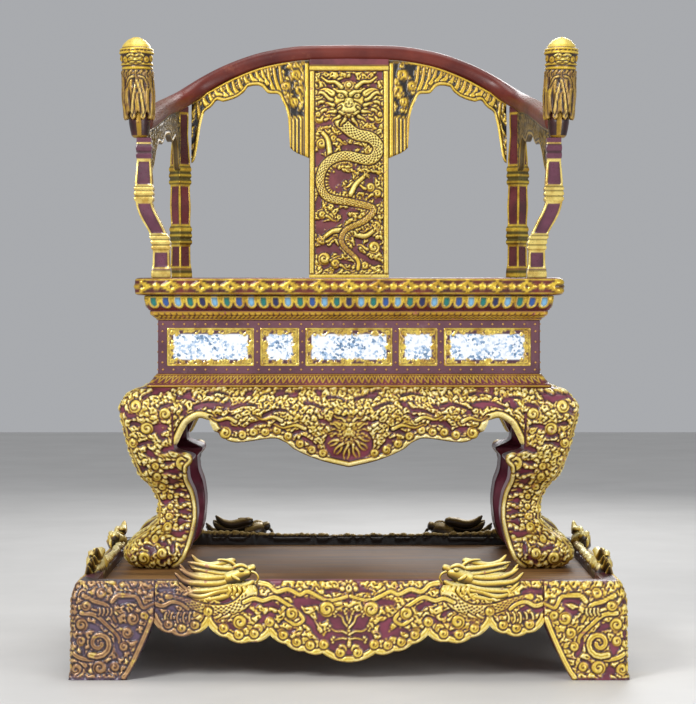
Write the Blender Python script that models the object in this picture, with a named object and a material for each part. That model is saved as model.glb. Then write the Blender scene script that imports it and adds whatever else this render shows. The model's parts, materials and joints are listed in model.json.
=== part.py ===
"""Ceremonial throne of carved, lacquered and gilt wood on a low footed stand.

Metres, +Z up. The throne faces -Y, and the origin is on the floor under the middle of the stand.
"""

import math

import bmesh
import bpy
from mathutils import Vector

# Fits
GAP = 0.0003
RAIL_GAP = 0.0012
RELIEF_SINK = 0.003

# Stand
STAND_WIDTH = 1.02
STAND_DEPTH = 0.88
STAND_HEIGHT = 0.163
BOARD_THICKNESS = 0.022
RIM_RISE = 0.015
RIM_WALL = 0.022
SHOULDER_INSET = 0.027
SHOULDER_HEIGHT = 0.050
STAND_RELIEF = 0.006
SOLE_HEIGHT = 0.012
FOOT_WIDTH = 0.158
FOOT_SOLE = 0.103
FOOT_ARCH = 0.111
FOOT_CORNER_CUT = 0.012
FOOT_SCROLL_WIDTH = 0.009
SKIRT_SCROLL_WIDTH = 0.007
DRAGON_LENGTH = 0.150
DRAGON_HEIGHT = 0.045
DRAGON_THICKNESS = 0.032
DRAGON_PLACE = 0.240

# Body of the throne, measured to the widest line of its knees
KNEE_WIDTH = 0.892
KNEE_DEPTH = 0.500
SET_BACK = 0.140
LEG_HEIGHT = 0.354
APRON_THICKNESS = 0.030
APRON_SET_IN = 0.004
LEG_CORNER_SHARE = 0.18
LEG_SCROLL_RADIUS = 0.030
LEG_SCROLL_WIDTH = 0.009
LEG_RELIEF = 0.007
APRON_SCROLL_WIDTH = 0.006
APRON_RELIEF = 0.006
SUN_RADIUS = 0.030
SUN_RELIEF = 0.010

# Mouldings between the legs and the seat, lowest first
LOWER_MOULDING = 0.027
WAIST_HEIGHT = 0.105
ROPE_MOULDING = 0.020
PETAL_BAND = 0.029
SLAB_THICKNESS = 0.035
LEG_TOP_INSET = 0.040
MOULDING_INSET = 0.048
WAIST_INSET = 0.069
PETAL_INSET = 0.046
SLAB_INSET = 0.026
MOULDING_CORNER = 0.010
WAIST_CORNER = 0.003
SLAB_CORNER = 0.014
SLAB_BEVEL = 0.010
WAIST_OVERLAP = 0.002
ROPE_BELLY = 0.009
ROPE_TOP = 0.007
PETAL_FOOT = 0.006
PETAL_WIDTH = 0.0244
PETAL_RELIEF = 0.003
DIAMOND_PITCH = 0.060
DIAMOND_RELIEF = 0.004

# Inlaid panels of the waist
PANEL_HEIGHT = 0.075
PANEL_GAP = 0.012
PANEL_MARGIN = 0.018
PANEL_BORDER = 0.004
PANEL_RECESS = 0.007
PANEL_PROUD = 0.002
NARROW_PANEL = 0.077

# Back and arms
RAIL_RADIUS = 0.019
RAIL_RISE = 0.485
ARM_RISE = 0.307
ARM_OVERHANG = 0.002
RAIL_SET_BACK = 0.004
BACK_LEAN = 0.080
BACK_SET_IN = 0.016
SPLAT_WIDTH = 0.169
SPLAT_THICKNESS = 0.022
SPLAT_BORDER = 0.011
SPLAT_RECESS = 0.006
SPLAT_TOP_STRIP = 0.020
DRAGON_WIDTH = 0.017
DRAGON_RELIEF = 0.012
CLAW_WIDTH = 0.009
CLAW_RELIEF = 0.010
MASK_RADIUS = 0.034
MASK_RELIEF = 0.020
CLOUD_WIDTH = 0.006
CLOUD_RELIEF = 0.008
SPANDREL_THICKNESS = 0.014
FRONT_POST_WIDTH = 0.033
FRONT_POST_SPREAD = 0.369
FRONT_POST_LEAN = 0.034
FRONT_POST_SET_IN = 0.033
REAR_POST_WIDTH = 0.030
REAR_POST_SPREAD = 0.356
REAR_POST_LEAN = 0.026
REAR_POST_SPLAY = 0.003
REAR_POST_SET_IN = 0.050
FINIAL_HEIGHT = 0.198
FINIAL_WIDTH = 0.062
FINIAL_SET_OUT = 0.008
NECK_DROP = 0.032
MANE_HANG = 0.020
FACE_RELIEF = 0.012

# Heights worked out from the sizes above
BOARD_TOP = STAND_HEIGHT
RIM_TOP = STAND_HEIGHT + RIM_RISE
LEG_TOP = BOARD_TOP + LEG_HEIGHT
WAIST_BASE = LEG_TOP + LOWER_MOULDING
WAIST_TOP = WAIST_BASE + WAIST_HEIGHT
PETAL_BASE = WAIST_TOP + ROPE_MOULDING
SLAB_BASE = PETAL_BASE + PETAL_BAND
SEAT_TOP = SLAB_BASE + SLAB_THICKNESS
RAIL_TOP_Z = SEAT_TOP + RAIL_RISE
ARM_END_Z = SEAT_TOP + ARM_RISE

# Plan places worked out from the sizes above
KNEE_X = KNEE_WIDTH / 2
KNEE_Y = KNEE_DEPTH / 2
SLAB_BACK = SET_BACK + KNEE_Y - SLAB_INSET
SLAB_FRONT = SET_BACK - KNEE_Y + SLAB_INSET
BACK_Y = SLAB_BACK - BACK_SET_IN
FRONT_POST_Y = SLAB_FRONT + FRONT_POST_SET_IN
REAR_POST_Y = SLAB_BACK - REAR_POST_SET_IN
FINIAL_X = FRONT_POST_SPREAD + FRONT_POST_LEAN + FINIAL_SET_OUT
NECK_BASE = ARM_END_Z - NECK_DROP

SIDES = {"front": 0.0, "right": 90.0, "back": 180.0, "left": 270.0}
CORNERS = {
    "front_left": (-1, -1),
    "front_right": (1, -1),
    "back_left": (-1, 1),
    "back_right": (1, 1),
}

# Cabriole legs: share of the leg's height, and set-in from the knee line as a share of that height
LEG_OUTER = (
    (0.0, 0.130), (0.04, 0.050), (0.09, 0.026), (0.145, 0.052), (0.205, 0.140), (0.27, 0.198),
    (0.35, 0.199), (0.44, 0.168), (0.53, 0.098), (0.66, 0.050), (0.78, 0.021), (0.88, 0.0),
    (0.955, 0.034), (1.0, 0.112),
)
LEG_INNER = (
    (0.0, 0.260), (0.04, 0.330), (0.09, 0.368), (0.20, 0.402), (0.30, 0.412), (0.40, 0.400),
    (0.50, 0.366), (0.56, 0.362), (0.61, 0.395), (0.665, 0.294), (1.0, 0.294),
)
LEG_LEVELS = (0.0, 0.04, 0.09, 0.15, 0.21, 0.28, 0.37, 0.47, 0.54, 0.61, 0.665, 0.78, 0.88, 0.95, 1.0)

# Lobes of the stand's skirts from the foot to the middle: start and end as shares of the half span,
# the edge's height at both as shares of the stand's height, and how far the lobe hangs below that
SKIRT_LOBES = (
    (1.0, 0.726, 0.681, 0.669, 0.170),
    (0.726, 0.409, 0.669, 0.549, 0.176),
    (0.409, 0.130, 0.549, 0.320, 0.085),
    (0.130, 0.0, 0.300, 0.198, 0.0),
)
LOBE_STEPS = (0.0, 0.15, 0.5, 0.85)

# Cloud scrolls of a skirt's half: share of the half span, share of the stand's height, radius, hand
SKIRT_CLOUDS = {
    "front": ((0.84, 0.68, 0.024, 1), (0.55, 0.60, 0.026, -1)),
    "right": ((0.60, 0.62, 0.026, -1),),
    "back": (),
    "left": ((0.60, 0.62, 0.026, -1),),
}

# Scrolls of an apron's half: share of the half span, share of the leg's height, radius, hand
APRON_CLOUDS = {
    "front": ((0.62, 0.86, 0.028, 1), (0.32, 0.83, 0.030, -1)),
    "right": ((0.50, 0.84, 0.028, 1),),
    "back": (),
    "left": ((0.50, 0.84, 0.028, 1),),
}

# Lower edge of the throne's aprons: share of the half span, share of the leg's height
APRON_EDGE = (
    (0.0, 0.564), (0.151, 0.599), (0.299, 0.661), (0.349, 0.699), (0.425, 0.726), (0.643, 0.703),
    (0.705, 0.720), (0.754, 0.768), (0.790, 0.830), (0.852, 0.846), (0.930, 0.810), (1.0, 0.690),
)

# Lower edge of the back spandrels: share of the way from splat to post, and drop below the rail
SPANDREL_EDGE = (
    (0.0, 0.210), (0.155, 0.185), (0.168, 0.124), (0.208, 0.089), (0.261, 0.064), (0.343, 0.058),
    (0.400, 0.040), (0.4415, 0.0335), (0.524, 0.029), (0.569, 0.038), (0.629, 0.042), (0.719, 0.038),
    (0.794, 0.026), (0.846, 0.034), (0.900, 0.036), (0.935, 0.060), (0.955, 0.092), (0.985, 0.128),
    (1.0, 0.130),
)
ARM_SPANDREL_EDGE = (
    (0.0, 0.125), (0.05, 0.115), (0.09, 0.070), (0.16, 0.046), (0.26, 0.052), (0.36, 0.034),
    (0.48, 0.030), (0.60, 0.042), (0.70, 0.034), (0.80, 0.050), (0.88, 0.078), (0.95, 0.088), (1.0, 0.088),
)

# Crest rail: share of the way from the middle of the back (0) to the arm's end (1), then
# x as a share of the arm's spread, y as a share from back to arm end, z as a share from arm end to crest
RAIL_PATH = (
    (0.0, 0.0, 1.0), (0.22, 0.0, 0.992), (0.42, 0.002, 0.930), (0.603, 0.010, 0.798),
    (0.763, 0.036, 0.612), (0.867, 0.110, 0.438), (0.921, 0.235, 0.337), (0.951, 0.420, 0.253),
    (0.973, 0.650, 0.145), (0.990, 0.860, 0.045), (1.0, 1.0, 0.0),
)
RAIL_STEPS = 13
RAIL_SIDES = 8

# The splat's dragon: share of the inner half width, share of the inner height, from neck to tail
DRAGON_BODY = (
    (-0.24, 0.745), (0.18, 0.688), (0.66, 0.666), (0.86, 0.612), (0.60, 0.560), (-0.14, 0.580),
    (-0.66, 0.540), (-0.84, 0.452), (-0.62, 0.376), (0.10, 0.350), (0.70, 0.320), (0.46, 0.262),
    (-0.10, 0.215), (-0.20, 0.150), (0.24, 0.070), (0.26, 0.024),
)
DRAGON_LEGS = (
    ((-0.55, 0.585), (-0.62, 0.66), (-0.80, 0.70)),
    ((0.05, 0.390), (0.20, 0.440), (0.45, 0.480)),
    ((-0.10, 0.215), (-0.45, 0.210), (-0.72, 0.180)),
    ((0.10, 0.200), (0.45, 0.185), (0.74, 0.215)),
)

# Clouds of the splat: share of the inner half width, share of the inner height, radius, hand
SPLAT_CLOUDS = ((-0.62, 0.08, 0.019, 1), (0.66, 0.43, 0.016, 1))

# Posts: share of the height, and size as a share of the width; then where their S lean starts and ends
POST_SECTIONS = (
    (0.0, 1.14), (0.09, 1.0), (0.195, 0.98), (0.20, 1.16), (0.25, 1.22), (0.305, 1.16), (0.31, 0.98),
    (0.42, 1.04), (0.54, 1.0), (0.545, 1.14), (0.60, 1.2), (0.655, 1.14), (0.66, 1.0), (1.0, 0.86),
)
POST_SWELL = max(size for share, size in POST_SECTIONS) + 0.03
LEAN_START, LEAN_END = 0.22, 0.56

# Dragon finial: share of its height, centre's share forwards, half width and half depth as shares of
# the finial's width; the neck comes first, then the mane, the face and the dome
FINIAL_SECTIONS = (
    (0.0, 0.02, 0.16, 0.16), (0.03, 0.02, 0.27, 0.28), (0.14, 0.0, 0.33, 0.36), (0.27, 0.0, 0.31, 0.35),
    (0.30, 0.0, 0.45, 0.46), (0.42, 0.0, 0.50, 0.51), (0.655, 0.04, 0.49, 0.54), (0.68, 0.07, 0.44, 0.52),
    (0.80, 0.12, 0.51, 0.62), (0.92, 0.05, 0.42, 0.46), (1.0, 0.0, 0.12, 0.12),
)
MANE_LEVEL = 0.30

# Head of a stand dragon, facing the middle: shares of its length and of its height above the rim
DRAGON_OUTLINE = (
    (-0.48, 0.62), (-0.29, 0.68), (-0.16, 0.42), (0.03, 0.60), (0.19, 0.80), (0.32, 0.83), (0.38, 0.98),
    (0.47, 0.74), (0.33, 0.46), (0.46, 0.38), (0.45, -0.10), (-0.40, -0.25), (-0.52, 0.20),
)


def smooth(table, x):
    """Value at x on a smooth curve through (x, value) points in rising order of x.

    The curve never swings past its points, so a level stretch stays level.
    """
    xs = [point[0] for point in table]
    values = [point[1] for point in table]
    x = min(max(x, xs[0]), xs[-1])
    secants = [(values[k + 1] - values[k]) / (xs[k + 1] - xs[k]) for k in range(len(xs) - 1)]

    def slope(k):
        if k in (0, len(secants)):
            return secants[min(k, len(secants) - 1)]
        before, after = secants[k - 1], secants[k]
        return 2 * before * after / (before + after) if before * after > 0 else 0.0

    i = max(k for k in range(len(secants)) if xs[k] <= x)
    span = xs[i + 1] - xs[i]
    t = (x - xs[i]) / span
    rise = values[i + 1] - values[i]
    a, b = slope(i) * span, slope(i + 1) * span
    return values[i] + t * a + t * t * (3 * rise - 2 * a - b) + t * t * t * (a + b - 2 * rise)


def on_side(side, centre_y, u, out, z):
    """Point on a side of a four-sided piece: u along it, out from the middle, z up."""
    angle = math.radians(SIDES[side])
    sine, cosine = math.sin(angle), math.cos(angle)
    return Vector((u * cosine + out * sine, centre_y + u * sine - out * cosine, z))


def loft(rings, fan=False):
    """Closed shape through rings of equal length; its ends are single faces, or fans round a middle."""
    count = len(rings[0])
    vertices = [Vector(point) for ring in rings for point in ring]
    last = len(vertices) - count
    faces = []
    for level in range(len(rings) - 1):
        low = level * count
        for i in range(count):
            j = (i + 1) % count
            faces.append((low + i, low + j, low + count + j, low + count + i))
    for start in (0, last):
        if fan:
            vertices.append(sum(vertices[start:start + count], Vector()) / count)
            middle = len(vertices) - 1
            faces += [(start + i, start + (i + 1) % count, middle) for i in range(count)]
        else:
            faces.append(tuple(range(start, start + count)))
    return vertices, faces


def peak(base, tip):
    """Pyramid on a ring of points."""
    count = len(base)
    faces = [tuple(range(count))] + [(i, (i + 1) % count, count) for i in range(count)]
    return [Vector(point) for point in base] + [Vector(tip)], faces


def box(low, high):
    """Closed box between two corners."""
    corners = [(low[0], low[1]), (high[0], low[1]), (high[0], high[1]), (low[0], high[1])]
    return loft([[(x, y, z) for x, y in corners] for z in (low[2], high[2])])


def ribbon(path, half_width, height, surface, taper=0.6):
    """Raised strip with a ridge, along (u, v) points of a surface, with its base sunk in."""
    rings = []
    for i, (u, v) in enumerate(path):
        before = path[max(i - 1, 0)]
        after = path[min(i + 1, len(path) - 1)]
        along_u, along_v = after[0] - before[0], after[1] - before[1]
        reach = half_width * (1 - (1 - taper) * i / (len(path) - 1)) / math.hypot(along_u, along_v)
        across_u, across_v = -along_v * reach, along_u * reach
        rings.append([
            surface(u + across_u, v + across_v, -RELIEF_SINK),
            surface(u - across_u, v - across_v, -RELIEF_SINK),
            surface(u, v, height),
        ])
    return loft(rings)


def curl(centre, radius, start, hand, turns=1.1, steps=6):
    """Points of a cloud scroll: a spiral that winds in from its start angle, in degrees."""
    points = []
    for i in range(steps + 1):
        t = i / steps
        angle = math.radians(start) + hand * t * turns * 2 * math.pi
        reach = radius * (1 - 0.72 * t)
        points.append((centre[0] + reach * math.cos(angle), centre[1] + reach * math.sin(angle)))
    return points


def boss(centre, radii, height, surface, sides=8):
    """Low dome on a surface, with its base sunk in."""
    rings = []
    for share, rise in ((1.0, -RELIEF_SINK), (0.85, height * 0.55), (0.4, height)):
        ring = []
        for i in range(sides):
            angle = 2 * math.pi * i / sides
            u = centre[0] + radii[0] * share * math.cos(angle)
            v = centre[1] + radii[1] * share * math.sin(angle)
            ring.append(surface(u, v, rise))
        rings.append(ring)
    return loft(rings)


def framed_plate(half_width, low, high, thickness, border, recess, surface):
    """Plate with a raised frame round a sunk field. Its back is at height 0 of the surface."""
    outer = [(-half_width, low), (half_width, low), (half_width, high), (-half_width, high)]
    inner = [
        (-half_width + border, low + border),
        (half_width - border, low + border),
        (half_width - border, high - border),
        (-half_width + border, high - border),
    ]
    return loft([
        [surface(u, v, 0.0) for u, v in outer],
        [surface(u, v, thickness) for u, v in outer],
        [surface(u, v, thickness) for u, v in inner],
        [surface(u, v, thickness - recess) for u, v in inner],
    ])


def material(name, colour, roughness, metallic=0.0):
    """Principled material in one colour."""
    made = bpy.data.materials.new(name)
    made.use_nodes = True
    shader = made.node_tree.nodes["Principled BSDF"]
    shader.inputs["Base Color"].default_value = (*colour, 1.0)
    shader.inputs["Roughness"].default_value = roughness
    shader.inputs["Metallic"].default_value = metallic
    made.diffuse_color = (*colour, 1.0)
    return made


def add_object(name, shapes, finish=None, cutter=False):
    """Object made of one or more closed shapes, each with its faces turned outwards."""
    mesh = bpy.data.meshes.new(name)
    shell = bmesh.new()
    for vertices, faces in shapes:
        made = [shell.verts.new(point) for point in vertices]
        for face in faces:
            shell.faces.new([made[i] for i in face])
    bmesh.ops.recalc_face_normals(shell, faces=shell.faces)
    shell.to_mesh(mesh)
    shell.free()
    thing = bpy.data.objects.new(name, mesh)
    bpy.context.scene.collection.objects.link(thing)
    if finish:
        mesh.materials.append(finish)
    if cutter:
        thing.hide_render = True
        thing.display_type = "WIRE"
    return thing


def combine(target, shapes, operation):
    """Boolean modifier on the target with an object made of the shapes."""
    tool = add_object(f"{target.name}_{operation.lower()}", shapes, cutter=True)
    modifier = target.modifiers.new(operation.title(), "BOOLEAN")
    modifier.operation = operation
    modifier.solver = "EXACT"
    modifier.use_self = True
    modifier.object = tool


def stand_inset(z):
    """How far the ground of the stand's carving is inside its outline at height z."""
    sole = min(z / SOLE_HEIGHT, 1.0)
    share = min(max(z - RIM_TOP + SHOULDER_HEIGHT, 0.0) / SHOULDER_HEIGHT, 1.0)
    return STAND_RELIEF * sole + (SHOULDER_INSET - STAND_RELIEF) * (1 - math.sqrt(1 - share * share))


def leg_outer(z):
    """Set-in of the legs' outer faces from the knee line at height z."""
    return LEG_HEIGHT * smooth(LEG_OUTER, (z - BOARD_TOP) / LEG_HEIGHT)


def leg_inner(z):
    """Set-in of the legs' inner faces from the knee line at height z."""
    return LEG_HEIGHT * smooth(LEG_INNER, (z - BOARD_TOP) / LEG_HEIGHT)


def carved_board(side, centre_y, edge, top, outer, inner, shares):
    """Upright board of a side: its lower edge is (u, z) points, outer(z) its face, inner its back."""
    rings = []
    for u, low in edge:
        levels = [low + (top - low) * share for share in shares]
        ring = [on_side(side, centre_y, u, outer(z), z) for z in levels]
        ring += [on_side(side, centre_y, u, inner, z) for z in (top, low)]
        rings.append(ring)
    return loft(rings)


def mirrored_edge(half):
    """Edge from left to right out of (u, z) points that run from the middle to the right end."""
    return [(-u, z) for u, z in reversed(half) if u > 0] + list(half)


def skirt_edge(half_span):
    """Lobed lower edge of a stand skirt."""
    points = []
    for start, end, start_height, end_height, hang in SKIRT_LOBES:
        for t in LOBE_STEPS if hang else (0.0,):
            share = start + (end - start) * t
            height = start_height + (end_height - start_height) * t
            height -= hang * math.sin(math.pi * t) ** 0.6
            points.append((share * half_span, height * STAND_HEIGHT))
    points.append((0.0, SKIRT_LOBES[-1][3] * STAND_HEIGHT))
    return mirrored_edge(list(reversed(points)))


def dragon_head(side, half_depth, hand):
    """Dragon's head that stands on a skirt's rim, facing the middle."""
    front = half_depth - STAND_RELIEF
    rings = []
    for out, share in ((front - DRAGON_THICKNESS, 1.0), (front, 0.88)):
        ring = []
        for along, up in DRAGON_OUTLINE:
            u = -DRAGON_PLACE + along * share * DRAGON_LENGTH
            z = RIM_TOP + (0.3 + (up - 0.3) * share) * DRAGON_HEIGHT
            ring.append(on_side(side, 0.0, -hand * u, out, z))
        rings.append(ring)
    return loft(rings)


def build_stand(wood, gilt):
    """Low stand: board, four corner feet and four lobed skirts, two of them with dragons."""
    half_x, half_y = STAND_WIDTH / 2, STAND_DEPTH / 2
    inner_x = half_x - SHOULDER_INSET - RIM_WALL
    inner_y = half_y - SHOULDER_INSET - RIM_WALL
    board_low = (-inner_x + GAP, -inner_y + GAP, BOARD_TOP - BOARD_THICKNESS)
    board_high = (inner_x - GAP, inner_y - GAP, BOARD_TOP)
    add_object("stand_board", [box(board_low, board_high)], wood)

    cut_low = BOARD_TOP - BOARD_THICKNESS - GAP
    seat_cut = box((-inner_x, -inner_y, cut_low), (inner_x, inner_y, RIM_TOP + RIM_RISE))
    shoulder = [RIM_TOP - SHOULDER_HEIGHT * share for share in (1.0, 0.5, 0.2, 0.0)]
    levels = [0.0, SOLE_HEIGHT] + [FOOT_ARCH * share for share in (0.4, 0.7, 1.0)] + shoulder
    for corner, (sign_x, sign_y) in CORNERS.items():
        rings = []
        for z in levels:
            reach = FOOT_SOLE + (FOOT_WIDTH - FOOT_SOLE) * min(z / FOOT_ARCH, 1.0) ** 0.8
            out_x, out_y = half_x - stand_inset(z), half_y - stand_inset(z)
            in_x, in_y = half_x - reach, half_y - reach
            cut = FOOT_CORNER_CUT
            outline = [(out_x, in_y), (out_x, out_y - cut), (out_x - cut, out_y), (in_x, out_y), (in_x, in_y)]
            rings.append([(sign_x * x, sign_y * y, z) for x, y in outline])
        foot = add_object(f"stand_foot_{corner}", [loft(rings)], gilt)
        combine(foot, [seat_cut], "DIFFERENCE")
        combine(foot, foot_scrolls(corner, half_x, half_y), "UNION")

    for side in SIDES:
        across, out = (half_x, half_y) if side in ("front", "back") else (half_y, half_x)
        half_span = across - FOOT_WIDTH - GAP
        inner = out - SHOULDER_INSET - RIM_WALL
        edge = skirt_edge(half_span)
        shares = (0.0, 0.6, 0.85, 1.0)
        board = carved_board(side, 0.0, edge, RIM_TOP, lambda z: out - stand_inset(z), inner, shares)
        skirt = add_object(f"stand_skirt_{side}", [board], gilt)
        relief = skirt_scrolls(side, half_span, out)
        if side in ("front", "back"):
            relief += [dragon_head(side, out, hand) for hand in (-1, 1)]
        combine(skirt, relief, "UNION")


def foot_scrolls(corner, half_x, half_y):
    """Cloud scroll on each outer face of a stand foot; the rear faces are plain."""
    sign_x, sign_y = CORNERS[corner]
    radius = FOOT_SOLE * 0.28
    across = FOOT_SOLE * 0.55

    def on_front(u, v, rise):
        return Vector((sign_x * (half_x - across + u), sign_y * (half_y - stand_inset(v) + rise), v))

    def on_flank(u, v, rise):
        return Vector((sign_x * (half_x - stand_inset(v) + rise), sign_y * (half_y - across + u), v))

    surfaces = (on_flank,) if sign_y > 0 else (on_front, on_flank)
    points = curl((0.0, 0.45 * RIM_TOP), radius, 90, 1)
    return [ribbon(points, FOOT_SCROLL_WIDTH, STAND_RELIEF, surface) for surface in surfaces]


def skirt_scrolls(side, half_span, out):
    """Cloud scrolls in the lobes of a stand skirt."""

    def surface(u, v, rise):
        return on_side(side, 0.0, u, out - stand_inset(v) + rise, v)

    shapes = []
    for share, height, radius, hand in SKIRT_CLOUDS[side]:
        for sign in (-1, 1):
            centre = (sign * share * half_span, height * STAND_HEIGHT)
            points = curl(centre, radius, 90 - sign * 60, sign * hand)
            shapes.append(ribbon(points, SKIRT_SCROLL_WIDTH, STAND_RELIEF, surface))
    return shapes


def build_body(gilt):
    """Cabriole legs and the aprons between them."""
    top = LEG_TOP - GAP
    for corner, (sign_x, sign_y) in CORNERS.items():
        rings = []
        for share in LEG_LEVELS:
            z = BOARD_TOP + GAP + share * (LEG_HEIGHT - 2 * GAP)
            near, far = leg_outer(z), leg_inner(z)
            out_x, out_y, in_x, in_y = KNEE_X - near, KNEE_Y - near, KNEE_X - far, KNEE_Y - far
            cut = LEG_CORNER_SHARE * (far - near)
            outline = [(out_x, in_y), (out_x, out_y - cut), (out_x - cut, out_y), (in_x, out_y), (in_x, in_y)]
            rings.append([(sign_x * x, SET_BACK + sign_y * y, z) for x, y in outline])
        leg = add_object(f"leg_{corner}", [loft(rings)], gilt)
        combine(leg, leg_scrolls(corner), "UNION")

    for side in SIDES:
        across, out = (KNEE_X, KNEE_Y) if side in ("front", "back") else (KNEE_Y, KNEE_X)
        half_span = across - leg_inner(LEG_TOP) - GAP
        edge = [(share * half_span, BOARD_TOP + height * LEG_HEIGHT) for share, height in APRON_EDGE]

        def face(z):
            return out - leg_outer(max(z, BOARD_TOP + 0.62 * LEG_HEIGHT)) - APRON_SET_IN

        inner = out - LEG_TOP_INSET - APRON_THICKNESS
        board = carved_board(side, SET_BACK, mirrored_edge(edge), top, face, inner, (0.0, 0.55, 0.85, 1.0))
        apron = add_object(f"apron_{side}", [board], gilt)
        if APRON_CLOUDS[side]:
            combine(apron, apron_scrolls(side, half_span, face), "UNION")


def leg_scrolls(corner):
    """Scroll on each outer face of a leg's knee; the rear faces are plain."""
    sign_x, sign_y = CORNERS[corner]

    def on_front(u, v, rise):
        return Vector((sign_x * (KNEE_X - u), SET_BACK + sign_y * (KNEE_Y - leg_outer(v) + rise), v))

    def on_flank(u, v, rise):
        return Vector((sign_x * (KNEE_X - leg_outer(v) + rise), SET_BACK + sign_y * (KNEE_Y - u), v))

    centre = (0.16 * LEG_HEIGHT, BOARD_TOP + 0.82 * LEG_HEIGHT)
    surfaces = (on_flank,) if sign_y > 0 else (on_front, on_flank)
    points = curl(centre, LEG_SCROLL_RADIUS, 90, 1)
    return [ribbon(points, LEG_SCROLL_WIDTH, LEG_RELIEF, surface) for surface in surfaces]


def apron_scrolls(side, half_span, face):
    """Scrolls along an apron, with a small sun at the middle of the front one."""

    def surface(u, v, rise):
        return on_side(side, SET_BACK, u, face(v) + rise, v)

    shapes = []
    for share, height, radius, hand in APRON_CLOUDS[side]:
        for sign in (-1, 1):
            centre = (sign * share * half_span, BOARD_TOP + height * LEG_HEIGHT)
            points = curl(centre, radius, 90 - sign * 60, sign * hand)
            shapes.append(ribbon(points, APRON_SCROLL_WIDTH, APRON_RELIEF, surface))
    if side == "front":
        centre = (0.0, BOARD_TOP + 0.76 * LEG_HEIGHT)
        shapes.append(boss(centre, (SUN_RADIUS, SUN_RADIUS), SUN_RELIEF, surface))
    return shapes


def slab_ring(inset, z, corner=MOULDING_CORNER):
    """Ring of a moulding round the throne's body, set in from the knee line."""
    x, y = KNEE_X - inset, KNEE_Y - inset
    points = [
        (x - corner, -y), (x, -y + corner), (x, y - corner), (x - corner, y),
        (-x + corner, y), (-x, y - corner), (-x, -y + corner), (-x + corner, -y),
    ]
    return [(px, SET_BACK + py, z) for px, py in points]


def panel_places(half_length, wide_middle):
    """Middle and width of each inlaid panel along a side of the waist."""
    half = half_length - PANEL_MARGIN
    if wide_middle:
        wide = 2 * half - 2 * NARROW_PANEL - 2 * PANEL_GAP
        offset = (wide + NARROW_PANEL) / 2 + PANEL_GAP
        return [(-offset, NARROW_PANEL), (0.0, wide), (offset, NARROW_PANEL)]
    wide = (2 * half - 2 * NARROW_PANEL - 4 * PANEL_GAP) / 3
    near = (wide + NARROW_PANEL) / 2 + PANEL_GAP
    far = half - wide / 2
    return [(-far, wide), (-near, NARROW_PANEL), (0.0, wide), (near, NARROW_PANEL), (far, wide)]


def build_waist(lacquer, gilt, enamel):
    """Mouldings, the waist with its inlaid panels, the petal band and the seat."""
    low, high = LEG_TOP, WAIST_BASE - GAP
    rings = [
        slab_ring(MOULDING_INSET, low),
        slab_ring(MOULDING_INSET, low + 0.22 * LOWER_MOULDING),
        slab_ring(MOULDING_INSET + 0.35 * (WAIST_INSET - MOULDING_INSET), low + 0.36 * LOWER_MOULDING),
        slab_ring(WAIST_INSET - WAIST_OVERLAP, high),
    ]
    add_object("lower_moulding", [loft(rings)], gilt)

    frame = add_object(
        "waist_frame",
        [loft([slab_ring(WAIST_INSET, z, WAIST_CORNER) for z in (WAIST_BASE, WAIST_TOP - GAP)])],
        lacquer,
    )
    middle = (WAIST_BASE + WAIST_TOP) / 2
    cuts = []
    for side in ("front", "right", "left"):
        across, out = (KNEE_X, KNEE_Y) if side == "front" else (KNEE_Y, KNEE_X)
        half_length, face = across - WAIST_INSET, out - WAIST_INSET
        for number, (place, width) in enumerate(panel_places(half_length, side != "front"), 1):

            def surface(u, v, rise):
                return on_side(side, SET_BACK, place + u, face - PANEL_RECESS + rise, v)

            half, base, tip = width / 2, middle - PANEL_HEIGHT / 2, middle + PANEL_HEIGHT / 2
            outline = [(-half, base), (half, base), (half, tip), (-half, tip)]
            cuts.append(loft([[surface(u, v, rise) for u, v in outline] for rise in (0.0, 2 * PANEL_RECESS)]))
            thickness = PANEL_RECESS + PANEL_PROUD - GAP
            plate = framed_plate(
                half - GAP, base + GAP, tip - GAP, thickness, PANEL_BORDER, PANEL_PROUD,
                lambda u, v, rise: surface(u, v, rise + GAP),
            )
            add_object(f"panel_{side}_{number}", [plate], enamel)
    combine(frame, cuts, "DIFFERENCE")

    low, high = WAIST_TOP, PETAL_BASE - GAP
    rings = [
        slab_ring(WAIST_INSET - WAIST_OVERLAP, low),
        slab_ring(WAIST_INSET - WAIST_OVERLAP, low + 0.25 * ROPE_MOULDING),
        slab_ring(PETAL_INSET + ROPE_BELLY, low + 0.6 * ROPE_MOULDING),
        slab_ring(PETAL_INSET + ROPE_TOP, high),
    ]
    add_object("rope_moulding", [loft(rings)], gilt)
    build_petals(gilt)
    build_seat(lacquer)


def build_petals(gilt):
    """Band of lotus petals on the front and sides; its back is plain."""
    across = max(round(2 * (KNEE_X - PETAL_INSET) / PETAL_WIDTH), 1)
    along = max(round(2 * (KNEE_Y - PETAL_INSET) / PETAL_WIDTH), 1)
    counts = {"right": along, "back": 1, "left": along, "front": across}
    rings = []
    for z, inset in ((PETAL_BASE, PETAL_INSET + PETAL_FOOT), (SLAB_BASE - GAP, PETAL_INSET)):
        x, y = KNEE_X - inset, KNEE_Y - inset
        ring = []
        for side, half, out in (("right", y, x), ("back", x, y), ("left", y, x), ("front", x, y)):
            count = counts[side]
            relief = 0.0 if side == "back" else PETAL_RELIEF
            for i in range(count):
                start = -half + 2 * half * i / count
                ring.append(on_side(side, SET_BACK, start, out, z))
                if relief:
                    ring.append(on_side(side, SET_BACK, start + half / count, out + relief, z))
        rings.append(ring)
    add_object("petal_band", [loft(rings, fan=True)], gilt)


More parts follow.
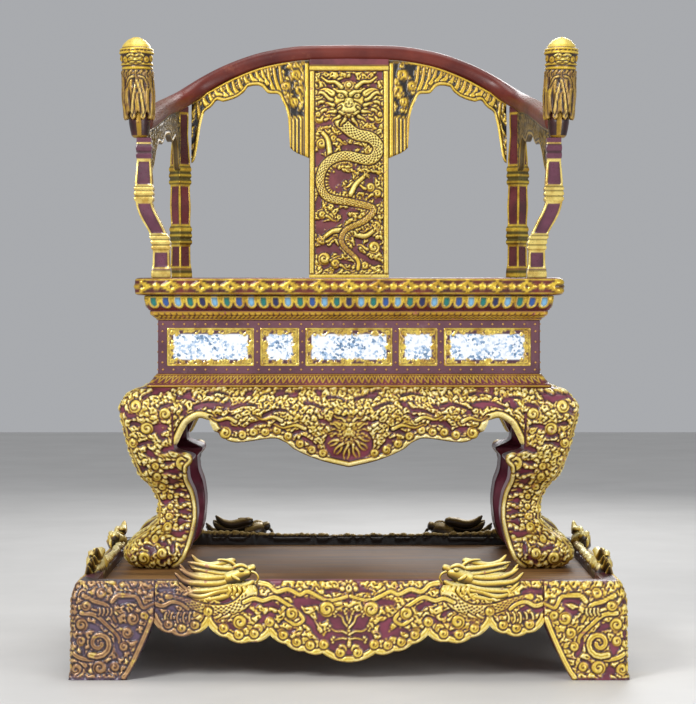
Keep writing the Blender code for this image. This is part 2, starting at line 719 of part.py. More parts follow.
def build_seat(lacquer):
    """Seat slab with a chain of diamonds along its front and side edges."""
    low, high = SLAB_BASE, SEAT_TOP - GAP
    edge = 0.18 * SLAB_THICKNESS
    rings = [
        slab_ring(SLAB_INSET + SLAB_BEVEL, low, SLAB_CORNER),
        slab_ring(SLAB_INSET, low + edge, SLAB_CORNER),
        slab_ring(SLAB_INSET, high - edge, SLAB_CORNER),
        slab_ring(SLAB_INSET + SLAB_BEVEL, high, SLAB_CORNER),
    ]
    slab = add_object("seat_slab", [loft(rings)], lacquer)
    middle = (low + high) / 2
    half_height = 0.26 * SLAB_THICKNESS
    shapes = []
    for side in ("front", "right", "left"):
        across, out = (KNEE_X, KNEE_Y) if side == "front" else (KNEE_Y, KNEE_X)
        face = out - SLAB_INSET
        usable = 2 * (across - SLAB_INSET) - DIAMOND_PITCH * 0.8
        count = max(int(usable / DIAMOND_PITCH), 1) + 1
        for i in range(count):
            centre = (i - (count - 1) / 2) * usable / max(count - 1, 1)
            half_width = 0.26 * DIAMOND_PITCH
            outline = [(-half_width, 0.0), (0.0, -half_height), (half_width, 0.0), (0.0, half_height)]
            base = [on_side(side, SET_BACK, centre + u, face - RELIEF_SINK, middle + v) for u, v in outline]
            tip = on_side(side, SET_BACK, centre, face + DIAMOND_RELIEF, middle)
            shapes.append(peak(base, tip))
    combine(slab, shapes, "UNION")


def rail_points(steps=RAIL_STEPS):
    """Right half of the crest rail's centre line, from the middle of the back to the arm's end."""
    spread = FRONT_POST_SPREAD + FRONT_POST_LEAN + ARM_OVERHANG
    back = BACK_Y + BACK_LEAN * RAIL_RISE + RAIL_SET_BACK
    count = len(RAIL_PATH) - 1
    points = []
    for i in range(steps + 1):
        t = count * i / steps
        across, forward, up = (
            smooth([(k, row[axis]) for k, row in enumerate(RAIL_PATH)], t) for axis in range(3)
        )
        y = back + (FRONT_POST_Y - back) * forward
        points.append(Vector((across * spread, y, ARM_END_Z + (RAIL_TOP_Z - ARM_END_Z) * up)))
    return points


def rail_height(x, y):
    """Height of the rail's underside over a place in plan, taken at the nearest stretch of the bar."""
    nearest, height = math.inf, 0.0
    for sign in (-1, 1):
        points = [Vector((sign * p.x, p.y, p.z)) for p in rail_points()]
        for a, b in zip(points, points[1:]):
            run = b - a
            flat = run.x * run.x + run.y * run.y
            t = min(max(((x - a.x) * run.x + (y - a.y) * run.y) / flat, 0.0), 1.0)
            away = math.hypot(x - a.x - t * run.x, y - a.y - t * run.y)
            if away < nearest:
                nearest = away
                drop = math.sqrt(max(RAIL_RADIUS ** 2 - away ** 2, 0.0)) * run.length / math.sqrt(flat)
                height = a.z + t * run.z - drop
    return height


def rail_shape(clearance):
    """Round bar along the whole rail, both arms and the back."""
    half = rail_points()
    path = [Vector((-p.x, p.y, p.z)) for p in reversed(half[1:])] + half
    radius = RAIL_RADIUS + clearance
    rings = []
    for i, point in enumerate(path):
        along = (path[min(i + 1, len(path) - 1)] - path[max(i - 1, 0)]).normalized()
        side = along.cross(Vector((0.0, 0.0, 1.0))).normalized()
        up = side.cross(along)
        rings.append([
            point + radius * (math.cos(2 * math.pi * (k + 0.5) / RAIL_SIDES) * side
                              + math.sin(2 * math.pi * (k + 0.5) / RAIL_SIDES) * up)
            for k in range(RAIL_SIDES)
        ])
    vertices, faces = loft(rings)
    halves = [half for f in faces if len(f) == 4 for half in ((f[0], f[1], f[2]), (f[0], f[2], f[3]))]
    return vertices, halves + [f for f in faces if len(f) != 4]


def back_surface(u, v, rise):
    """Point on the leaning plane of the back: rise is towards the sitter."""
    return Vector((u, BACK_Y + BACK_LEAN * (v - SEAT_TOP) - rise, v))


def post_shape(foot, lean, turn, width, height):
    """Square post with two groups of rolls, which leans in an S between them."""
    rings = []
    for share, size in POST_SECTIONS:
        t = min(max((share - LEAN_START) / (LEAN_END - LEAN_START), 0.0), 1.0)
        shift = t * t * (3 - 2 * t)
        slope = 6 * t * (1 - t) / ((LEAN_END - LEAN_START) * height)
        along = Vector((lean[0] * slope, lean[1] * slope, 1.0)).normalized()
        centre = Vector((foot[0] + lean[0] * shift, foot[1] + lean[1] * shift, foot[2] + share * height))
        ring = []
        for k in range(4):
            angle = math.radians(turn + 45 + 90 * k)
            reach = width / math.sqrt(2) * size
            spoke = Vector((math.cos(angle), math.sin(angle), 0.0)) * reach
            spoke.z = -(spoke.x * along.x + spoke.y * along.y) / along.z
            ring.append(centre + spoke)
        rings.append(ring)
    return loft(rings)


def build_back(lacquer, gilt):
    """Crest rail, posts, finials, splat and spandrels."""
    add_object("crest_rail", [rail_shape(0.0)], lacquer)
    rail_cut = rail_shape(GAP)
    front_height = NECK_BASE - GAP - SEAT_TOP
    for name, sign in (("left", -1), ("right", 1)):
        front_foot = (sign * FRONT_POST_SPREAD, FRONT_POST_Y, SEAT_TOP)
        shape = post_shape(front_foot, (sign * FRONT_POST_LEAN, 0.0), 0.0, FRONT_POST_WIDTH, front_height)
        add_object(f"arm_post_{name}", [shape], lacquer)

        rear_foot = (sign * REAR_POST_SPREAD, REAR_POST_Y, SEAT_TOP)
        rear_height = rail_height(REAR_POST_SPREAD, REAR_POST_Y + REAR_POST_LEAN) + RAIL_RADIUS - SEAT_TOP
        rear_lean = (sign * REAR_POST_SPLAY, REAR_POST_LEAN)
        shape = post_shape(rear_foot, rear_lean, 45.0, REAR_POST_WIDTH, rear_height)
        post = add_object(f"back_post_{name}", [shape], lacquer)
        combine(post, [rail_cut], "DIFFERENCE")

        finial = add_object(f"dragon_finial_{name}", [finial_shape(sign)], gilt)
        combine(finial, [rail_cut], "DIFFERENCE")
        combine(finial, finial_features(sign), "UNION")

        add_spandrel(f"back_spandrel_{name}", sign, gilt)
        add_arm_spandrel(f"arm_spandrel_{name}", sign, gilt)
    add_splat(rail_cut, gilt)


def finial_centre(share, forward):
    """Centre of the finial at a share of its height."""
    x = FINIAL_X + FINIAL_SET_OUT * share
    return Vector((x, FRONT_POST_Y - forward * FINIAL_WIDTH, NECK_BASE + share * FINIAL_HEIGHT))


def finial_shape(sign):
    """Dragon's neck and head; the mane's lower edge hangs in points."""
    rings = []
    for share, forward, half_width, half_depth in FINIAL_SECTIONS:
        centre = finial_centre(share, forward)
        ring = []
        for k in range(8):
            angle = math.radians(22.5 + 45 * k)
            x = centre.x + half_width * FINIAL_WIDTH * math.cos(angle)
            y = centre.y + half_depth * FINIAL_WIDTH * math.sin(angle)
            hang = MANE_HANG if share == MANE_LEVEL and k % 2 else 0.0
            ring.append((sign * x, y, centre.z - hang))
        rings.append(ring)
    return loft(rings)


def finial_features(sign):
    """Brows, eyes and snout on the finial's face."""
    centre = finial_centre(0.78, 0.0)
    front = centre.y - 0.62 * FINIAL_WIDTH

    def face(u, v, rise):
        return Vector((sign * (centre.x + u), front - rise, centre.z + v))

    size = FINIAL_WIDTH
    shapes = [boss((0.0, -0.19 * size), (0.31 * size, 0.19 * size), FACE_RELIEF, face, 6)]
    for side in (-1, 1):
        eye = (side * 0.24 * size, 0.16 * size)
        shapes.append(boss(eye, (0.13 * size, 0.11 * size), 0.67 * FACE_RELIEF, face, 6))
    return shapes


def add_splat(rail_cut, gilt):
    """Upright splat with a framed field and its dragon."""
    half = SPLAT_WIDTH / 2
    low = SEAT_TOP
    crest = RAIL_TOP_Z - RAIL_RADIUS
    high = crest + 0.6 * RAIL_RADIUS
    field_top = crest - SPLAT_TOP_STRIP
    border = SPLAT_BORDER
    outer = [(-half, low), (half, low), (half, high), (-half, high)]
    inner = [(-half + border, low + border), (half - border, low + border)]
    inner += [(half - border, field_top), (-half + border, field_top)]
    shape = loft([
        [back_surface(u, v, 0.0) for u, v in outer],
        [back_surface(u, v, SPLAT_THICKNESS) for u, v in outer],
        [back_surface(u, v, SPLAT_THICKNESS) for u, v in inner],
        [back_surface(u, v, SPLAT_THICKNESS - SPLAT_RECESS) for u, v in inner],
    ])
    splat = add_object("back_splat", [shape], gilt)
    combine(splat, [rail_cut], "DIFFERENCE")

    field_low, field_half = low + border, half - border
    field = SPLAT_THICKNESS - SPLAT_RECESS

    def metric(u, v, rise):
        return back_surface(u, v, field + rise)

    def place(u, v):
        return u * field_half, field_low + v * (field_top - field_low)

    body = [place(u, v) for u, v in DRAGON_BODY]
    relief = [ribbon(body, DRAGON_WIDTH, DRAGON_RELIEF, metric, 0.35)]
    for leg in DRAGON_LEGS:
        relief.append(ribbon([place(u, v) for u, v in leg], CLAW_WIDTH, CLAW_RELIEF, metric, 0.7))
    relief += mask_features(place(0.0, 0.885), metric)
    for share_u, share_v, radius, hand in SPLAT_CLOUDS:
        cloud = curl(place(share_u, share_v), radius, 90, hand)
        relief.append(ribbon(cloud, CLOUD_WIDTH, CLOUD_RELIEF, metric))
    combine(splat, relief, "UNION")


def mask_features(centre, surface):
    """Front view of the dragon's head at the top of the splat: skull, muzzle, eyes, horns and mane."""
    size = MASK_RADIUS

    def spot(across, up):
        return centre[0] + across * size, centre[1] + up * size

    shapes = [boss(centre, (size, 1.06 * size), 0.65 * MASK_RELIEF, surface, 10)]
    shapes.append(boss(spot(0.0, -0.41), (0.62 * size, 0.35 * size), MASK_RELIEF, surface, 8))
    for side in (-1, 1):
        eye = spot(side * 0.41, 0.26)
        shapes.append(boss(eye, (0.21 * size, 0.18 * size), 0.9 * MASK_RELIEF, surface, 6))
        horn = [spot(side * 0.59, 0.53), spot(side * 1.12, 0.88), spot(side * 1.76, 1.0)]
        mane = [spot(side * 0.76, -0.12), spot(side * 1.29, -0.41), spot(side * 1.88, -0.18)]
        shapes += [ribbon(path, 0.26 * size, 0.55 * MASK_RELIEF, surface, 0.4) for path in (horn, mane)]
    return shapes


def spandrel_plate(edge, place, surface):
    """Thin plate under the rail, scalloped below. surface(u, z, rise) gives its points."""
    rings = []
    sides = (0.0, SPANDREL_THICKNESS)

    def rail_over(u, z):
        return min(rail_height(*surface(u, z, rise).to_2d()) for rise in sides)

    for share, drop in edge:
        u = place(share)
        high = rail_over(u, rail_over(u, ARM_END_Z) - GAP) - RAIL_GAP
        ring = [(high - drop, 0.0), (high - drop, SPANDREL_THICKNESS)]
        ring += [(high, SPANDREL_THICKNESS), (high, 0.0)]
        rings.append([surface(u, v, rise) for v, rise in ring])
    return loft(rings)


def add_spandrel(name, sign, gilt):
    """Carved spandrel between the splat and a back post, under the rail."""
    inner = SPLAT_WIDTH / 2 + GAP
    diagonal = REAR_POST_WIDTH / math.sqrt(2) * POST_SWELL
    outer = REAR_POST_SPREAD - diagonal - GAP
    start = (SPLAT_THICKNESS - SPANDREL_THICKNESS) / 2

    def place(share):
        return inner + (outer - inner) * share

    def surface(u, v, rise):
        point = back_surface(u, v, rise + start)
        return Vector((sign * point.x, point.y, point.z))

    plate = spandrel_plate(SPANDREL_EDGE, place, surface)
    add_object(name, [plate], gilt)


def add_arm_spandrel(name, sign, gilt):
    """Carved spandrel under an arm, between the back post and the arm post."""
    rear = Vector((REAR_POST_SPREAD + REAR_POST_SPLAY, REAR_POST_Y + REAR_POST_LEAN, 0.0))
    front = Vector((FRONT_POST_SPREAD + FRONT_POST_LEAN, FRONT_POST_Y, 0.0))
    along = (front - rear).normalized()
    rear_reach = REAR_POST_WIDTH / math.sqrt(2) * POST_SWELL + GAP
    front_reach = FRONT_POST_WIDTH * 0.72 + GAP
    start = rear + along * rear_reach
    length = (front - rear).length - rear_reach - front_reach
    across = Vector((along.y, -along.x, 0.0)) * SPANDREL_THICKNESS

    def place(share):
        return share * length

    def surface(u, v, rise):
        point = start + along * u + across * (rise / SPANDREL_THICKNESS - 0.5)
        return Vector((sign * point.x, point.y, v))

    plate = spandrel_plate(ARM_SPANDREL_EDGE, place, surface)
    add_object(name, [plate], gilt)


def main():
    """Builds the whole throne."""
    for thing in list(bpy.data.objects):
        bpy.data.objects.remove(thing)
    wood = material("board_wood", (0.20, 0.09, 0.04), 0.35)
    lacquer = material("red_lacquer", (0.22, 0.03, 0.03), 0.30)
    gilt = material("gilt_wood", (0.85, 0.62, 0.18), 0.35, 0.8)
    enamel = material("enamel", (0.72, 0.80, 0.88), 0.15)
    build_stand(wood, gilt)
    build_body(gilt)
    build_waist(lacquer, gilt, enamel)
    build_back(lacquer, gilt)


main()
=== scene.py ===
"""Looks of the ceremonial throne: carved, lacquered and gilt wood on a low footed stand.

Each carved face is a relief that is drawn stroke by stroke on a height map, the way a carver lowers the
ground and leaves the forms standing. A skin of mesh is then laid over the wood and raised by that map.
"""

from __future__ import annotations

import json
import logging
import math
from dataclasses import dataclass, field
from enum import Enum
from typing import Callable, Sequence

import bpy
import numpy as np
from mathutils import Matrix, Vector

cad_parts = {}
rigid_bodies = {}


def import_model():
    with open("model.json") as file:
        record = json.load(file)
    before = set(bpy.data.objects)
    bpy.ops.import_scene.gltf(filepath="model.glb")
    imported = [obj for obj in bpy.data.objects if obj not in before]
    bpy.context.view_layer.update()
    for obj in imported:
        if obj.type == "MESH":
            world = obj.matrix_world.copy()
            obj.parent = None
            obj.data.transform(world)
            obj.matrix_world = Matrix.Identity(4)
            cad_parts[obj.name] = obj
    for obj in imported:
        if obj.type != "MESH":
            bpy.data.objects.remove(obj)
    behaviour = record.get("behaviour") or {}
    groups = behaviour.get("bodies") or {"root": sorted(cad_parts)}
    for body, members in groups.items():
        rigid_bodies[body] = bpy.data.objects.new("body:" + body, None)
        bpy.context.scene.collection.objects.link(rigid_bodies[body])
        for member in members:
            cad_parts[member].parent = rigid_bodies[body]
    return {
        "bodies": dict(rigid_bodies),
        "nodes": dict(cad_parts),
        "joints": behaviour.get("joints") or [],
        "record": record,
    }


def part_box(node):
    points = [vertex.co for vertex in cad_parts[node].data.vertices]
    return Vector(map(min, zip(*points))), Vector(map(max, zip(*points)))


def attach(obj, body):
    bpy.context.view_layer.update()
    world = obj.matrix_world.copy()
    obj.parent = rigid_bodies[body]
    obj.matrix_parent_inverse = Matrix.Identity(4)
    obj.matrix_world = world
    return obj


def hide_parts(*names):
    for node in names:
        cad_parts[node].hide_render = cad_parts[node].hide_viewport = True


LOG = logging.getLogger("throne")
Point = tuple[float, float]


class Side(Enum):
    """Side of the throne, by the angle that it is turned from the front."""

    FRONT = 0
    RIGHT = 90
    BACK = 180
    LEFT = 270

    @property
    def is_long(self) -> bool:
        """Whether the side runs along the throne's width."""
        return self in (Side.FRONT, Side.BACK)

    def halves(self, half_x: float, half_y: float) -> Point:
        """Half the side's length and how far out it is, for a box of half these sizes."""
        return (half_x, half_y) if self.is_long else (half_y, half_x)

    def place(self, along: np.ndarray, out: np.ndarray, up: np.ndarray, centre_y: float) -> np.ndarray:
        """World points of places on this side.

        Args:
            along: distance along the side, to the right of someone who faces it.
            out: distance out from the middle.
            up: height.
            centre_y: where the middle is, front to back.

        Returns:
            An array of points, last axis x, y, z.
        """
        angle = math.radians(self.value)
        sine, cosine = round(math.sin(angle)), round(math.cos(angle))
        along, out, up = np.broadcast_arrays(along, out, up)
        return np.stack([along * cosine + out * sine, centre_y + along * sine - out * cosine, up], axis=-1)


class Corner(Enum):
    """Corner of the throne, by the signs of its place."""

    FRONT_LEFT = (-1, -1)
    FRONT_RIGHT = (1, -1)
    BACK_LEFT = (-1, 1)
    BACK_RIGHT = (1, 1)

    @property
    def label(self) -> str:
        """Name of the corner in a node's name."""
        return self.name.lower()

    @property
    def is_front(self) -> bool:
        """Whether the corner is at the front."""
        return self.value[1] < 0


def smooth_curve(table: Sequence[Point], x: np.ndarray) -> np.ndarray:
    """Values on a smooth curve through points that never swings past them.

    Args:
        table: (x, value) points in rising order of x.
        x: where to read the curve.

    Returns:
        The curve's values at x.
    """
    xs, ys = (np.array(column, float) for column in zip(*table))
    x = np.clip(np.asarray(x, float), xs[0], xs[-1])
    secants = np.diff(ys) / np.diff(xs)
    slopes = np.zeros_like(ys)
    slopes[0], slopes[-1] = secants[0], secants[-1]
    before, after = secants[:-1], secants[1:]
    product = before * after
    slopes[1:-1] = np.where(
        product > 0, 2 * product / np.where(before + after == 0, 1.0, before + after), 0.0
    )
    i = np.clip(np.searchsorted(xs, x, side="right") - 1, 0, len(secants) - 1)
    span = xs[i + 1] - xs[i]
    t = (x - xs[i]) / span
    rise, a, b = ys[i + 1] - ys[i], slopes[i] * span, slopes[i + 1] * span
    return ys[i] + t * a + t * t * (3 * rise - 2 * a - b) + t**3 * (a + b - 2 * rise)


def profile_length(profile: Sequence[Point]) -> float:
    """Length of a line through points."""
    return float(np.hypot(*np.diff(np.array(profile), axis=0).T).sum())


def headings(line: np.ndarray) -> np.ndarray:
    """Direction of a line at each of its points."""
    heading = np.gradient(line, axis=0)
    return heading / np.linalg.norm(heading, axis=1, keepdims=True)


def crossings(line: np.ndarray) -> np.ndarray:
    """Direction across a flat line at each of its points."""
    heading = np.gradient(line, axis=0)
    return np.stack([-heading[:, 1], heading[:, 0]], -1) / np.linalg.norm(heading, axis=1, keepdims=True)


def mirrored(points: Sequence[Point], sign: int, stretch: float = 1.0) -> list[Point]:
    """Points on the right half of a face, moved to the left half by a sign of -1."""
    return [(sign * u * stretch, v) for u, v in points]


def spline(points: Sequence[Sequence[float]], steps: int = 6) -> np.ndarray:
    """Points on a smooth line through the given ones.

    Args:
        points: the line's own points, in two or three dimensions.
        steps: how many pieces each stretch is cut into.

    Returns:
        The finer points.
    """
    p = np.array(points, float)
    if len(p) < 3:
        return p
    padded = np.vstack([2 * p[0] - p[1], p, 2 * p[-1] - p[-2]])
    t = (np.arange(steps) / steps)[:, None]
    lines = []
    for i in range(len(p) - 1):
        a, b, c, d = padded[i : i + 4]
        lines.append(
            0.5 * (2 * b + (c - a) * t + (2 * a - 5 * b + 4 * c - d) * t**2 + (3 * b - a - 3 * c + d) * t**3)
        )
    return np.vstack([*lines, p[-1:]])


def spiral(
    centre: Point, radius: float, start: float, hand: int, turns: float = 1.4, core: float = 0.22
) -> np.ndarray:
    """Points of a scroll that winds in to its eye.

    Args:
        centre: the scroll's eye.
        radius: how far its outer end is from the eye.
        start: angle of the outer end, in radians.
        hand: 1 to wind anticlockwise, -1 to wind clockwise.
        turns: how often it winds round.
        core: share of the radius left at its inner end.

    Returns:
        Its points from the outer end to the inner one.
    """
    t = np.linspace(0, 1, max(int(14 * turns), 8))
    reach = radius * (1 - (1 - core) * t**0.8)
    angle = start + hand * 2 * math.pi * turns * t
    return np.stack([centre[0] + reach * np.cos(angle), centre[1] + reach * np.sin(angle)], axis=-1)


@dataclass
class Relief:
    """Height map of a carved face, in metres above its ground.

    Attributes:
        low: lowest corner of the face, along it and up it.
        high: highest corner.
        pitch: distance between two places of the map.
    """

    low: Point
    high: Point
    pitch: float = 0.0009
    height: np.ndarray = field(init=False)
    gilt: np.ndarray = field(init=False)
    crevice: np.ndarray | None = field(init=False, default=None)

    def __post_init__(self) -> None:
        """Starts with bare ground."""
        self.u = np.arange(self.low[0], self.high[0] + self.pitch, self.pitch)
        self.v = np.arange(self.low[1], self.high[1] + self.pitch, self.pitch)
        self.height = np.zeros((len(self.v), len(self.u)))
        self.gilt = np.zeros_like(self.height)

    def _window(self, low: np.ndarray, high: np.ndarray) -> tuple[slice, slice]:
        """Part of the map between two corners."""
        a = np.clip(((low[::-1] - (self.v[0], self.u[0])) / self.pitch).astype(int), 0, None)
        b = ((high[::-1] - (self.v[0], self.u[0])) / self.pitch).astype(int) + 2
        return slice(a[0], max(b[0], a[0])), slice(a[1], max(b[1], a[1]))

    def _patch(
        self, centre: Point, reach: float | np.ndarray
    ) -> tuple[slice, slice, np.ndarray, np.ndarray]:
        """Rows and columns round a place, and how far their points are from it along and up."""
        c = np.array(centre, float)
        rows, columns = self._window(c - reach, c + reach)
        v, u = np.meshgrid(self.v[rows] - c[1], self.u[columns] - c[0], indexing="ij")
        return rows, columns, u, v

    def stroke(
        self,
        points: Sequence[Sequence[float]],
        width: float,
        height: float,
        tip: float = 1.0,
        moat: float = 0.0014,
        base: float = 0.0,
        groove: float = 0.0,
        scales: float = 0.0,
        ribs: float = 0.0,
        gilt: float = 1.0,
    ) -> None:
        """Raises a rounded ridge along a line.

        Args:
            points: the line.
            width: half the ridge's width at its start.
            height: its height above the base.
            tip: share of the width left at its end.
            moat: how far the forms round it are cut back.
            base: height that it stands on.
            groove: share of the height that a groove along its middle goes down.
            scales: size of the scales on it, or 0 for none.
            ribs: spacing of ribs across it, or 0 for none.
            gilt: share of gilding on it.
        """
        p = np.asarray(points, float)
        steps = np.diff(p, axis=0)
        lengths = np.hypot(*steps.T)
        runs = np.concatenate([[0.0], np.cumsum(lengths)])
        widths = width * (1 - (1 - tip) * runs / max(runs[-1], 1e-9))
        reach = widths.max() + moat
        rows, columns = self._window(p.min(0) - reach, p.max(0) + reach)
        v, u = np.meshgrid(self.v[rows], self.u[columns], indexing="ij")
        if not v.size:
            return
        best = np.full(v.shape, np.inf)
        along = np.zeros(v.shape)
        aside = np.zeros(v.shape)
        half = np.full(v.shape, width)
        for i, (step, length) in enumerate(zip(steps, lengths)):
            if length < 1e-9:
                continue
            pad = max(widths[i], widths[i + 1]) + moat
            low, high = np.minimum(p[i], p[i + 1]) - pad, np.maximum(p[i], p[i + 1]) + pad
            r, c = self._window(low, high)
            r = slice(max(r.start - rows.start, 0), max(r.stop - rows.start, 0))
            c = slice(max(c.start - columns.start, 0), max(c.stop - columns.start, 0))
            du, dv = u[r, c] - p[i][0], v[r, c] - p[i][1]
            if not du.size:
                continue
            t = np.clip((du * step[0] + dv * step[1]) / length**2, 0, 1)
            away = np.hypot(du - t * step[0], dv - t * step[1])
            local = widths[i] + (widths[i + 1] - widths[i]) * t
            share = away / local
            nearer = share < best[r, c]
            best[r, c] = np.where(nearer, share, best[r, c])
            along[r, c] = np.where(nearer, runs[i] + t * length, along[r, c])
            aside[r, c] = np.where(nearer, (du * step[1] - dv * step[0]) / length, aside[r, c])
            half[r, c] = np.where(nearer, local, half[r, c])
        inside = best < 1
        dome = 0.35 + 0.65 * np.sqrt(np.clip(1 - best**2, 0, 1))
        raised = base + height * dome * np.clip(half / width, 0.35, 1)
        if groove:
            raised -= groove * height * np.clip(1 - (best / 0.33) ** 2, 0, 1)
        if scales:
            row = np.floor(aside / scales + 0.5)
            phase = np.mod(along / scales + 0.5 * np.mod(row, 2), 1.0)
            bulge = 1 - np.abs(2 * np.mod(aside / scales + 0.5, 1.0) - 1) ** 2
            raised += 0.22 * height * (phase * (0.4 + 0.6 * bulge) - 0.5)
        if ribs:
            raised += 0.16 * height * np.cos(2 * math.pi * along / ribs)
        ring = (best >= 1) & ((best - 1) * half < moat)
        level = self.height[rows, columns]
        paint = self.gilt[rows, columns]
        level[ring] = np.minimum(level[ring], base * 0.5)
        paint[ring] = np.minimum(paint[ring], 0.15)
        level[inside] = raised[inside]
        paint[inside] = gilt

    def dome(
        self, centre: Point, radii: Point, height: float, moat: float = 0.0012, gilt: float = 1.0
    ) -> None:
        """Raises an oval boss.

        Args:
            centre: its middle.
            radii: half its width and half its height.
            height: how far it stands up.
            moat: how far the forms round it are cut back.
            gilt: share of gilding on it.
        """
        c, r = np.array(centre, float), np.array(radii, float)
        rows, columns = self._window(c - r - moat, c + r + moat)
        v, u = np.meshgrid(self.v[rows], self.u[columns], indexing="ij")
        share = np.hypot((u - c[0]) / r[0], (v - c[1]) / r[1])
        level, paint = self.height[rows, columns], self.gilt[rows, columns]
        ring = (share >= 1) & ((share - 1) * r.min() < moat)
        level[ring] = np.minimum(level[ring], 0.0)
        paint[ring] = np.minimum(paint[ring], 0.15)
        raised = height * (0.3 + 0.7 * np.sqrt(np.clip(1 - share**2, 0, 1)))
        higher = (share < 1) & (raised > level)
        level[higher] = raised[higher]
        paint[higher] = gilt

    def scaly(
        self, line: np.ndarray, width: float, height: float, tip: float, scale: float = 0.0042
    ) -> None:
        """Raises a scaly body along a line, with small notches in staggered rows.

        Args:
            line: its middle line.
            width: half its width at its start.
            height: its height.
            tip: share of the width left at its end.
            scale: distance between two rows of notches.
        """
        self.stroke(line, width, height, tip, moat=0.0024, base=0.001)
        across = crossings(line)
        runs = np.concatenate([[0.0], np.cumsum(np.hypot(*np.diff(line, axis=0).T))])
        for number, run in enumerate(np.arange(2 * scale, 0.95 * runs[-1], scale)):
            spot = np.array([np.interp(run, runs, line[:, axis]) for axis in (0, 1)])
            way = np.array([np.interp(run, runs, across[:, axis]) for axis in (0, 1)])
            ahead = np.array([way[1], -way[0]])
            reach = width * (1 - (1 - tip) * run / runs[-1])
            for offset in ((-0.62, 0.0, 0.62) if number % 2 else (-0.32, 0.32)):
                start = spot + way * offset * reach
                self.stroke(
                    [start, start + ahead * scale / 2], scale / 4, 0.30 * height, 0.8, moat=0.0, gilt=0.1
                )

    def drill(self, centre: Point, radius: float, depth: float = 0.0) -> None:
        """Drills a round eye down to a depth, ungilded inside, which the finishes darken as painted shade.

        Args:
            centre: the eye's middle.
            radius: its radius.
            depth: how far under the ground it ends.
        """
        rows, columns, u, v = self._patch(centre, radius)
        inside = np.hypot(u, v) < radius
        self.height[rows, columns][inside] = -depth
        self.gilt[rows, columns][inside] = 0.0

    def scroll(
        self, centre: Point, radius: float, start: float, hand: int, height: float, turns: float = 1.25
    ) -> None:
        """Cloud scroll with a drilled eye.

        Args:
            centre: its eye.
            radius: how far its outer end is from the eye.
            start: angle of the outer end, in radians.
            hand: 1 to wind anticlockwise, -1 clockwise.
            height: the ridge's height.
            turns: how often it winds round.
        """
        self.clear(centre, (radius * 1.12, radius * 1.12))
        self.dome(centre, (radius * 1.05, radius * 1.05), height * 0.80)
        rows, columns, u, v = self._patch(centre, radius)
        away, angle = np.hypot(u, v), np.arctan2(v, u)
        phase = away / radius * turns - hand * (angle - start) / (2 * math.pi)
        groove = np.clip(1 - np.abs(np.mod(phase, 1.0) - 0.5) / 0.17, 0, 1) * (away < 0.97 * radius)
        self.height[rows, columns] -= 0.62 * height * groove
        self.drill(centre, max(radius * 0.15, 0.0011), -0.25 * height)

    def tendril(
        self, start: Point, angle: float, length: float, bend: float, width: float, height: float,
        curl: float = 0.0
    ) -> Point:
        """Tapering wavy strand.

        Args:
            start: where it grows from.
            angle: the way that it sets off, in radians.
            length: its length.
            bend: how far it swings, in radians.
            width: half its width at the start.
            height: its height.
            curl: radius of the scroll at its end, or 0 for none.

        Returns:
            Its end.
        """
        steps = 14
        t = np.linspace(0, 1, steps)
        heading = angle + bend * np.sin(t * math.pi * 1.2)
        path = np.cumsum(
            np.stack([np.cos(heading), np.sin(heading)], axis=-1) * length / steps, axis=0
        ) + start
        self.stroke(path, width, height, 0.35 if not curl else 0.8, groove=0.25)
        if curl:
            hand = 1 if bend > 0 else -1
            centre = path[-1] + curl * np.array(
                [math.cos(heading[-1] + hand * 1.3), math.sin(heading[-1] + hand * 1.3)]
            )
            self.scroll(tuple(centre), curl, heading[-1] - hand * 1.8, hand, height)
        return tuple(path[-1])

    def clear(self, centre: Point, radii: Point) -> None:
        """Cuts an oval place back to bare ground."""
        rows, columns, u, v = self._patch(centre, np.array(radii, float))
        inside = np.hypot(u / radii[0], v / radii[1]) < 1
        self.height[rows, columns][inside] = 0.0
        self.gilt[rows, columns][inside] = 0.0

    def stamp(self, other: Relief, centre: Point, scale: float) -> None:
        """Sets a smaller map's forms into this one, enlarged, with a cut line round them."""
        rows, columns, u, v = self._patch(centre, scale * np.array(other.high))
        u, v = u / scale, v / scale
        spread = Relief(other.low, other.high, other.pitch)
        spread.height = self._averaged(other.gilt, 2, 1)
        near = spread.read(u, v)[0] > 0.03
        height, gilt, _ = other.read(u, v)
        level, paint = self.height[rows, columns], self.gilt[rows, columns]
        level[near] = scale * height[near]
        paint[near] = np.clip(2.5 * gilt[near] - 0.9, 0, 1)

    def pierce(self, centre: Point, length: float, width: float, angle: float = 0.0) -> None:
        """Opens a long window in the carving that shows the ground."""
        reach = np.linspace(-0.5, 0.5, 7)
        bow = 0.10 * length * np.cos(reach * math.pi)
        path = np.stack([
            centre[0] + reach * length * math.cos(angle) - bow * math.sin(angle),
            centre[1] + reach * length * math.sin(angle) + bow * math.cos(angle),
        ], -1)
        self.stroke(path, width / 2, 0.0, 0.55, moat=0.0, gilt=0.0)

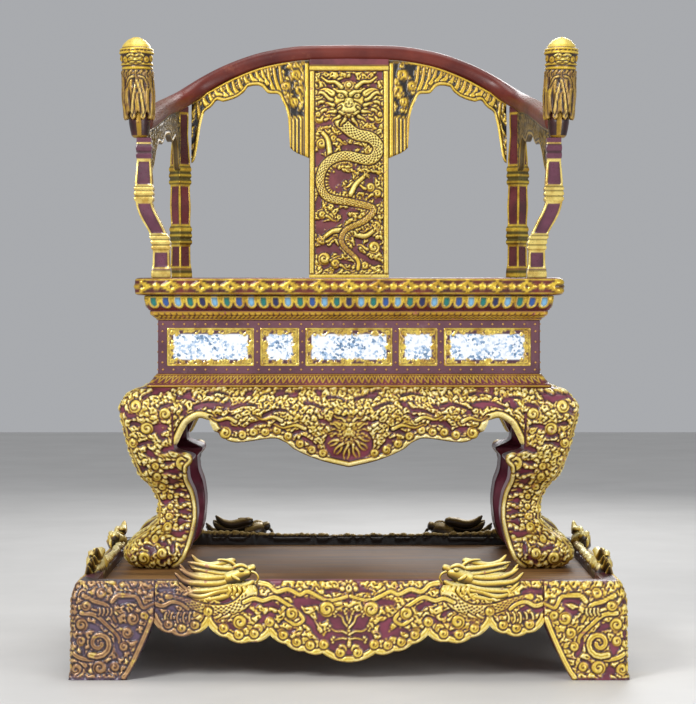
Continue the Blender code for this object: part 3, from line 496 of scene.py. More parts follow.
    def clouds(
        self,
        region: Callable[[np.ndarray, np.ndarray], np.ndarray],
        flow: Callable[[np.ndarray, np.ndarray], np.ndarray],
        spacing: float,
        height: float,
        seed: int,
        open_share: float = 0.12,
        stretch: float = 1.5,
    ) -> None:
        """Covers a region with curling clouds that press against each other, with open ground between some.

        Each cloud is the part of the face that lies nearest to its own eye, so that sunk lines part them,
        which the finishes darken as painted shade.

        Args:
            region: whether places may be carved.
            flow: angle that the clouds lie along at places, in radians.
            spacing: distance between two clouds.
            height: height of the carving.
            seed: seed of the small differences between clouds.
            open_share: share of the clouds that are left out.
            stretch: length of a cloud as a share of its width.
        """
        rng = np.random.default_rng(seed)
        v, u = np.meshgrid(self.v, self.u, indexing="ij")
        turn = 2 * math.pi / spacing
        wave_u = 0.11 * np.sin(0.83 * turn * v + seed) + 0.07 * np.sin(1.61 * turn * (u + v) + 2 * seed)
        wave_v = 0.11 * np.sin(0.77 * turn * u + 3 * seed) + 0.07 * np.sin(1.43 * turn * (u - v) - seed)
        across, up = u + spacing * wave_u, v + spacing * wave_v
        lift = 0.78 * spacing
        rows = int((self.v[-1] - self.v[0]) / lift) + 7
        columns = int((self.u[-1] - self.u[0]) / spacing) + 7
        number_v, number_u = np.mgrid[0:rows, 0:columns]
        jitter = rng.uniform(-0.33, 0.33, (2, rows, columns))
        site_u = self.u[0] + (number_u - 3 + 0.5 * (number_v % 2) + jitter[0]) * spacing
        site_v = self.v[0] + (number_v - 3 + jitter[1]) * lift
        angles = flow(site_u, site_v) + rng.uniform(-0.35, 0.35, (rows, columns))
        sizes = rng.uniform(0.80, 1.25, (rows, columns))
        hands = rng.choice([-1.0, 1.0], (rows, columns))
        starts = rng.uniform(0, 1, (rows, columns))
        tones = rng.random((rows, columns))
        row = np.floor((up - self.v[0]) / lift).astype(int) + 3
        column = np.floor((across - self.u[0]) / spacing).astype(int) + 3
        best, second = np.full(u.shape, np.inf), np.full(u.shape, np.inf)
        theta, hand, start, tone = (np.zeros(u.shape) for _ in range(4))
        for step_v in range(-2, 3):
            for step_u in range(-2, 3):
                i = np.clip(row + step_v, 0, rows - 1)
                j = np.clip(column + step_u, 0, columns - 1)
                du, dv = across - site_u[i, j], up - site_v[i, j]
                cosine, sine = np.cos(angles[i, j]), np.sin(angles[i, j])
                ahead, beside = (du * cosine + dv * sine) / stretch, -du * sine + dv * cosine
                away = np.hypot(ahead, beside) / sizes[i, j]
                nearer = away < best
                second = np.where(nearer, best, np.minimum(second, np.where(away > best, away, np.inf)))
                best = np.where(nearer, away, best)
                theta = np.where(nearer, np.arctan2(beside, ahead), theta)
                hand, start = np.where(nearer, hands[i, j], hand), np.where(nearer, starts[i, j], start)
                tone = np.where(nearer, tones[i, j], tone)
        border = (second - best) / spacing
        phase = np.mod(best / (0.36 * spacing) - hand * theta / (2 * math.pi) + start, 1.0)
        body = np.sqrt(np.clip((border - 0.05) / 0.20, 0, 1))
        groove = np.clip(1 - np.abs(phase - 0.5) / 0.16, 0, 1) * (best > 0.10 * spacing)
        raised = height * (0.30 + 0.70 * body) * (1 - 0.55 * groove) * (0.86 + 0.28 * tone)
        raised = np.where(best < 0.085 * spacing, 0.2 * height, raised)
        solid = (tone > open_share) & (border > 0.05)
        free = region(u, v) & (self.gilt < 0.05) & (self.height <= 0)
        self.height = np.where(free, np.where(solid, raised, 0.0), self.height)
        self.gilt = np.where(free, np.where(solid, 1.0, 0.0), self.gilt)

    def read(self, u: np.ndarray, v: np.ndarray) -> tuple[np.ndarray, np.ndarray, np.ndarray]:
        """Reads the map at places on the face.

        Args:
            u: places along the face.
            v: places up the face.

        Returns:
            Height, gilding and crevice at those places.
        """
        x = np.clip((u - self.u[0]) / self.pitch, 0, len(self.u) - 1.001)
        y = np.clip((v - self.v[0]) / self.pitch, 0, len(self.v) - 1.001)
        i, j = y.astype(int), x.astype(int)
        fy, fx = y - i, x - j

        def pick(grid: np.ndarray) -> np.ndarray:
            """Value of a map between four of its places."""
            low = grid[i, j] * (1 - fx) + grid[i, j + 1] * fx
            return low * (1 - fy) + (grid[i + 1, j] * (1 - fx) + grid[i + 1, j + 1] * fx) * fy

        if self.crevice is None:
            self.height = self._averaged(self.height, 1, 2)
            self.gilt = self._averaged(self.gilt, 1, 1)
            # How far each place lies below its neighbours, which the finishes paint as shade.
            self.crevice = self._averaged(self.height, 2, 2) - self.height
        return pick(self.height), pick(self.gilt), pick(self.crevice)

    @staticmethod
    def _averaged(grid: np.ndarray, reach: int, times: int) -> np.ndarray:
        """A map averaged over squares of its places, a number of times."""
        size = 2 * reach + 1
        for _ in range(times):
            for axis in (0, 1):
                padded = np.pad(
                    grid, [(reach, reach) if a == axis else (0, 0) for a in (0, 1)], mode="edge"
                )
                total = np.insert(np.cumsum(padded, axis=axis), 0, 0.0, axis=axis)
                count = grid.shape[axis]
                upper = np.take(total, range(size, size + count), axis=axis)
                grid = (upper - np.take(total, range(count), axis=axis)) / size
        return grid


@dataclass
class Skin:
    """Mesh piece made from a grid that is laid round a form.

    Attributes:
        name: the piece's name.
        finish: its material.
        slot: the record's material slot; not used.
        nodes: the CAD nodes that it stands for.
    """

    name: str
    finish: bpy.types.Material
    slot: str
    nodes: tuple[str, ...] = ()

    def lay(
        self, points: np.ndarray, attributes: dict[str, np.ndarray] | None = None, **options: object
    ) -> bpy.types.Object:
        """Lays a grid round a form, closes it and dresses it as a finished piece.

        Args:
            points: as for shape.
            attributes: as for shape.
            options: the other arguments of shape.

        Returns:
            The finished object.
        """
        return self.dress(self.shape(points, attributes, **options))

    def shape(
        self,
        points: np.ndarray,
        attributes: dict[str, np.ndarray] | None = None,
        poles: bool = False,
        sharp: float = 100.0,
    ) -> bpy.types.Object:
        """Lays a grid round a form and closes it.

        Args:
            points: array of points, first axis along the form, second axis round it; the rings are closed.
            attributes: values for each point, read by the material.
            poles: whether the ends close in a fan; otherwise one face closes each end.
            sharp: edges sharper than this many degrees stay sharp.

        Returns:
            The closed mesh object.
        """
        data = dict(attributes or {})
        points = np.concatenate([points, points[:, :1]], axis=1)
        data = {key: np.concatenate([value, value[:, :1]], axis=1) for key, value in data.items()}
        if poles:
            ends = [np.broadcast_to(points[k, :-1].mean(0), points[:1].shape) for k in (0, -1)]
            points = np.concatenate([ends[0], points, ends[1]])
            data = {key: np.concatenate([value[:1], value, value[-1:]]) for key, value in data.items()}
        along, around = points.shape[0], points.shape[1]
        bpy.ops.object.select_all(action="DESELECT")
        bpy.ops.mesh.primitive_grid_add(x_subdivisions=around - 1, y_subdivisions=along - 1, size=1)
        thing = bpy.context.active_object
        thing.name = self.name
        mesh = thing.data
        mesh.name = self.name
        flat = np.zeros(len(mesh.vertices) * 3, np.float32)
        mesh.vertices.foreach_get("co", flat)
        flat = flat.reshape(-1, 3)
        j = np.round((flat[:, 0] + 0.5) * (around - 1)).astype(int)
        i = np.round((flat[:, 1] + 0.5) * (along - 1)).astype(int)
        mesh.vertices.foreach_set("co", points[i, j].astype(np.float32).ravel())
        for key, value in data.items():
            layer = mesh.attributes.new(key, "FLOAT", "POINT")
            layer.data.foreach_set("value", value[i, j].astype(np.float32).ravel())
        bpy.ops.object.mode_set(mode="EDIT")
        bpy.ops.mesh.select_all(action="SELECT")
        bpy.ops.mesh.remove_doubles(threshold=2e-6)
        if not poles:
            bpy.ops.mesh.fill_holes(sides=0)
        bpy.ops.mesh.select_all(action="SELECT")
        bpy.ops.mesh.normals_make_consistent(inside=False)
        bpy.ops.object.mode_set(mode="OBJECT")
        bpy.ops.object.shade_smooth_by_angle(angle=math.radians(sharp))
        return thing

    def join(self, things: Sequence[bpy.types.Object]) -> bpy.types.Object:
        """Joins closed shapes into one piece and dresses it."""
        bpy.ops.object.select_all(action="DESELECT")
        for thing in things:
            thing.select_set(True)
        bpy.context.view_layer.objects.active = things[0]
        bpy.ops.object.join()
        things[0].name = self.name
        return self.dress(things[0])

    def dress(self, thing: bpy.types.Object) -> bpy.types.Object:
        """Gives a finished object its material and its place in the frame."""
        while thing.data.uv_layers:
            thing.data.uv_layers.remove(thing.data.uv_layers[0])
        thing.data.materials.clear()
        thing.data.materials.append(self.finish)
        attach(thing, "root")
        if self.nodes:
            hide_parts(*self.nodes)
        LOG.info("%s: %d faces", thing.name, len(thing.data.polygons))
        return thing


def carving(height: np.ndarray, gilt: np.ndarray, crevice: np.ndarray) -> dict[str, np.ndarray]:
    """Point values that the gilt finishes read, which paint shade in hollows and highlights on ridges.

    Args:
        height: height above the ground.
        gilt: share of gilding.
        crevice: how much lower a place is than those round it.

    Returns:
        The values by attribute name; crevice is the share of painted shade, relief the level of painted
        light.
    """
    # Painted shade: places lower than their neighbours are darkened.
    hollow_shade = np.clip((crevice - 0.00004) / 0.00060, 0, 1)
    # Painted highlight: ridges and high places are made lighter.
    ridge = np.clip(0.35 - crevice / 0.0022, 0, 1)
    return {"gilt": gilt, "crevice": hollow_shade, "relief": np.clip(0.45 * height / 0.006 + 0.75 * ridge, 0, 1)}


class Shader:
    """Node tree of one material, built in code."""

    def __init__(self, name: str) -> None:
        """Starts a material with its Principled BSDF."""
        self.material = bpy.data.materials.new(name)
        self.material.use_nodes = True
        self.nodes = self.material.node_tree.nodes
        self.links = self.material.node_tree.links
        self.surface = self.nodes["Principled BSDF"]

    def add(self, kind: str, **values: object) -> bpy.types.Node:
        """Adds a node and sets its properties or inputs by name."""
        node = self.nodes.new(kind)
        for key, value in values.items():
            if hasattr(node, key):
                setattr(node, key, value)
            else:
                node.inputs[key.replace("_", " ")].default_value = value
        return node

    def join(self, source: bpy.types.NodeSocket, target: bpy.types.NodeSocket) -> None:
        """Links two sockets."""
        self.links.new(source, target)

    def noise(self, scale: float, detail: float = 3.0, roughness: float = 0.6) -> bpy.types.NodeSocket:
        """Noise on the object's own coordinates."""
        where = self.add("ShaderNodeTexCoord")
        made = self.add("ShaderNodeTexNoise")
        made.inputs["Scale"].default_value = scale
        made.inputs["Detail"].default_value = detail
        made.inputs["Roughness"].default_value = roughness
        self.join(where.outputs["Object"], made.inputs["Vector"])
        return made.outputs["Fac"]

    def attribute(self, name: str) -> bpy.types.NodeSocket:
        """Value of a point attribute."""
        return self.add("ShaderNodeAttribute", attribute_name=name).outputs["Fac"]

    def ramp(
        self, source: bpy.types.NodeSocket, *stops: tuple[float, tuple[float, ...]]
    ) -> bpy.types.NodeSocket:
        """Colour ramp with the given stops."""
        made = self.add("ShaderNodeValToRGB")
        elements = made.color_ramp.elements
        while len(elements) < len(stops):
            elements.new(0.5)
        for element, (place, colour) in zip(elements, stops):
            element.position = place
            element.color = (*colour, 1.0) if len(colour) == 3 else (colour[0], colour[0], colour[0], 1.0)
        self.join(source, made.inputs["Fac"])
        return made.outputs["Color"]

    def mix(self, share: object, a: object, b: object, mode: str = "MIX") -> bpy.types.NodeSocket:
        """Mix of two colours, each a colour or a socket."""
        made = self.add("ShaderNodeMix", data_type="RGBA", blend_type=mode)
        # A mix node's colours are its inputs 6 and 7 and its output 2.
        for place, value in ((0, share), (6, a), (7, b)):
            if isinstance(value, bpy.types.NodeSocket):
                self.join(value, made.inputs[place])
            elif place:
                made.inputs[place].default_value = (*value, 1.0)
            else:
                made.inputs[place].default_value = value
        return made.outputs[2]

    def maths(
        self, operation: str, a: object, b: object = 0.0, c: object = 0.0, clamp: bool = False
    ) -> bpy.types.NodeSocket:
        """Result of a calculation on values or sockets."""
        made = self.add("ShaderNodeMath", operation=operation, use_clamp=clamp)
        for place, value in enumerate((a, b, c)):
            if isinstance(value, bpy.types.NodeSocket):
                self.join(value, made.inputs[place])
            else:
                made.inputs[place].default_value = value
        return made.outputs[0]

    def bump(self, height: bpy.types.NodeSocket, strength: float, distance: float) -> None:
        """Bump on the surface."""
        made = self.add("ShaderNodeBump")
        made.inputs["Strength"].default_value = strength
        made.inputs["Distance"].default_value = distance
        self.join(height, made.inputs["Height"])
        self.join(made.outputs["Normal"], self.surface.inputs["Normal"])


Colour = tuple[float, float, float]


@dataclass(frozen=True)
class Gilding:
    """Gold leaf on carved wood over lacquer, with painted shade in the hollows and painted highlights on
    ridges.

    Attributes:
        name: the material's name.
        glint: colour of the leaf on the highest ridges.
        bright: colour of clean leaf.
        ochre: colour of duller leaf, and of lower parts as painted shade.
        hollow_shade: painted shade colour in the hollows.
        ground: lacquer of the sunk ground.
        ground_dark: the same lacquer's darker mottling.
        wear: how much of the leaf is rubbed away, from 0 to 1.
        metallic: how much of a metal the leaf is.
        worn_copper: whether the leaf turns coppery where the patina attribute says so.
    """

    name: str
    glint: Colour = (0.97, 0.84, 0.25)
    bright: Colour = (0.82, 0.57, 0.050)
    ochre: Colour = (0.50, 0.28, 0.018)
    hollow_shade: Colour = (0.010, 0.005, 0.002)
    ground: Colour = (0.215, 0.040, 0.070)
    ground_dark: Colour = (0.085, 0.014, 0.026)
    wear: float = 0.25
    metallic: float = 0.30
    worn_copper: bool = False

    def material(self) -> bpy.types.Material:
        """Builds the material."""
        s = Shader(self.name)
        gilt = s.attribute("gilt")
        crevice = s.attribute("crevice")
        patches = s.noise(26.0, 4.0)
        grain = s.noise(260.0, 2.0)
        # Painted light: the leaf is lightest on ridges and high places, up to the glint as painted highlight,
        # and darkest low down as painted shade.
        shine = s.maths("MULTIPLY_ADD", patches, 0.5, s.maths("SUBTRACT", s.attribute("relief"), 0.25))
        low = tuple(0.42 * c for c in self.ochre)
        leaf = s.ramp(shine, (0.16, low), (0.40, self.ochre), (0.66, self.bright), (0.95, self.glint))
        leaf = s.mix(s.ramp(grain, (0.30, (0.35,)), (0.62, (0.0,))), leaf, self.ochre)
        rubbed = s.ramp(
            s.noise(60.0, 4.0, 0.7), (0.66 - 0.2 * self.wear, (0.0,)), (0.72 - 0.2 * self.wear, (0.65,))
        )
        leaf = s.mix(rubbed, leaf, tuple(1.8 * c for c in self.ground))
        lacquer = s.ramp(s.noise(18.0, 3.0), (0.35, self.ground_dark), (0.62, self.ground))
        if self.worn_copper:
            patina = s.attribute("patina")
            spots = s.ramp(s.noise(48.0, 4.0), (0.56, (1.0,)), (0.66, (0.25,)))
            # Painted light on the copper: random tone, lighter on ridges and high places as painted
            # highlight, darker low down as painted shade.
            worn = s.maths(
                "MULTIPLY_ADD", s.noise(90.0, 3.0), 0.5, s.maths("SUBTRACT", s.attribute("relief"), 0.25)
            )
            copper = s.ramp(
                worn, (0.25, (0.065, 0.026, 0.016)), (0.50, (0.225, 0.104, 0.046)),
                (0.85, (0.52, 0.31, 0.13))
            )
            leaf = s.mix(s.mix(spots, (0.0, 0.0, 0.0), patina), leaf, copper)
            lacquer = s.mix(patina, lacquer, (0.105, 0.066, 0.110))
        colour = s.mix(gilt, lacquer, leaf)
        # Painted shade: hollows are darkened to nearly black and lose their metal.
        shade = s.maths("MULTIPLY", crevice, 0.93)
        colour = s.mix(shade, colour, self.hollow_shade)
        s.join(colour, s.surface.inputs["Base Color"])
        metal = s.maths(
            "MULTIPLY", s.maths("SUBTRACT", gilt, s.maths("MULTIPLY", crevice, 0.8), clamp=True),
            self.metallic
        )
        s.join(metal, s.surface.inputs["Metallic"])
        s.join(s.maths("MULTIPLY_ADD", grain, 0.25, 0.24), s.surface.inputs["Roughness"])
        s.surface.inputs["Coat Weight"].default_value = 0.15
        s.surface.inputs["Coat Roughness"].default_value = 0.25
        s.bump(s.maths("MULTIPLY_ADD", grain, 0.4, s.noise(90.0, 3.0)), 0.22, 0.0009)
        return s.material


@dataclass(frozen=True)
class Lacquer:
    """Old lacquer with a soft gloss, mottled and worn in patches.

    Attributes:
        name: the material's name.
        colour: main colour.
        deep: colour of the darker mottling.
        worn: colour where it is rubbed.
        gloss: roughness.
        dust_and_highlight_film: whether an attribute lays a lighter brown film over it, part dust, part
            painted highlight.
    """

    name: str
    colour: Colour
    deep: Colour
    worn: Colour
    gloss: float = 0.28
    dust_and_highlight_film: bool = False

    def material(self) -> bpy.types.Material:
        """Builds the material."""
        s = Shader(self.name)
        base = s.ramp(s.noise(9.0, 5.0), (0.34, self.deep), (0.60, self.colour))
        patches = s.ramp(s.noise(34.0, 5.0, 0.7), (0.60, (0.0,)), (0.74, (0.7,)))
        colour = s.mix(patches, base, self.worn)
        if self.dust_and_highlight_film:
            # Dust and painted highlight: a lighter brown film where the attribute says, heaviest on the arms'
            # tops.
            film = s.maths(
                "MULTIPLY", s.attribute("dust_and_highlight"),
                s.ramp(s.noise(22.0, 4.0), (0.36, (0.35,)), (0.60, (0.85,)))
            )
            colour = s.mix(film, colour, (0.150, 0.078, 0.048))
        s.join(colour, s.surface.inputs["Base Color"])
        rough = s.maths("MULTIPLY_ADD", s.noise(70.0, 3.0), 0.22, self.gloss)
        if self.dust_and_highlight_film:
            rough = s.maths("MULTIPLY_ADD", s.attribute("dust_and_highlight"), 0.45, rough, clamp=True)
        s.join(rough, s.surface.inputs["Roughness"])
        s.surface.inputs["Specular IOR Level"].default_value = 0.35
        s.surface.inputs["Coat Weight"].default_value = 0.04 if self.dust_and_highlight_film else 0.12
        s.surface.inputs["Coat Roughness"].default_value = 0.28
        s.bump(s.noise(120.0, 4.0), 0.12, 0.0008)
        return s.material


@dataclass(frozen=True)
class PaintedGilt:
    """Lacquer or enamel with gilding where a point attribute says so, for smooth turned and planed pieces.

    Attributes:
        name: the material's name.
        colour: the lacquer's colour.
        deep: the lacquer's darker mottling.
        bright: colour of the leaf.
        ochre: duller leaf.
        enamelled: whether the enamel attribute gives the petals' colours.
        banded: whether the enamel attribute lays dark green over the leaf.
    """

    name: str
    colour: Colour
    deep: Colour
    bright: Colour = (0.86, 0.60, 0.060)
    ochre: Colour = (0.50, 0.27, 0.018)
    enamelled: bool = False
    banded: bool = False

    def material(self) -> bpy.types.Material:
        """Builds the material."""
        s = Shader(self.name)
        gilt = s.attribute("gilt")
        crevice = s.attribute("crevice")
        leaf = s.ramp(s.noise(40.0, 4.0), (0.34, self.ochre), (0.58, self.bright))
        lacquer = s.ramp(s.noise(14.0, 4.0), (0.34, self.deep), (0.62, self.colour))
        if self.enamelled:
            enamel = s.attribute("enamel")
            tones = s.add("ShaderNodeValToRGB")
            tones.color_ramp.interpolation = "CONSTANT"
            stops = ((0.0, self.colour), (0.2, (0.008, 0.016, 0.090)), (0.4, (0.200, 0.450, 0.680)),
                     (0.6, (0.004, 0.185, 0.160)), (0.8, (0.020, 0.090, 0.330)))
            while len(tones.color_ramp.elements) < len(stops):
                tones.color_ramp.elements.new(0.5)
            for element, (place, tone) in zip(tones.color_ramp.elements, stops):
                element.position = place
                element.color = (*tone, 1.0)
            s.join(enamel, tones.inputs["Fac"])
            painted = s.maths("GREATER_THAN", enamel, 0.2)
            lacquer = s.mix(painted, lacquer, tones.outputs["Color"])
        if self.banded:
            leaf = s.mix(s.maths("MULTIPLY", s.attribute("enamel"), 0.85), leaf, (0.012, 0.022, 0.010))
        colour = s.mix(gilt, lacquer, leaf)
        # Painted shade: grooves and hollows are darkened to nearly black by the crevice attribute.
        colour = s.mix(s.maths("MULTIPLY", crevice, 0.9), colour, (0.02, 0.008, 0.003))
        s.join(colour, s.surface.inputs["Base Color"])
        s.join(s.maths("MULTIPLY", gilt, 0.55), s.surface.inputs["Metallic"])
        s.join(s.maths("MULTIPLY_ADD", s.noise(150.0, 2.0), 0.2, 0.2), s.surface.inputs["Roughness"])
        s.surface.inputs["Coat Weight"].default_value = 0.25
        s.surface.inputs["Coat Roughness"].default_value = 0.2
        s.bump(s.noise(140.0, 3.0), 0.15, 0.0008)
        return s.material


@dataclass(frozen=True)
class BoardWood:
    """Brown oiled boards with grain along the throne's width.

    Attributes:
        name: the material's name.
        light: colour of the light grain.
        dark: colour of the dark grain.
    """

    name: str
    light: Colour = (0.30, 0.150, 0.048)
    dark: Colour = (0.085, 0.036, 0.012)

    def material(self) -> bpy.types.Material:
        """Builds the material."""
        s = Shader(self.name)
        where = s.add("ShaderNodeTexCoord")
        stretch = s.add("ShaderNodeMapping")
        stretch.inputs["Scale"].default_value = (2.2, 26.0, 26.0)
        s.join(where.outputs["Object"], stretch.inputs["Vector"])
        grain = s.add("ShaderNodeTexNoise")
        grain.inputs["Scale"].default_value = 2.0
        grain.inputs["Detail"].default_value = 6.0
        grain.inputs["Distortion"].default_value = 0.6
        s.join(stretch.outputs["Vector"], grain.inputs["Vector"])
        colour = s.ramp(grain.outputs["Fac"], (0.30, self.dark), (0.66, self.light))
        stain = s.ramp(s.noise(4.0, 3.0), (0.35, (0.55,)), (0.62, (0.0,)))
        s.join(s.mix(stain, colour, self.dark), s.surface.inputs["Base Color"])
        s.join(s.maths("MULTIPLY_ADD", grain.outputs["Fac"], 0.3, 0.36), s.surface.inputs["Roughness"])
        s.surface.inputs["Specular IOR Level"].default_value = 0.18
        s.bump(grain.outputs["Fac"], 0.18, 0.001)
        return s.material


@dataclass(frozen=True)
class Inlay:
    """Glossy white and blue inlay in a carved gilt border.

    Attributes:
        name: the material's name.
        white: colour of the pale chips.
        blue: colour of the blue chips.
        deep: colour of the darkest chips.
    """

    name: str
    white: Colour = (0.86, 0.90, 0.94)
    blue: Colour = (0.36, 0.52, 0.74)
    deep: Colour = (0.13, 0.22, 0.36)

    def material(self) -> bpy.types.Material:
        """Builds the material."""
        s = Shader(self.name)
        gilt = s.attribute("gilt")
        crevice = s.attribute("crevice")
        where = s.add("ShaderNodeTexCoord")
        chips = s.add("ShaderNodeTexVoronoi")
        chips.inputs["Scale"].default_value = 230.0
        s.join(where.outputs["Object"], chips.inputs["Vector"])
        pick = s.add("ShaderNodeSeparateColor")
        s.join(chips.outputs["Color"], pick.inputs["Color"])
        clouds = s.noise(22.0, 3.0)
        tone = s.maths("MULTIPLY_ADD", pick.outputs[0], 0.45, s.maths("MULTIPLY", clouds, 0.75))
        glass = s.ramp(tone, (0.35, self.deep), (0.44, self.blue), (0.55, self.white), (0.9, self.white))
        glass = s.mix(s.attribute("border"), glass, (0.085, 0.030, 0.045))
        leaf = s.ramp(s.noise(60.0, 4.0), (0.34, (0.50, 0.28, 0.03)), (0.58, (0.86, 0.64, 0.11)))
        colour = s.mix(gilt, glass, leaf)
        # Painted shade: the gilt border's hollows are darkened to nearly black.
        colour = s.mix(
            s.maths("MULTIPLY", s.maths("MULTIPLY", crevice, 0.95), gilt), colour, (0.012, 0.006, 0.003)
        )
        s.join(colour, s.surface.inputs["Base Color"])
        s.join(s.maths("MULTIPLY", gilt, 0.5), s.surface.inputs["Metallic"])
        s.join(s.maths("MULTIPLY_ADD", gilt, 0.26, 0.07), s.surface.inputs["Roughness"])
        s.surface.inputs["Coat Weight"].default_value = 0.5
        s.surface.inputs["Coat Roughness"].default_value = 0.05
        s.bump(chips.outputs["Distance"], 0.10, 0.0006)
        return s.material


def dragon_mask() -> Relief:
    """Front view of a dragon's head, as on the splat and, smaller, on the front apron."""
    relief = Relief((-0.058, -0.050), (0.058, 0.050), 0.0006)
    tall = 0.0098
    relief.dome((0.0, -0.002), (0.0300, 0.0330), 0.62 * tall, moat=0.002)
    relief.dome((0.0, -0.018), (0.0225, 0.0135), 0.95 * tall, moat=0.0012)
    relief.dome((0.0, -0.0065), (0.0085, 0.0095), 1.15 * tall, moat=0.0008)
    mouth = spline([(-0.0170, -0.0190), (-0.008, -0.0245), (0.0, -0.0255), (0.008, -0.0245),
                    (0.0170, -0.0190)])
    for spot in mouth[::2]:
        relief.drill(tuple(spot), 0.0012, -0.5 * tall)
    relief.stroke(mouth - (0, 0.0042), 0.0024, tall, moat=0.0004)
    for k in range(5):
        relief.dome(((k - 2) * 0.0050, -0.0225), (0.0016, 0.0020), 1.05 * tall, moat=0.0)
    for sign in (-1, 1):
        relief.dome((sign * 0.0050, -0.0095), (0.0046, 0.0042), 1.15 * tall, moat=0.0004)
        relief.drill((sign * 0.0052, -0.0105), 0.0014, -0.5 * tall)
        relief.dome((sign * 0.0140, 0.0050), (0.0066, 0.0048), 1.05 * tall, moat=0.001)
        relief.drill((sign * 0.0135, 0.0042), 0.0018, -0.45 * tall)
        brow = mirrored([(0.0030, 0.0065), (0.0110, 0.0118), (0.0200, 0.0125), (0.0270, 0.0175)], sign)
        relief.stroke(spline(brow), 0.0046, 1.25 * tall, 0.4, moat=0.0008)
        horn = mirrored([(0.0130, 0.0200), (0.0240, 0.0290), (0.0370, 0.0300), (0.0480, 0.0380)], sign)
        relief.stroke(spline(horn), 0.0042, 0.85 * tall, 0.45, ribs=0.004)
        ear = mirrored([(0.0290, 0.0090), (0.0400, 0.0150), (0.0530, 0.0130)], sign)
        relief.stroke(spline(ear), 0.0058, 0.75 * tall, 0.4, groove=0.4)
        for k, (angle, length) in enumerate(((-0.05, 0.034), (-0.45, 0.032), (-0.85, 0.028))):
            turn = angle if sign > 0 else math.pi - angle
            start = (sign * 0.0270, -0.0020 - 0.0070 * k)
            relief.tendril(start, turn, length, sign * 0.9, 0.0032, 0.75 * tall, 0.0048)
        whisker = mirrored([(0.0150, -0.0150), (0.0270, -0.0230), (0.0360, -0.0190)], sign)
        relief.stroke(spline(whisker), 0.0023, 0.95 * tall, 0.5)
        relief.tendril(
            (sign * 0.006, -0.0310), -math.pi / 2 + sign * 0.25, 0.013, sign * 0.5, 0.0026, 0.8 * tall
        )
        for k in range(4):
            jaw = -math.pi / 2 + sign * (0.25 + 0.42 * k)
            start = (0.026 * math.cos(jaw), -0.010 + 0.026 * math.sin(jaw))
            relief.tendril(start, jaw, 0.017, sign * 0.6, 0.0034, 0.85 * tall)
    relief.dome((0.0, 0.0235), (0.0085, 0.0080), 0.95 * tall)
    relief.scroll((0.0, 0.0235), 0.0052, math.pi / 2, 1, 1.1 * tall)
    return relief


def raised(points: np.ndarray, height: np.ndarray) -> np.ndarray:
    """Moves each point of a ringed grid out along the surface's normal.

    Args:
        points: array of points, first axis along the form, second axis round it.
        height: how far each one moves.

    Returns:
        The moved points.
    """
    around = np.roll(points, -1, axis=1) - np.roll(points, 1, axis=1)
    along = np.gradient(points, axis=0)
    normal = np.cross(around, along)
    size = np.linalg.norm(normal, axis=-1, keepdims=True)
    normal = normal / np.maximum(size, 1e-12)
    middle = points.mean(axis=1, keepdims=True)
    if np.sum(normal * (points - middle) * size) < 0:
        normal = -normal
    return points + normal * height[..., None]


def held(points: np.ndarray, clip: Point | None) -> np.ndarray:
    """Keeps points above the floor and within half a width and depth, if these are given."""
    for axis, limit in enumerate(clip or ()):
        points[..., axis] = np.clip(points[..., axis], -limit, limit)
    points[..., 2] = np.maximum(points[..., 2], 0.0)
    return points


def tube(path: np.ndarray, radii: np.ndarray, sides: int = 8, flat: float = 1.0) -> np.ndarray:
    """Rings of a tapering round strand.

    Args:
        path: its centre line.
        radii: its radius at each point of the line.
        sides: points in a ring.
        flat: its thickness across as a share of its width.

    Returns:
        An array of points, first axis along the strand, second axis round it.
    """
    heading = headings(path)
    guide = np.array([0.0, 1.0, 0.0]) if abs(heading[:, 1]).max() < 0.8 else np.array([0.0, 0.0, 1.0])
    first = np.cross(heading, guide)
    first /= np.linalg.norm(first, axis=1, keepdims=True)
    second = np.cross(heading, first)
    angle = 2 * math.pi * np.arange(sides)[None, :, None] / sides
    spokes = np.cos(angle) * first[:, None] + flat * np.sin(angle) * second[:, None]
    return path[:, None] + radii[:, None, None] * spokes


@dataclass(frozen=True)
class Layout:
    """Places that the sub-assemblies share, in metres.

    Attributes:
        half_x: half the stand's width.
        half_y: half its depth.
        board_top: top of its board.
        rim_top: top of its rim.
        leg_top: top of the legs.
        waist_base: foot of the waist.
        waist_top: top of the waist.
        petal_base: foot of the petal band.
        slab_base: foot of the seat slab.
        seat_top: top of the seat.
        knee_x: half the width between the knees' widest lines.
        knee_y: half the depth between them.
        set_back: how far the throne's middle is behind the stand's.
    """

    half_x: float
    half_y: float
    board_top: float
    rim_top: float
    leg_top: float
    waist_base: float
    waist_top: float
    petal_base: float
    slab_base: float
    seat_top: float
    knee_x: float = 0.446
    knee_y: float = 0.250
    set_back: float = 0.140

    @classmethod
    def measured(cls) -> Layout:
        """Reads the places from the frame's nodes."""
        low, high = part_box("stand_foot_front_right")
        return cls(
            half_x=high.x,
            half_y=-low.y,
            board_top=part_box("stand_board")[1].z,
            rim_top=high.z,
            leg_top=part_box("lower_moulding")[0].z,
            waist_base=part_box("waist_frame")[0].z,
            waist_top=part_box("rope_moulding")[0].z,
            petal_base=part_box("petal_band")[0].z,
            slab_base=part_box("seat_slab")[0].z,
            seat_top=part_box("seat_slab")[1].z,
        )


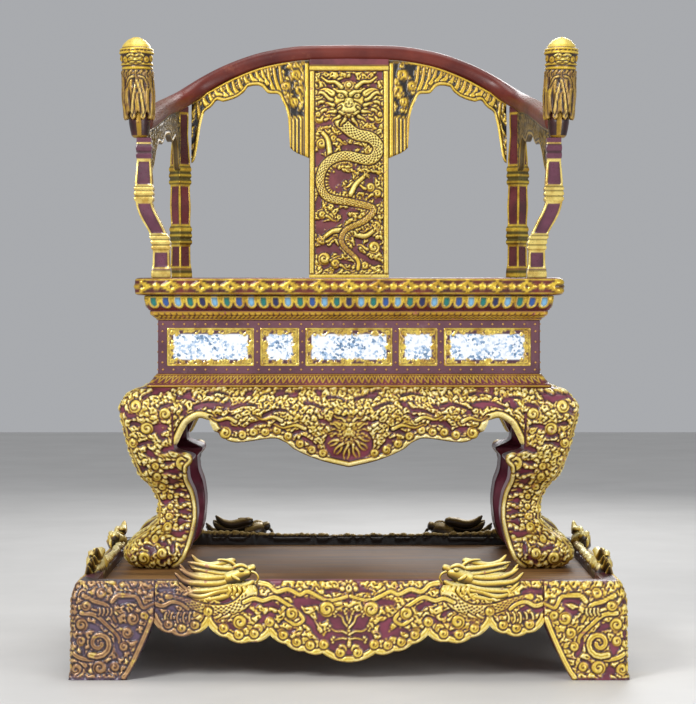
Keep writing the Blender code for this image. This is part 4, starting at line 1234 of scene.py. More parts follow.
@dataclass
class Plate:
    """Upright carved board whose rings run up its face, over its top, down its back and under it.

    Attributes:
        u: places of its columns.
        low: height of the lower edge at each column.
        top: height of the top at each column, on the face and on the back.
        rows: rows up the face.
        face: how far out the face is at a height.
        back: how far out the back is.
        place: world points from places along, out and up.
        back_rows: rows down the back.
        crown: map of the carving on its top, by place along and by the distance in from the face.
    """

    u: np.ndarray
    low: np.ndarray
    top: tuple[np.ndarray, np.ndarray]
    rows: int
    face: Callable[[np.ndarray], np.ndarray]
    back: Callable[[np.ndarray], np.ndarray]
    place: Callable[[np.ndarray, np.ndarray, np.ndarray], np.ndarray]
    back_rows: int = 7
    crown: Relief | None = None

    def skin(
        self, relief: Relief, clip: Point | None = None
    ) -> tuple[np.ndarray, dict[str, np.ndarray]]:
        """Points and their values.

        Args:
            relief: the map that raises the face.
            clip: half the width and depth that the board stays within.

        Returns:
            The grid of points and the attributes for each of them.
        """
        t = np.linspace(0, 1, self.rows)
        s = np.linspace(1, 0, self.back_rows)
        front_v = self.low[:, None] + (self.top[0] - self.low)[:, None] * t
        back_v = self.low[:, None] + (self.top[1] - self.low)[:, None] * s
        under = np.array([0.04, 0.25, 0.5, 0.75, 0.96])
        over = np.linspace(0.04, 0.96, 15) if self.crown else under
        top_v = self.top[0][:, None] * (1 - over) + self.top[1][:, None] * over
        under_v = np.repeat(self.low[:, None], len(under), axis=1)
        front_out, back_out = self.face(front_v), self.back(back_v)
        top_out = front_out[:, -1:] * (1 - over) + back_out[:, :1] * over
        under_out = back_out[:, -1:] * (1 - under) + front_out[:, :1] * under
        v = np.concatenate([front_v, top_v, back_v, under_v], axis=1)
        out = np.concatenate([front_out, top_out, back_out, under_out], axis=1)
        u = np.repeat(self.u[:, None], v.shape[1], axis=1)
        height, gilt, crevice = (np.zeros(v.shape) for _ in range(3))
        height[:, : self.rows], gilt[:, : self.rows], crevice[:, : self.rows] = relief.read(
            u[:, : self.rows], front_v
        )
        rim = slice(self.rows, self.rows + 3)
        gilt[:, rim] = gilt[:, self.rows - 1 : self.rows]
        if self.crown:
            rim = slice(self.rows, self.rows + len(over))
            depth = front_out[:, -1:] - out[:, rim]
            height[:, rim], gilt[:, rim], crevice[:, rim] = self.crown.read(u[:, rim], depth)
            inner = slice(self.rows + len(over), self.rows + len(over) + 3)
            gilt[:, inner] = gilt[:, self.rows + len(over) - 1 : self.rows + len(over)]
            # Painted shade: the top rows of the rim's inner side are darkened fully.
            crevice[:, inner] = 0.0010
        gilt[:, -2:] = gilt[:, :1]
        gilt[:, -4:-2] = 0.4 * gilt[:, :1]
        points = raised(self.place(u, out, v), height)
        return held(points, clip), carving(height, gilt, crevice)


@dataclass
class CornerBlock:
    """Carved block at a corner: rings run along one face, round the corner and along the other.

    Attributes:
        corner: which corner it stands at.
        half_x: half the width that the insets are measured from.
        half_y: half the depth.
        centre_y: where the middle is, front to back.
        z: heights of its rings.
        near: set-in of its outer faces at each height.
        far: set-in of its inner edges at each height.
        rounding: radius of its outer corner as a share of its width.
        columns: columns on each outer face.
        rim: plane of the rim's inner side, across and along, where a board lies in it.
        rim_base: height from which the rim is hollow.
    """

    corner: Corner
    half_x: float
    half_y: float
    centre_y: float
    z: np.ndarray
    near: np.ndarray
    far: np.ndarray
    rounding: float
    columns: int
    rim: Point | None = None
    rim_base: float = 0.0

    def skin(
        self, relief: Relief, clip: Point | None = None
    ) -> tuple[np.ndarray, dict[str, np.ndarray]]:
        """Points and their values, as for a plate."""
        near, far, z = self.near[:, None], self.far[:, None], self.z[:, None]
        width = far - near
        radius = self.rounding * width
        away = width * np.linspace(0, 1, self.columns)
        bend = np.clip((away - (width - radius)) / radius, 0, 1) * math.pi / 4
        straight = np.minimum(away, width - radius)
        along = far - straight - radius * np.sin(bend)
        inward = near + radius * (1 - np.cos(bend))
        front_x, front_y = self.half_x - along, self.half_y - inward
        side_x, side_y = (self.half_x - inward)[:, -2::-1], (self.half_y - along)[:, -2::-1]
        in_x, in_y = self.half_x - far, self.half_y - far
        inner_x = np.concatenate([in_x] * 3, axis=1)
        inner_y = np.concatenate([in_y] * 3, axis=1)
        if self.rim:
            hollow = (self.z > self.rim_base)[:, None]
            inner_x = np.where(
                hollow, np.concatenate([0 * in_x + self.rim[0]] * 2 + [in_x], axis=1), inner_x
            )
            inner_y = np.where(
                hollow, np.concatenate([in_y] + [0 * in_y + self.rim[1]] * 2, axis=1), inner_y
            )
        fill = np.array([0.06, 0.5, 0.94])
        legs = []
        for start, end in (
            ((side_x[:, -1:], side_y[:, -1:]), (inner_x[:, :1], inner_y[:, :1])),
            ((inner_x[:, 2:], inner_y[:, 2:]), (front_x[:, :1], front_y[:, :1])),
        ):
            legs.append([a * (1 - fill) + b * fill for a, b in zip(start, end)])
        x = np.concatenate([front_x, side_x, legs[0][0], inner_x, legs[1][0]], axis=1)
        y = np.concatenate([front_y, side_y, legs[0][1], inner_y, legs[1][1]], axis=1)
        u = np.concatenate([far - away, (far - away)[:, -2::-1]], axis=1)
        count = u.shape[1]
        height, gilt, crevice = (np.zeros(x.shape) for _ in range(3))
        height[:, :count], gilt[:, :count], crevice[:, :count] = relief.read(u, np.repeat(z, count, axis=1))
        sign_x, sign_y = self.corner.value
        points = np.stack([sign_x * x, self.centre_y + sign_y * y, np.broadcast_to(z, x.shape)], axis=-1)
        return held(raised(points, height), clip), carving(height, gilt, crevice)


@dataclass
class Stand:
    """Low stand: its board, four carved feet and four lobed skirts with dragons on the rim.

    Attributes:
        layout: shared places.
        gilding: finish of the carving.
        darkened_rear: finish of the rear carving, a darker copy of the gilding, nearly black.
        relief: height of the carving.
        sole: height over which the feet spread to the floor.
        shoulder: height of the rounded shoulder.
        shoulder_inset: how far the shoulder comes in at the rim.
        rim_wall: thickness of the rim.
        board: thickness of the board.
        foot_width: width of a foot at its top.
        foot_sole: width of a foot on the floor.
        foot_arch: height where a foot reaches its full width.
        gap: clearance between neighbours.
        lobes: lobes of the skirts from foot to middle, each with its start and end as shares of the half
            span, the edge's height at both as shares of the board's height, and how far it hangs.
        worn_from: place along the stand left of which the gilding is worn to copper.
        side_dragon_depth: how far the dragons of the side rims are set in.
    """

    layout: Layout
    gilding: bpy.types.Material
    darkened_rear: bpy.types.Material
    relief: float = 0.006
    sole: float = 0.012
    shoulder: float = 0.050
    shoulder_inset: float = 0.027
    rim_wall: float = 0.022
    board: float = 0.022
    foot_width: float = 0.158
    foot_sole: float = 0.103
    foot_arch: float = 0.111
    gap: float = 0.0003
    lobes: tuple[tuple[float, ...], ...] = (
        (1.0, 0.726, 0.681, 0.669, 0.170), (0.726, 0.409, 0.669, 0.549, 0.176),
        (0.409, 0.130, 0.549, 0.320, 0.085), (0.130, 0.0, 0.300, 0.198, 0.0),
    )
    worn_from: float = -0.262
    side_dragon_depth: float = 0.016

    def inset(self, z: np.ndarray) -> np.ndarray:
        """How far the ground of the carving is inside the outline at a height."""
        sole = np.clip(z / self.sole, 0, 1)
        share = np.clip((z - self.layout.rim_top + self.shoulder) / self.shoulder, 0, 1)
        return self.relief * sole + (self.shoulder_inset - self.relief) * (1 - np.sqrt(1 - share**2))

    def edge(self, share: np.ndarray) -> np.ndarray:
        """Height of a skirt's lobed lower edge at a share of its half span."""
        share = np.abs(share)
        height = np.zeros_like(share)
        for start, end, start_height, end_height, hang in self.lobes:
            t = np.clip((start - share) / (start - end), 0, 1)
            level = start_height + (end_height - start_height) * (t if hang else 1 - (1 - t) ** 2.2)
            if hang:
                level = level - hang * np.sin(math.pi * t) ** 0.6 - 0.022 * np.abs(np.sin(3 * math.pi * t))
            height = np.where((share <= start) & (share >= end), level, height)
        return height * self.layout.board_top

    def patina(self, points: np.ndarray, data: dict[str, np.ndarray]) -> dict[str, np.ndarray]:
        """Adds how far the gilding is worn to copper at each point."""
        worn = np.clip((self.worn_from - points[..., 0]) / 0.03, 0, 1)
        rim = np.clip((points[..., 2] - 0.150) / 0.02, 0, 1) * np.clip((points[..., 1] + 0.40) / 0.05, 0, 1)
        data["patina"] = worn * (1 - 0.85 * rim)
        return data

    def carve_skirt(self, side: Side, half_span: float) -> Relief:
        """Clouds, scrolls and dragons' necks on a skirt.

        Args:
            side: the skirt's side.
            half_span: half its length.

        Returns:
            Its relief.
        """
        top = self.layout.rim_top
        relief = Relief((-half_span, 0.02), (half_span, top + 0.002))
        tall = self.relief
        along = np.linspace(-half_span, half_span, 300)
        edge = self.edge(along / half_span)
        keep = 0.041 if side is Side.FRONT else 0.0

        def region(u: np.ndarray, v: np.ndarray) -> np.ndarray:
            """Where the clouds may go."""
            inside = (v > self.edge(u / half_span) + 0.004) & (v < top - 0.002)
            return inside & ((np.abs(u) > keep + 0.006 * np.sin(110 * v)) | (v > 0.124))

        relief.clouds(
            region, lambda u, v: 0.45 * np.sin(38 * u), 0.0195, 0.8 * tall, 11 + side.value, 0.10, 2.0
        )
        windows = (
            (0.062, 0.137, 0.034, 0.016, 0.1), (0.118, 0.149, 0.032, 0.010, -0.2),
            (0.070, 0.100, 0.024, 0.020, 0.9), (0.140, 0.134, 0.026, 0.014, 0.3),
            (0.152, 0.108, 0.022, 0.012, -0.4), (0.266, 0.150, 0.048, 0.017, -0.25),
            (0.240, 0.116, 0.030, 0.010, -0.2), (0.026, 0.158, 0.030, 0.009, 0.0),
            (0.322, 0.128, 0.024, 0.013, 0.5), (0.180, 0.122, 0.020, 0.010, 0.5),
            (0.105, 0.086, 0.018, 0.009, -0.6), (0.330, 0.160, 0.030, 0.009, 0.1),
        )
        for sign in (-1, 1):
            for u, v, length, width, angle in windows:
                relief.pierce((sign * u, v), length, width, sign * angle)
        drawn_half = 0.352
        reach = 1.0 if side.is_long else half_span / drawn_half
        if side.is_long:
            neck = (
                (0.178, 0.158), (0.196, 0.137), (0.224, 0.126), (0.262, 0.129), (0.300, 0.142),
                (0.330, 0.150)
            )
            for sign in (-1, 1):
                relief.scaly(spline(mirrored(neck, sign)), 0.0125, 0.95 * tall, 0.45, 0.0050)
                for k in range(3):
                    start = (sign * (0.200 + 0.016 * k), 0.120)
                    relief.tendril(
                        start, math.pi / 2 + sign * (-2.4 - 0.1 * k), 0.030, sign * 0.7, 0.003, tall
                    )
        ribbons = (
            ((0.163, 0.173), (0.146, 0.1695), (0.132, 0.159), (0.111, 0.1626), (0.090, 0.154),
             (0.076, 0.159), (0.059, 0.152), (0.038, 0.1435), (0.016, 0.147), (0.003, 0.151)),
            ((0.191, 0.140), (0.173, 0.147), (0.156, 0.1435), (0.135, 0.149), (0.114, 0.138),
             (0.095, 0.1245), (0.083, 0.109), (0.097, 0.100), (0.1144, 0.1106)),
            ((0.352, 0.138), (0.338, 0.134), (0.322, 0.141), (0.306, 0.138), (0.292, 0.128)),
        )
        scrolls = (
            (0.040, 0.128, 0.0135, 1), (0.198, 0.105, 0.0120, -1), (0.165, 0.0925, 0.0090, 1),
            (0.121, 0.0840, 0.0095, -1), (0.080, 0.0700, 0.0080, 1), (0.060, 0.0640, 0.0080, -1),
            (0.104, 0.1200, 0.0110, 1), (0.012, 0.0560, 0.0080, 1), (0.250, 0.1010, 0.0100, -1),
        )
        for sign in (-1, 1):
            for ribbon in ribbons:
                line = spline(mirrored(ribbon, sign, reach))
                relief.stroke(line, 0.0042, 0.9 * tall, 0.8, groove=0.35)
            for u, v, radius, hand in scrolls:
                where = (sign * u * reach, v)
                relief.scroll(where, radius, math.pi / 2, sign * hand, 0.95 * tall)
            for k in range(5):
                u = (0.286 + 0.011 * k) * reach
                arc = [
                    (sign * (u + 0.004 * math.cos(a)), 0.112 + 0.010 * math.sin(a))
                    for a in np.linspace(-1.4, 1.4, 6)
                ]
                relief.stroke(arc, 0.0022, 0.8 * tall)
        relief.stroke(np.stack([along, edge + 0.0055], -1), 0.0054, 0.85 * tall, groove=0.25, moat=0.002)
        for start, end, *_, hang in self.lobes:
            for share in np.linspace(start, end, 5) if hang else (0.045,):
                for sign in (-1, 1):
                    u = sign * share * half_span
                    v = float(self.edge(np.array([share]))[0])
                    if abs(u) < half_span - 0.012:
                        relief.scroll((u, v + 0.0150), 0.0088, -math.pi / 2, sign, 0.9 * tall)
        if side is Side.FRONT:
            self.carve_tree(relief)
        return relief

    def carve_crown(self, half_span: float, seed: int) -> Relief:
        """Row of clouds along the top of a side or rear skirt, higher towards its ends."""
        relief = Relief((-half_span, 0.0), (half_span, self.rim_wall), 0.0010)
        rng = np.random.default_rng(seed)
        u = -half_span + 0.010
        while u < half_span - 0.008:
            size = rng.uniform(0.0070, 0.0115)
            depth = self.rim_wall * rng.uniform(0.40, 0.62)
            tall = (0.0100 + 0.0100 * (abs(u) / half_span) ** 2) * rng.uniform(0.75, 1.15)
            relief.dome((u, depth), (size, 0.0088), tall, moat=0.0)
            relief.drill((u + rng.uniform(-0.002, 0.002), depth - 0.002), 0.0016, -0.45 * tall)
            relief.dome(
                (u + size, depth + rng.uniform(-0.004, 0.004)), (0.0045, 0.0050), 0.6 * tall, moat=0.0
            )
            u += 1.55 * size
        return relief

    def carve_tree(self, relief: Relief) -> None:
        """Branching tree and the flower over it, at the middle of the front skirt."""
        tall = 0.8 * self.relief
        relief.stroke([(0.0, 0.062), (0.001, 0.078), (-0.001, 0.094), (0.0, 0.106)], 0.0038, tall, 0.6)
        for sign in (-1, 1):
            branches = (
                ((0.0, 0.082), (0.012, 0.088), (0.024, 0.088), (0.033, 0.093)),
                ((0.0, 0.094), (0.009, 0.104), (0.013, 0.114), (0.022, 0.119)),
                ((0.0, 0.074), (0.014, 0.075), (0.026, 0.072)),
                ((0.0, 0.103), (0.004, 0.114), (0.003, 0.124)),
            )
            for branch in branches:
                relief.stroke(spline(mirrored(branch, sign)), 0.0022, tall, 0.5)
                end = branch[-1]
                for turn in (-0.8, 0.2, 1.2):
                    tip = (sign * (end[0] + 0.005 * math.cos(turn)), end[1] + 0.005 * math.sin(turn))
                    relief.dome(tip, (0.0027, 0.0027), tall)
            for k in range(3):
                angle = math.pi / 2 - sign * (0.35 + 0.62 * k)
                centre = (0.012 * math.cos(angle), 0.164 + 0.010 * math.sin(angle))
                relief.dome(centre, (0.0052, 0.0046), tall)
        relief.dome((0.0, 0.164), (0.0065, 0.0065), self.relief)
        relief.drill((0.0, 0.164), 0.0020)

    def carve_foot(self, front: bool, seed: int) -> Relief:
        """Volutes and wavy clouds on a foot; its map runs inwards from the corner.

        Args:
            front: whether the foot is at the front.
            seed: seed of the small clouds.

        Returns:
            Its relief.
        """
        relief = Relief((0.0, 0.0), (self.foot_width + 0.002, self.layout.rim_top))
        tall = self.relief

        def region(u: np.ndarray, v: np.ndarray) -> np.ndarray:
            """Where the clouds may go."""
            return (u < self.reach(v) - 0.003) & (v > 0.003) & (v < self.layout.rim_top - 0.002)

        relief.clouds(region, lambda u, v: 2.2 + 7 * u, 0.0200, 0.85 * tall, seed, 0.08, 1.9)
        for u, v, length, width, angle in (
            (0.062, 0.128, 0.046, 0.016, -0.55), (0.108, 0.142, 0.026, 0.016, 0.0),
            (0.050, 0.092, 0.024, 0.015, -0.5), (0.092, 0.060, 0.030, 0.011, 1.9),
            (0.080, 0.030, 0.020, 0.011, 0.6), (0.030, 0.058, 0.020, 0.008, 1.4),
        ):
            relief.pierce((u, v), length, width, angle)
        z = np.linspace(0.004, self.foot_arch, 24)
        line = np.stack([self.reach(z) - 0.006, z], -1)
        if front:
            ribbons = (
                ((0.0246, 0.121), (0.049, 0.1175), (0.070, 0.100), (0.0905, 0.079), (0.094, 0.0655)),
                ((0.028, 0.152), (0.049, 0.142), (0.070, 0.135), (0.080, 0.1175), (0.087, 0.105)),
                ((0.080, 0.142), (0.0905, 0.152), (0.108, 0.152), (0.125, 0.149), (0.1356, 0.131),
                 (0.149, 0.135), (0.158, 0.139)),
                ((0.010, 0.047), (0.022, 0.040), (0.040, 0.036), (0.064, 0.040)),
            )
            for ribbon in ribbons:
                relief.stroke(spline(ribbon), 0.0048, 0.9 * tall, 0.6, groove=0.35, moat=0.002)
            relief.stroke(
                spiral((0.056, 0.066), 0.026, math.pi * 1.3, 1, 1.35, 0.2), 0.0062, tall, 0.6, groove=0.3,
                moat=0.002
            )
            scrolls = (
                (0.0140, 0.0187, 0.0115), (0.0575, 0.0215, 0.0125), (0.0246, 0.1000, 0.0115),
                (0.1080, 0.0850, 0.0100), (0.1020, 0.0600, 0.0085), (0.1180, 0.1110, 0.0115),
                (0.0330, 0.1340, 0.0095), (0.0850, 0.0230, 0.0090), (0.1380, 0.1160, 0.0085),
                (0.0240, 0.0700, 0.0090), (0.0600, 0.1560, 0.0095),
            )
            for k, (u, v, radius) in enumerate(scrolls):
                relief.scroll((u, v), radius, 0.9 * k, 1 if k % 2 else -1, 0.95 * tall)
            for k in range(4):
                u = 0.056 + 0.007 * k
                relief.stroke([(u, 0.117), (u + 0.003, 0.122), (u + 0.002, 0.129)], 0.0021, 0.8 * tall)
        relief.stroke(line, 0.0045, 0.85 * tall, groove=0.25)
        return relief

    def reach(self, z: np.ndarray) -> np.ndarray:
        """Width of a foot at a height."""
        share = np.clip(z / self.foot_arch, 0, 1) ** 0.8
        return self.foot_sole + (self.foot_width - self.foot_sole) * share

    def build_feet(self) -> None:
        """Makes the four feet."""
        lay = self.layout
        rim = (
            lay.half_x - self.shoulder_inset - self.rim_wall,
            lay.half_y - self.shoulder_inset - self.rim_wall
        )
        rim_base = lay.board_top - self.board - self.gap
        for number, corner in enumerate(Corner):
            pitch = 0.0019 if corner.is_front else 0.0031
            z = np.linspace(0.0, 1.0, int(lay.rim_top / pitch))
            z = lay.rim_top * np.where(z > 0.8, 0.8 + 0.2 * np.sin((z - 0.8) / 0.2 * math.pi / 2), z)
            clear = (z < rim_base - 0.0004) | (z > rim_base + 0.0006)
            z = np.unique(np.concatenate([z[clear], [rim_base, rim_base + 0.0003]]))
            block = CornerBlock(
                corner, lay.half_x, lay.half_y, 0.0, z, self.inset(z), self.reach(z), 0.10,
                int(0.5 + 0.150 / pitch), rim, rim_base,
            )
            points, data = block.skin(
                self.carve_foot(corner.is_front, 31 + number), (lay.half_x, lay.half_y)
            )
            name = f"foot_{corner.label}"
            finish = self.gilding if corner.is_front else self.darkened_rear
            skin = Skin(name, finish, "stand_gilt", (f"stand_foot_{corner.label}",))
            skin.lay(points, self.patina(points, data))

    def build_skirts(self) -> None:
        """Makes the four skirts, each with two dragons on its rim."""
        lay = self.layout
        for side in Side:
            across, out = side.halves(lay.half_x, lay.half_y)
            half_span = across - self.foot_width - self.gap
            pitch = {Side.FRONT: 0.0016, Side.BACK: 0.0032}.get(side, 0.0029)
            u = np.linspace(-half_span, half_span, int(2 * half_span / pitch))
            low = self.edge(u / half_span)
            top = np.full_like(u, lay.rim_top)
            inner = out - self.shoulder_inset - self.rim_wall
            plate = Plate(
                u, low, (top, top), int(0.112 / pitch), lambda v, out=out: out - self.inset(v),
                lambda v, inner=inner: 0 * v + inner, lambda a, o, v, side=side: side.place(a, o, v, 0.0),
                crown=None if side is Side.FRONT else self.carve_crown(half_span, 7 + side.value),
            )
            points, data = plate.skin(self.carve_skirt(side, half_span), (lay.half_x, lay.half_y))
            name = side.name.lower()
            finish = self.darkened_rear if side is Side.BACK else self.gilding
            skin = Skin(f"skirt_{name}", finish, "stand_gilt", (f"stand_skirt_{name}",))
            parts = [skin.shape(points, self.patina(points, data))]
            sunk = self.relief if side.is_long else self.side_dragon_depth
            for hand in (-1, 1):
                parts += self.dragon(skin, side, hand, out - sunk)
            skin.join(parts)

    def dragon(self, skin: Skin, side: Side, hand: int, out: float) -> list[bpy.types.Object]:
        """Head and mane of a dragon that looks along the rim to the middle.

        Args:
            skin: the skirt's skin, which makes its shapes.
            side: the skirt's side.
            hand: -1 for the left one, 1 for the right one.
            out: how far out its face is.

        Returns:
            Its closed shapes.
        """
        parts = []
        stout = 1.0 if side is Side.FRONT else 1.45
        sides, steps = (9, 5) if side is Side.FRONT else (7, 3)

        def strand(
            path: Sequence[Sequence[float]], start: float, end: float, bulge: float = 0.0, flat: float = 0.8
        ) -> None:
            """Adds a tapering strand through (along, in from the face, up) points."""
            p = spline(path, steps)
            t = np.linspace(0, 1, len(p))
            radii = stout * (start + (end - start) * t + bulge * np.sin(math.pi * t))
            radii[0] *= 0.5
            radii[-1] *= 0.5
            world = side.place(hand * p[:, 0], out - p[:, 1], p[:, 2], 0.0)
            rings = tube(world, radii, sides, flat)
            # Painted light: each strand is lighter on its upper side as painted highlight and darker
            # underneath as painted shade.
            lower = (world[:, 2][:, None] - rings[..., 2]) / radii[:, None]
            data = carving(0.0030 - 0.0030 * lower, 0 * lower + 1.0, 0.0009 * np.clip(1.5 * lower, -1, 1))
            parts.append(skin.shape(rings, self.patina(rings, data), poles=True))

        for k in range(8):
            share = k / 7
            low, tip = 0.148 + 0.060 * share, 0.150 + 0.062 * share + 0.004 * math.sin(5 * k)
            length = 0.062 + 0.040 * math.sin(math.pi * (0.2 + 0.7 * share)) + 0.006 * (k % 2)
            depth = 0.0035 + 0.016 * share**2
            root = 0.211 - 0.004 * share
            rise = 0.008 * math.sin(2.1 * k)
            strand(
                ((root, depth + 0.004, low + 0.006),
                 (root + 0.28 * length, depth, low - 0.001 + 0.3 * rise),
                 (root + 0.58 * length, depth, tip - 0.006),
                 (root + 0.84 * length, depth + 0.001, tip - 0.002 + 0.4 * rise),
                 (root + length, depth + 0.002, tip + 0.011 + 0.003 * (k % 2))),
                0.0062, 0.0022, 0.0030,
            )
        for k in range(4):
            up, reach = 0.166 + 0.011 * k, 0.030 + 0.004 * k
            strand(
                ((0.206, 0.010, up), (0.206 + reach, 0.009, up + 0.004),
                 (0.214 + 1.9 * reach, 0.011, up + 0.013)),
                0.0064, 0.0030,
            )
        skull = ((0.226, 0.014, 0.180), (0.208, 0.013, 0.186), (0.192, 0.012, 0.192), (0.178, 0.012, 0.193))
        strand(skull, 0.0135, 0.0075, 0.004, 1.0)
        nose = ((0.188, 0.012, 0.197), (0.177, 0.012, 0.201), (0.170, 0.012, 0.203))
        strand(nose, 0.0064, 0.0056, 0.001, 1.2)
        jaw = ((0.216, 0.012, 0.170), (0.198, 0.010, 0.167), (0.183, 0.010, 0.171), (0.172, 0.010, 0.178))
        strand(jaw, 0.0085, 0.0042, 0.001)
        brow = ((0.212, 0.004, 0.200), (0.202, 0.002, 0.206), (0.192, 0.003, 0.206), (0.184, 0.004, 0.202))
        strand(brow, 0.0034, 0.0030, 0.0014)
        horn = ((0.206, 0.014, 0.203), (0.214, 0.012, 0.211), (0.226, 0.012, 0.2155), (0.240, 0.012, 0.2165))
        strand(horn, 0.0048, 0.0018)
        eye = ((0.199, 0.0030, 0.198), (0.195, 0.0010, 0.199), (0.191, 0.0030, 0.198))
        strand(eye, 0.0036, 0.0036, 0.0010, 1.0)
        whisker = ((0.178, 0.004, 0.196), (0.169, 0.003, 0.192), (0.165, 0.004, 0.183), (0.169, 0.006, 0.175))
        strand(whisker, 0.0028, 0.0014)
        ear = ((0.214, 0.003, 0.190), (0.206, 0.000, 0.184), (0.198, 0.001, 0.180))
        strand(ear, 0.0046, 0.0026, 0.001)
        for k in range(6):
            u = 0.220 - 0.009 * k
            strand(
                ((u, 0.006, 0.170), (u - 0.004, 0.001, 0.161), (u - 0.001, 0.001, 0.151)), 0.0040, 0.0018,
                0.0006
            )
        return parts

    def build(self) -> None:
        """Makes the stand's carved pieces."""
        self.build_feet()
        self.build_skirts()


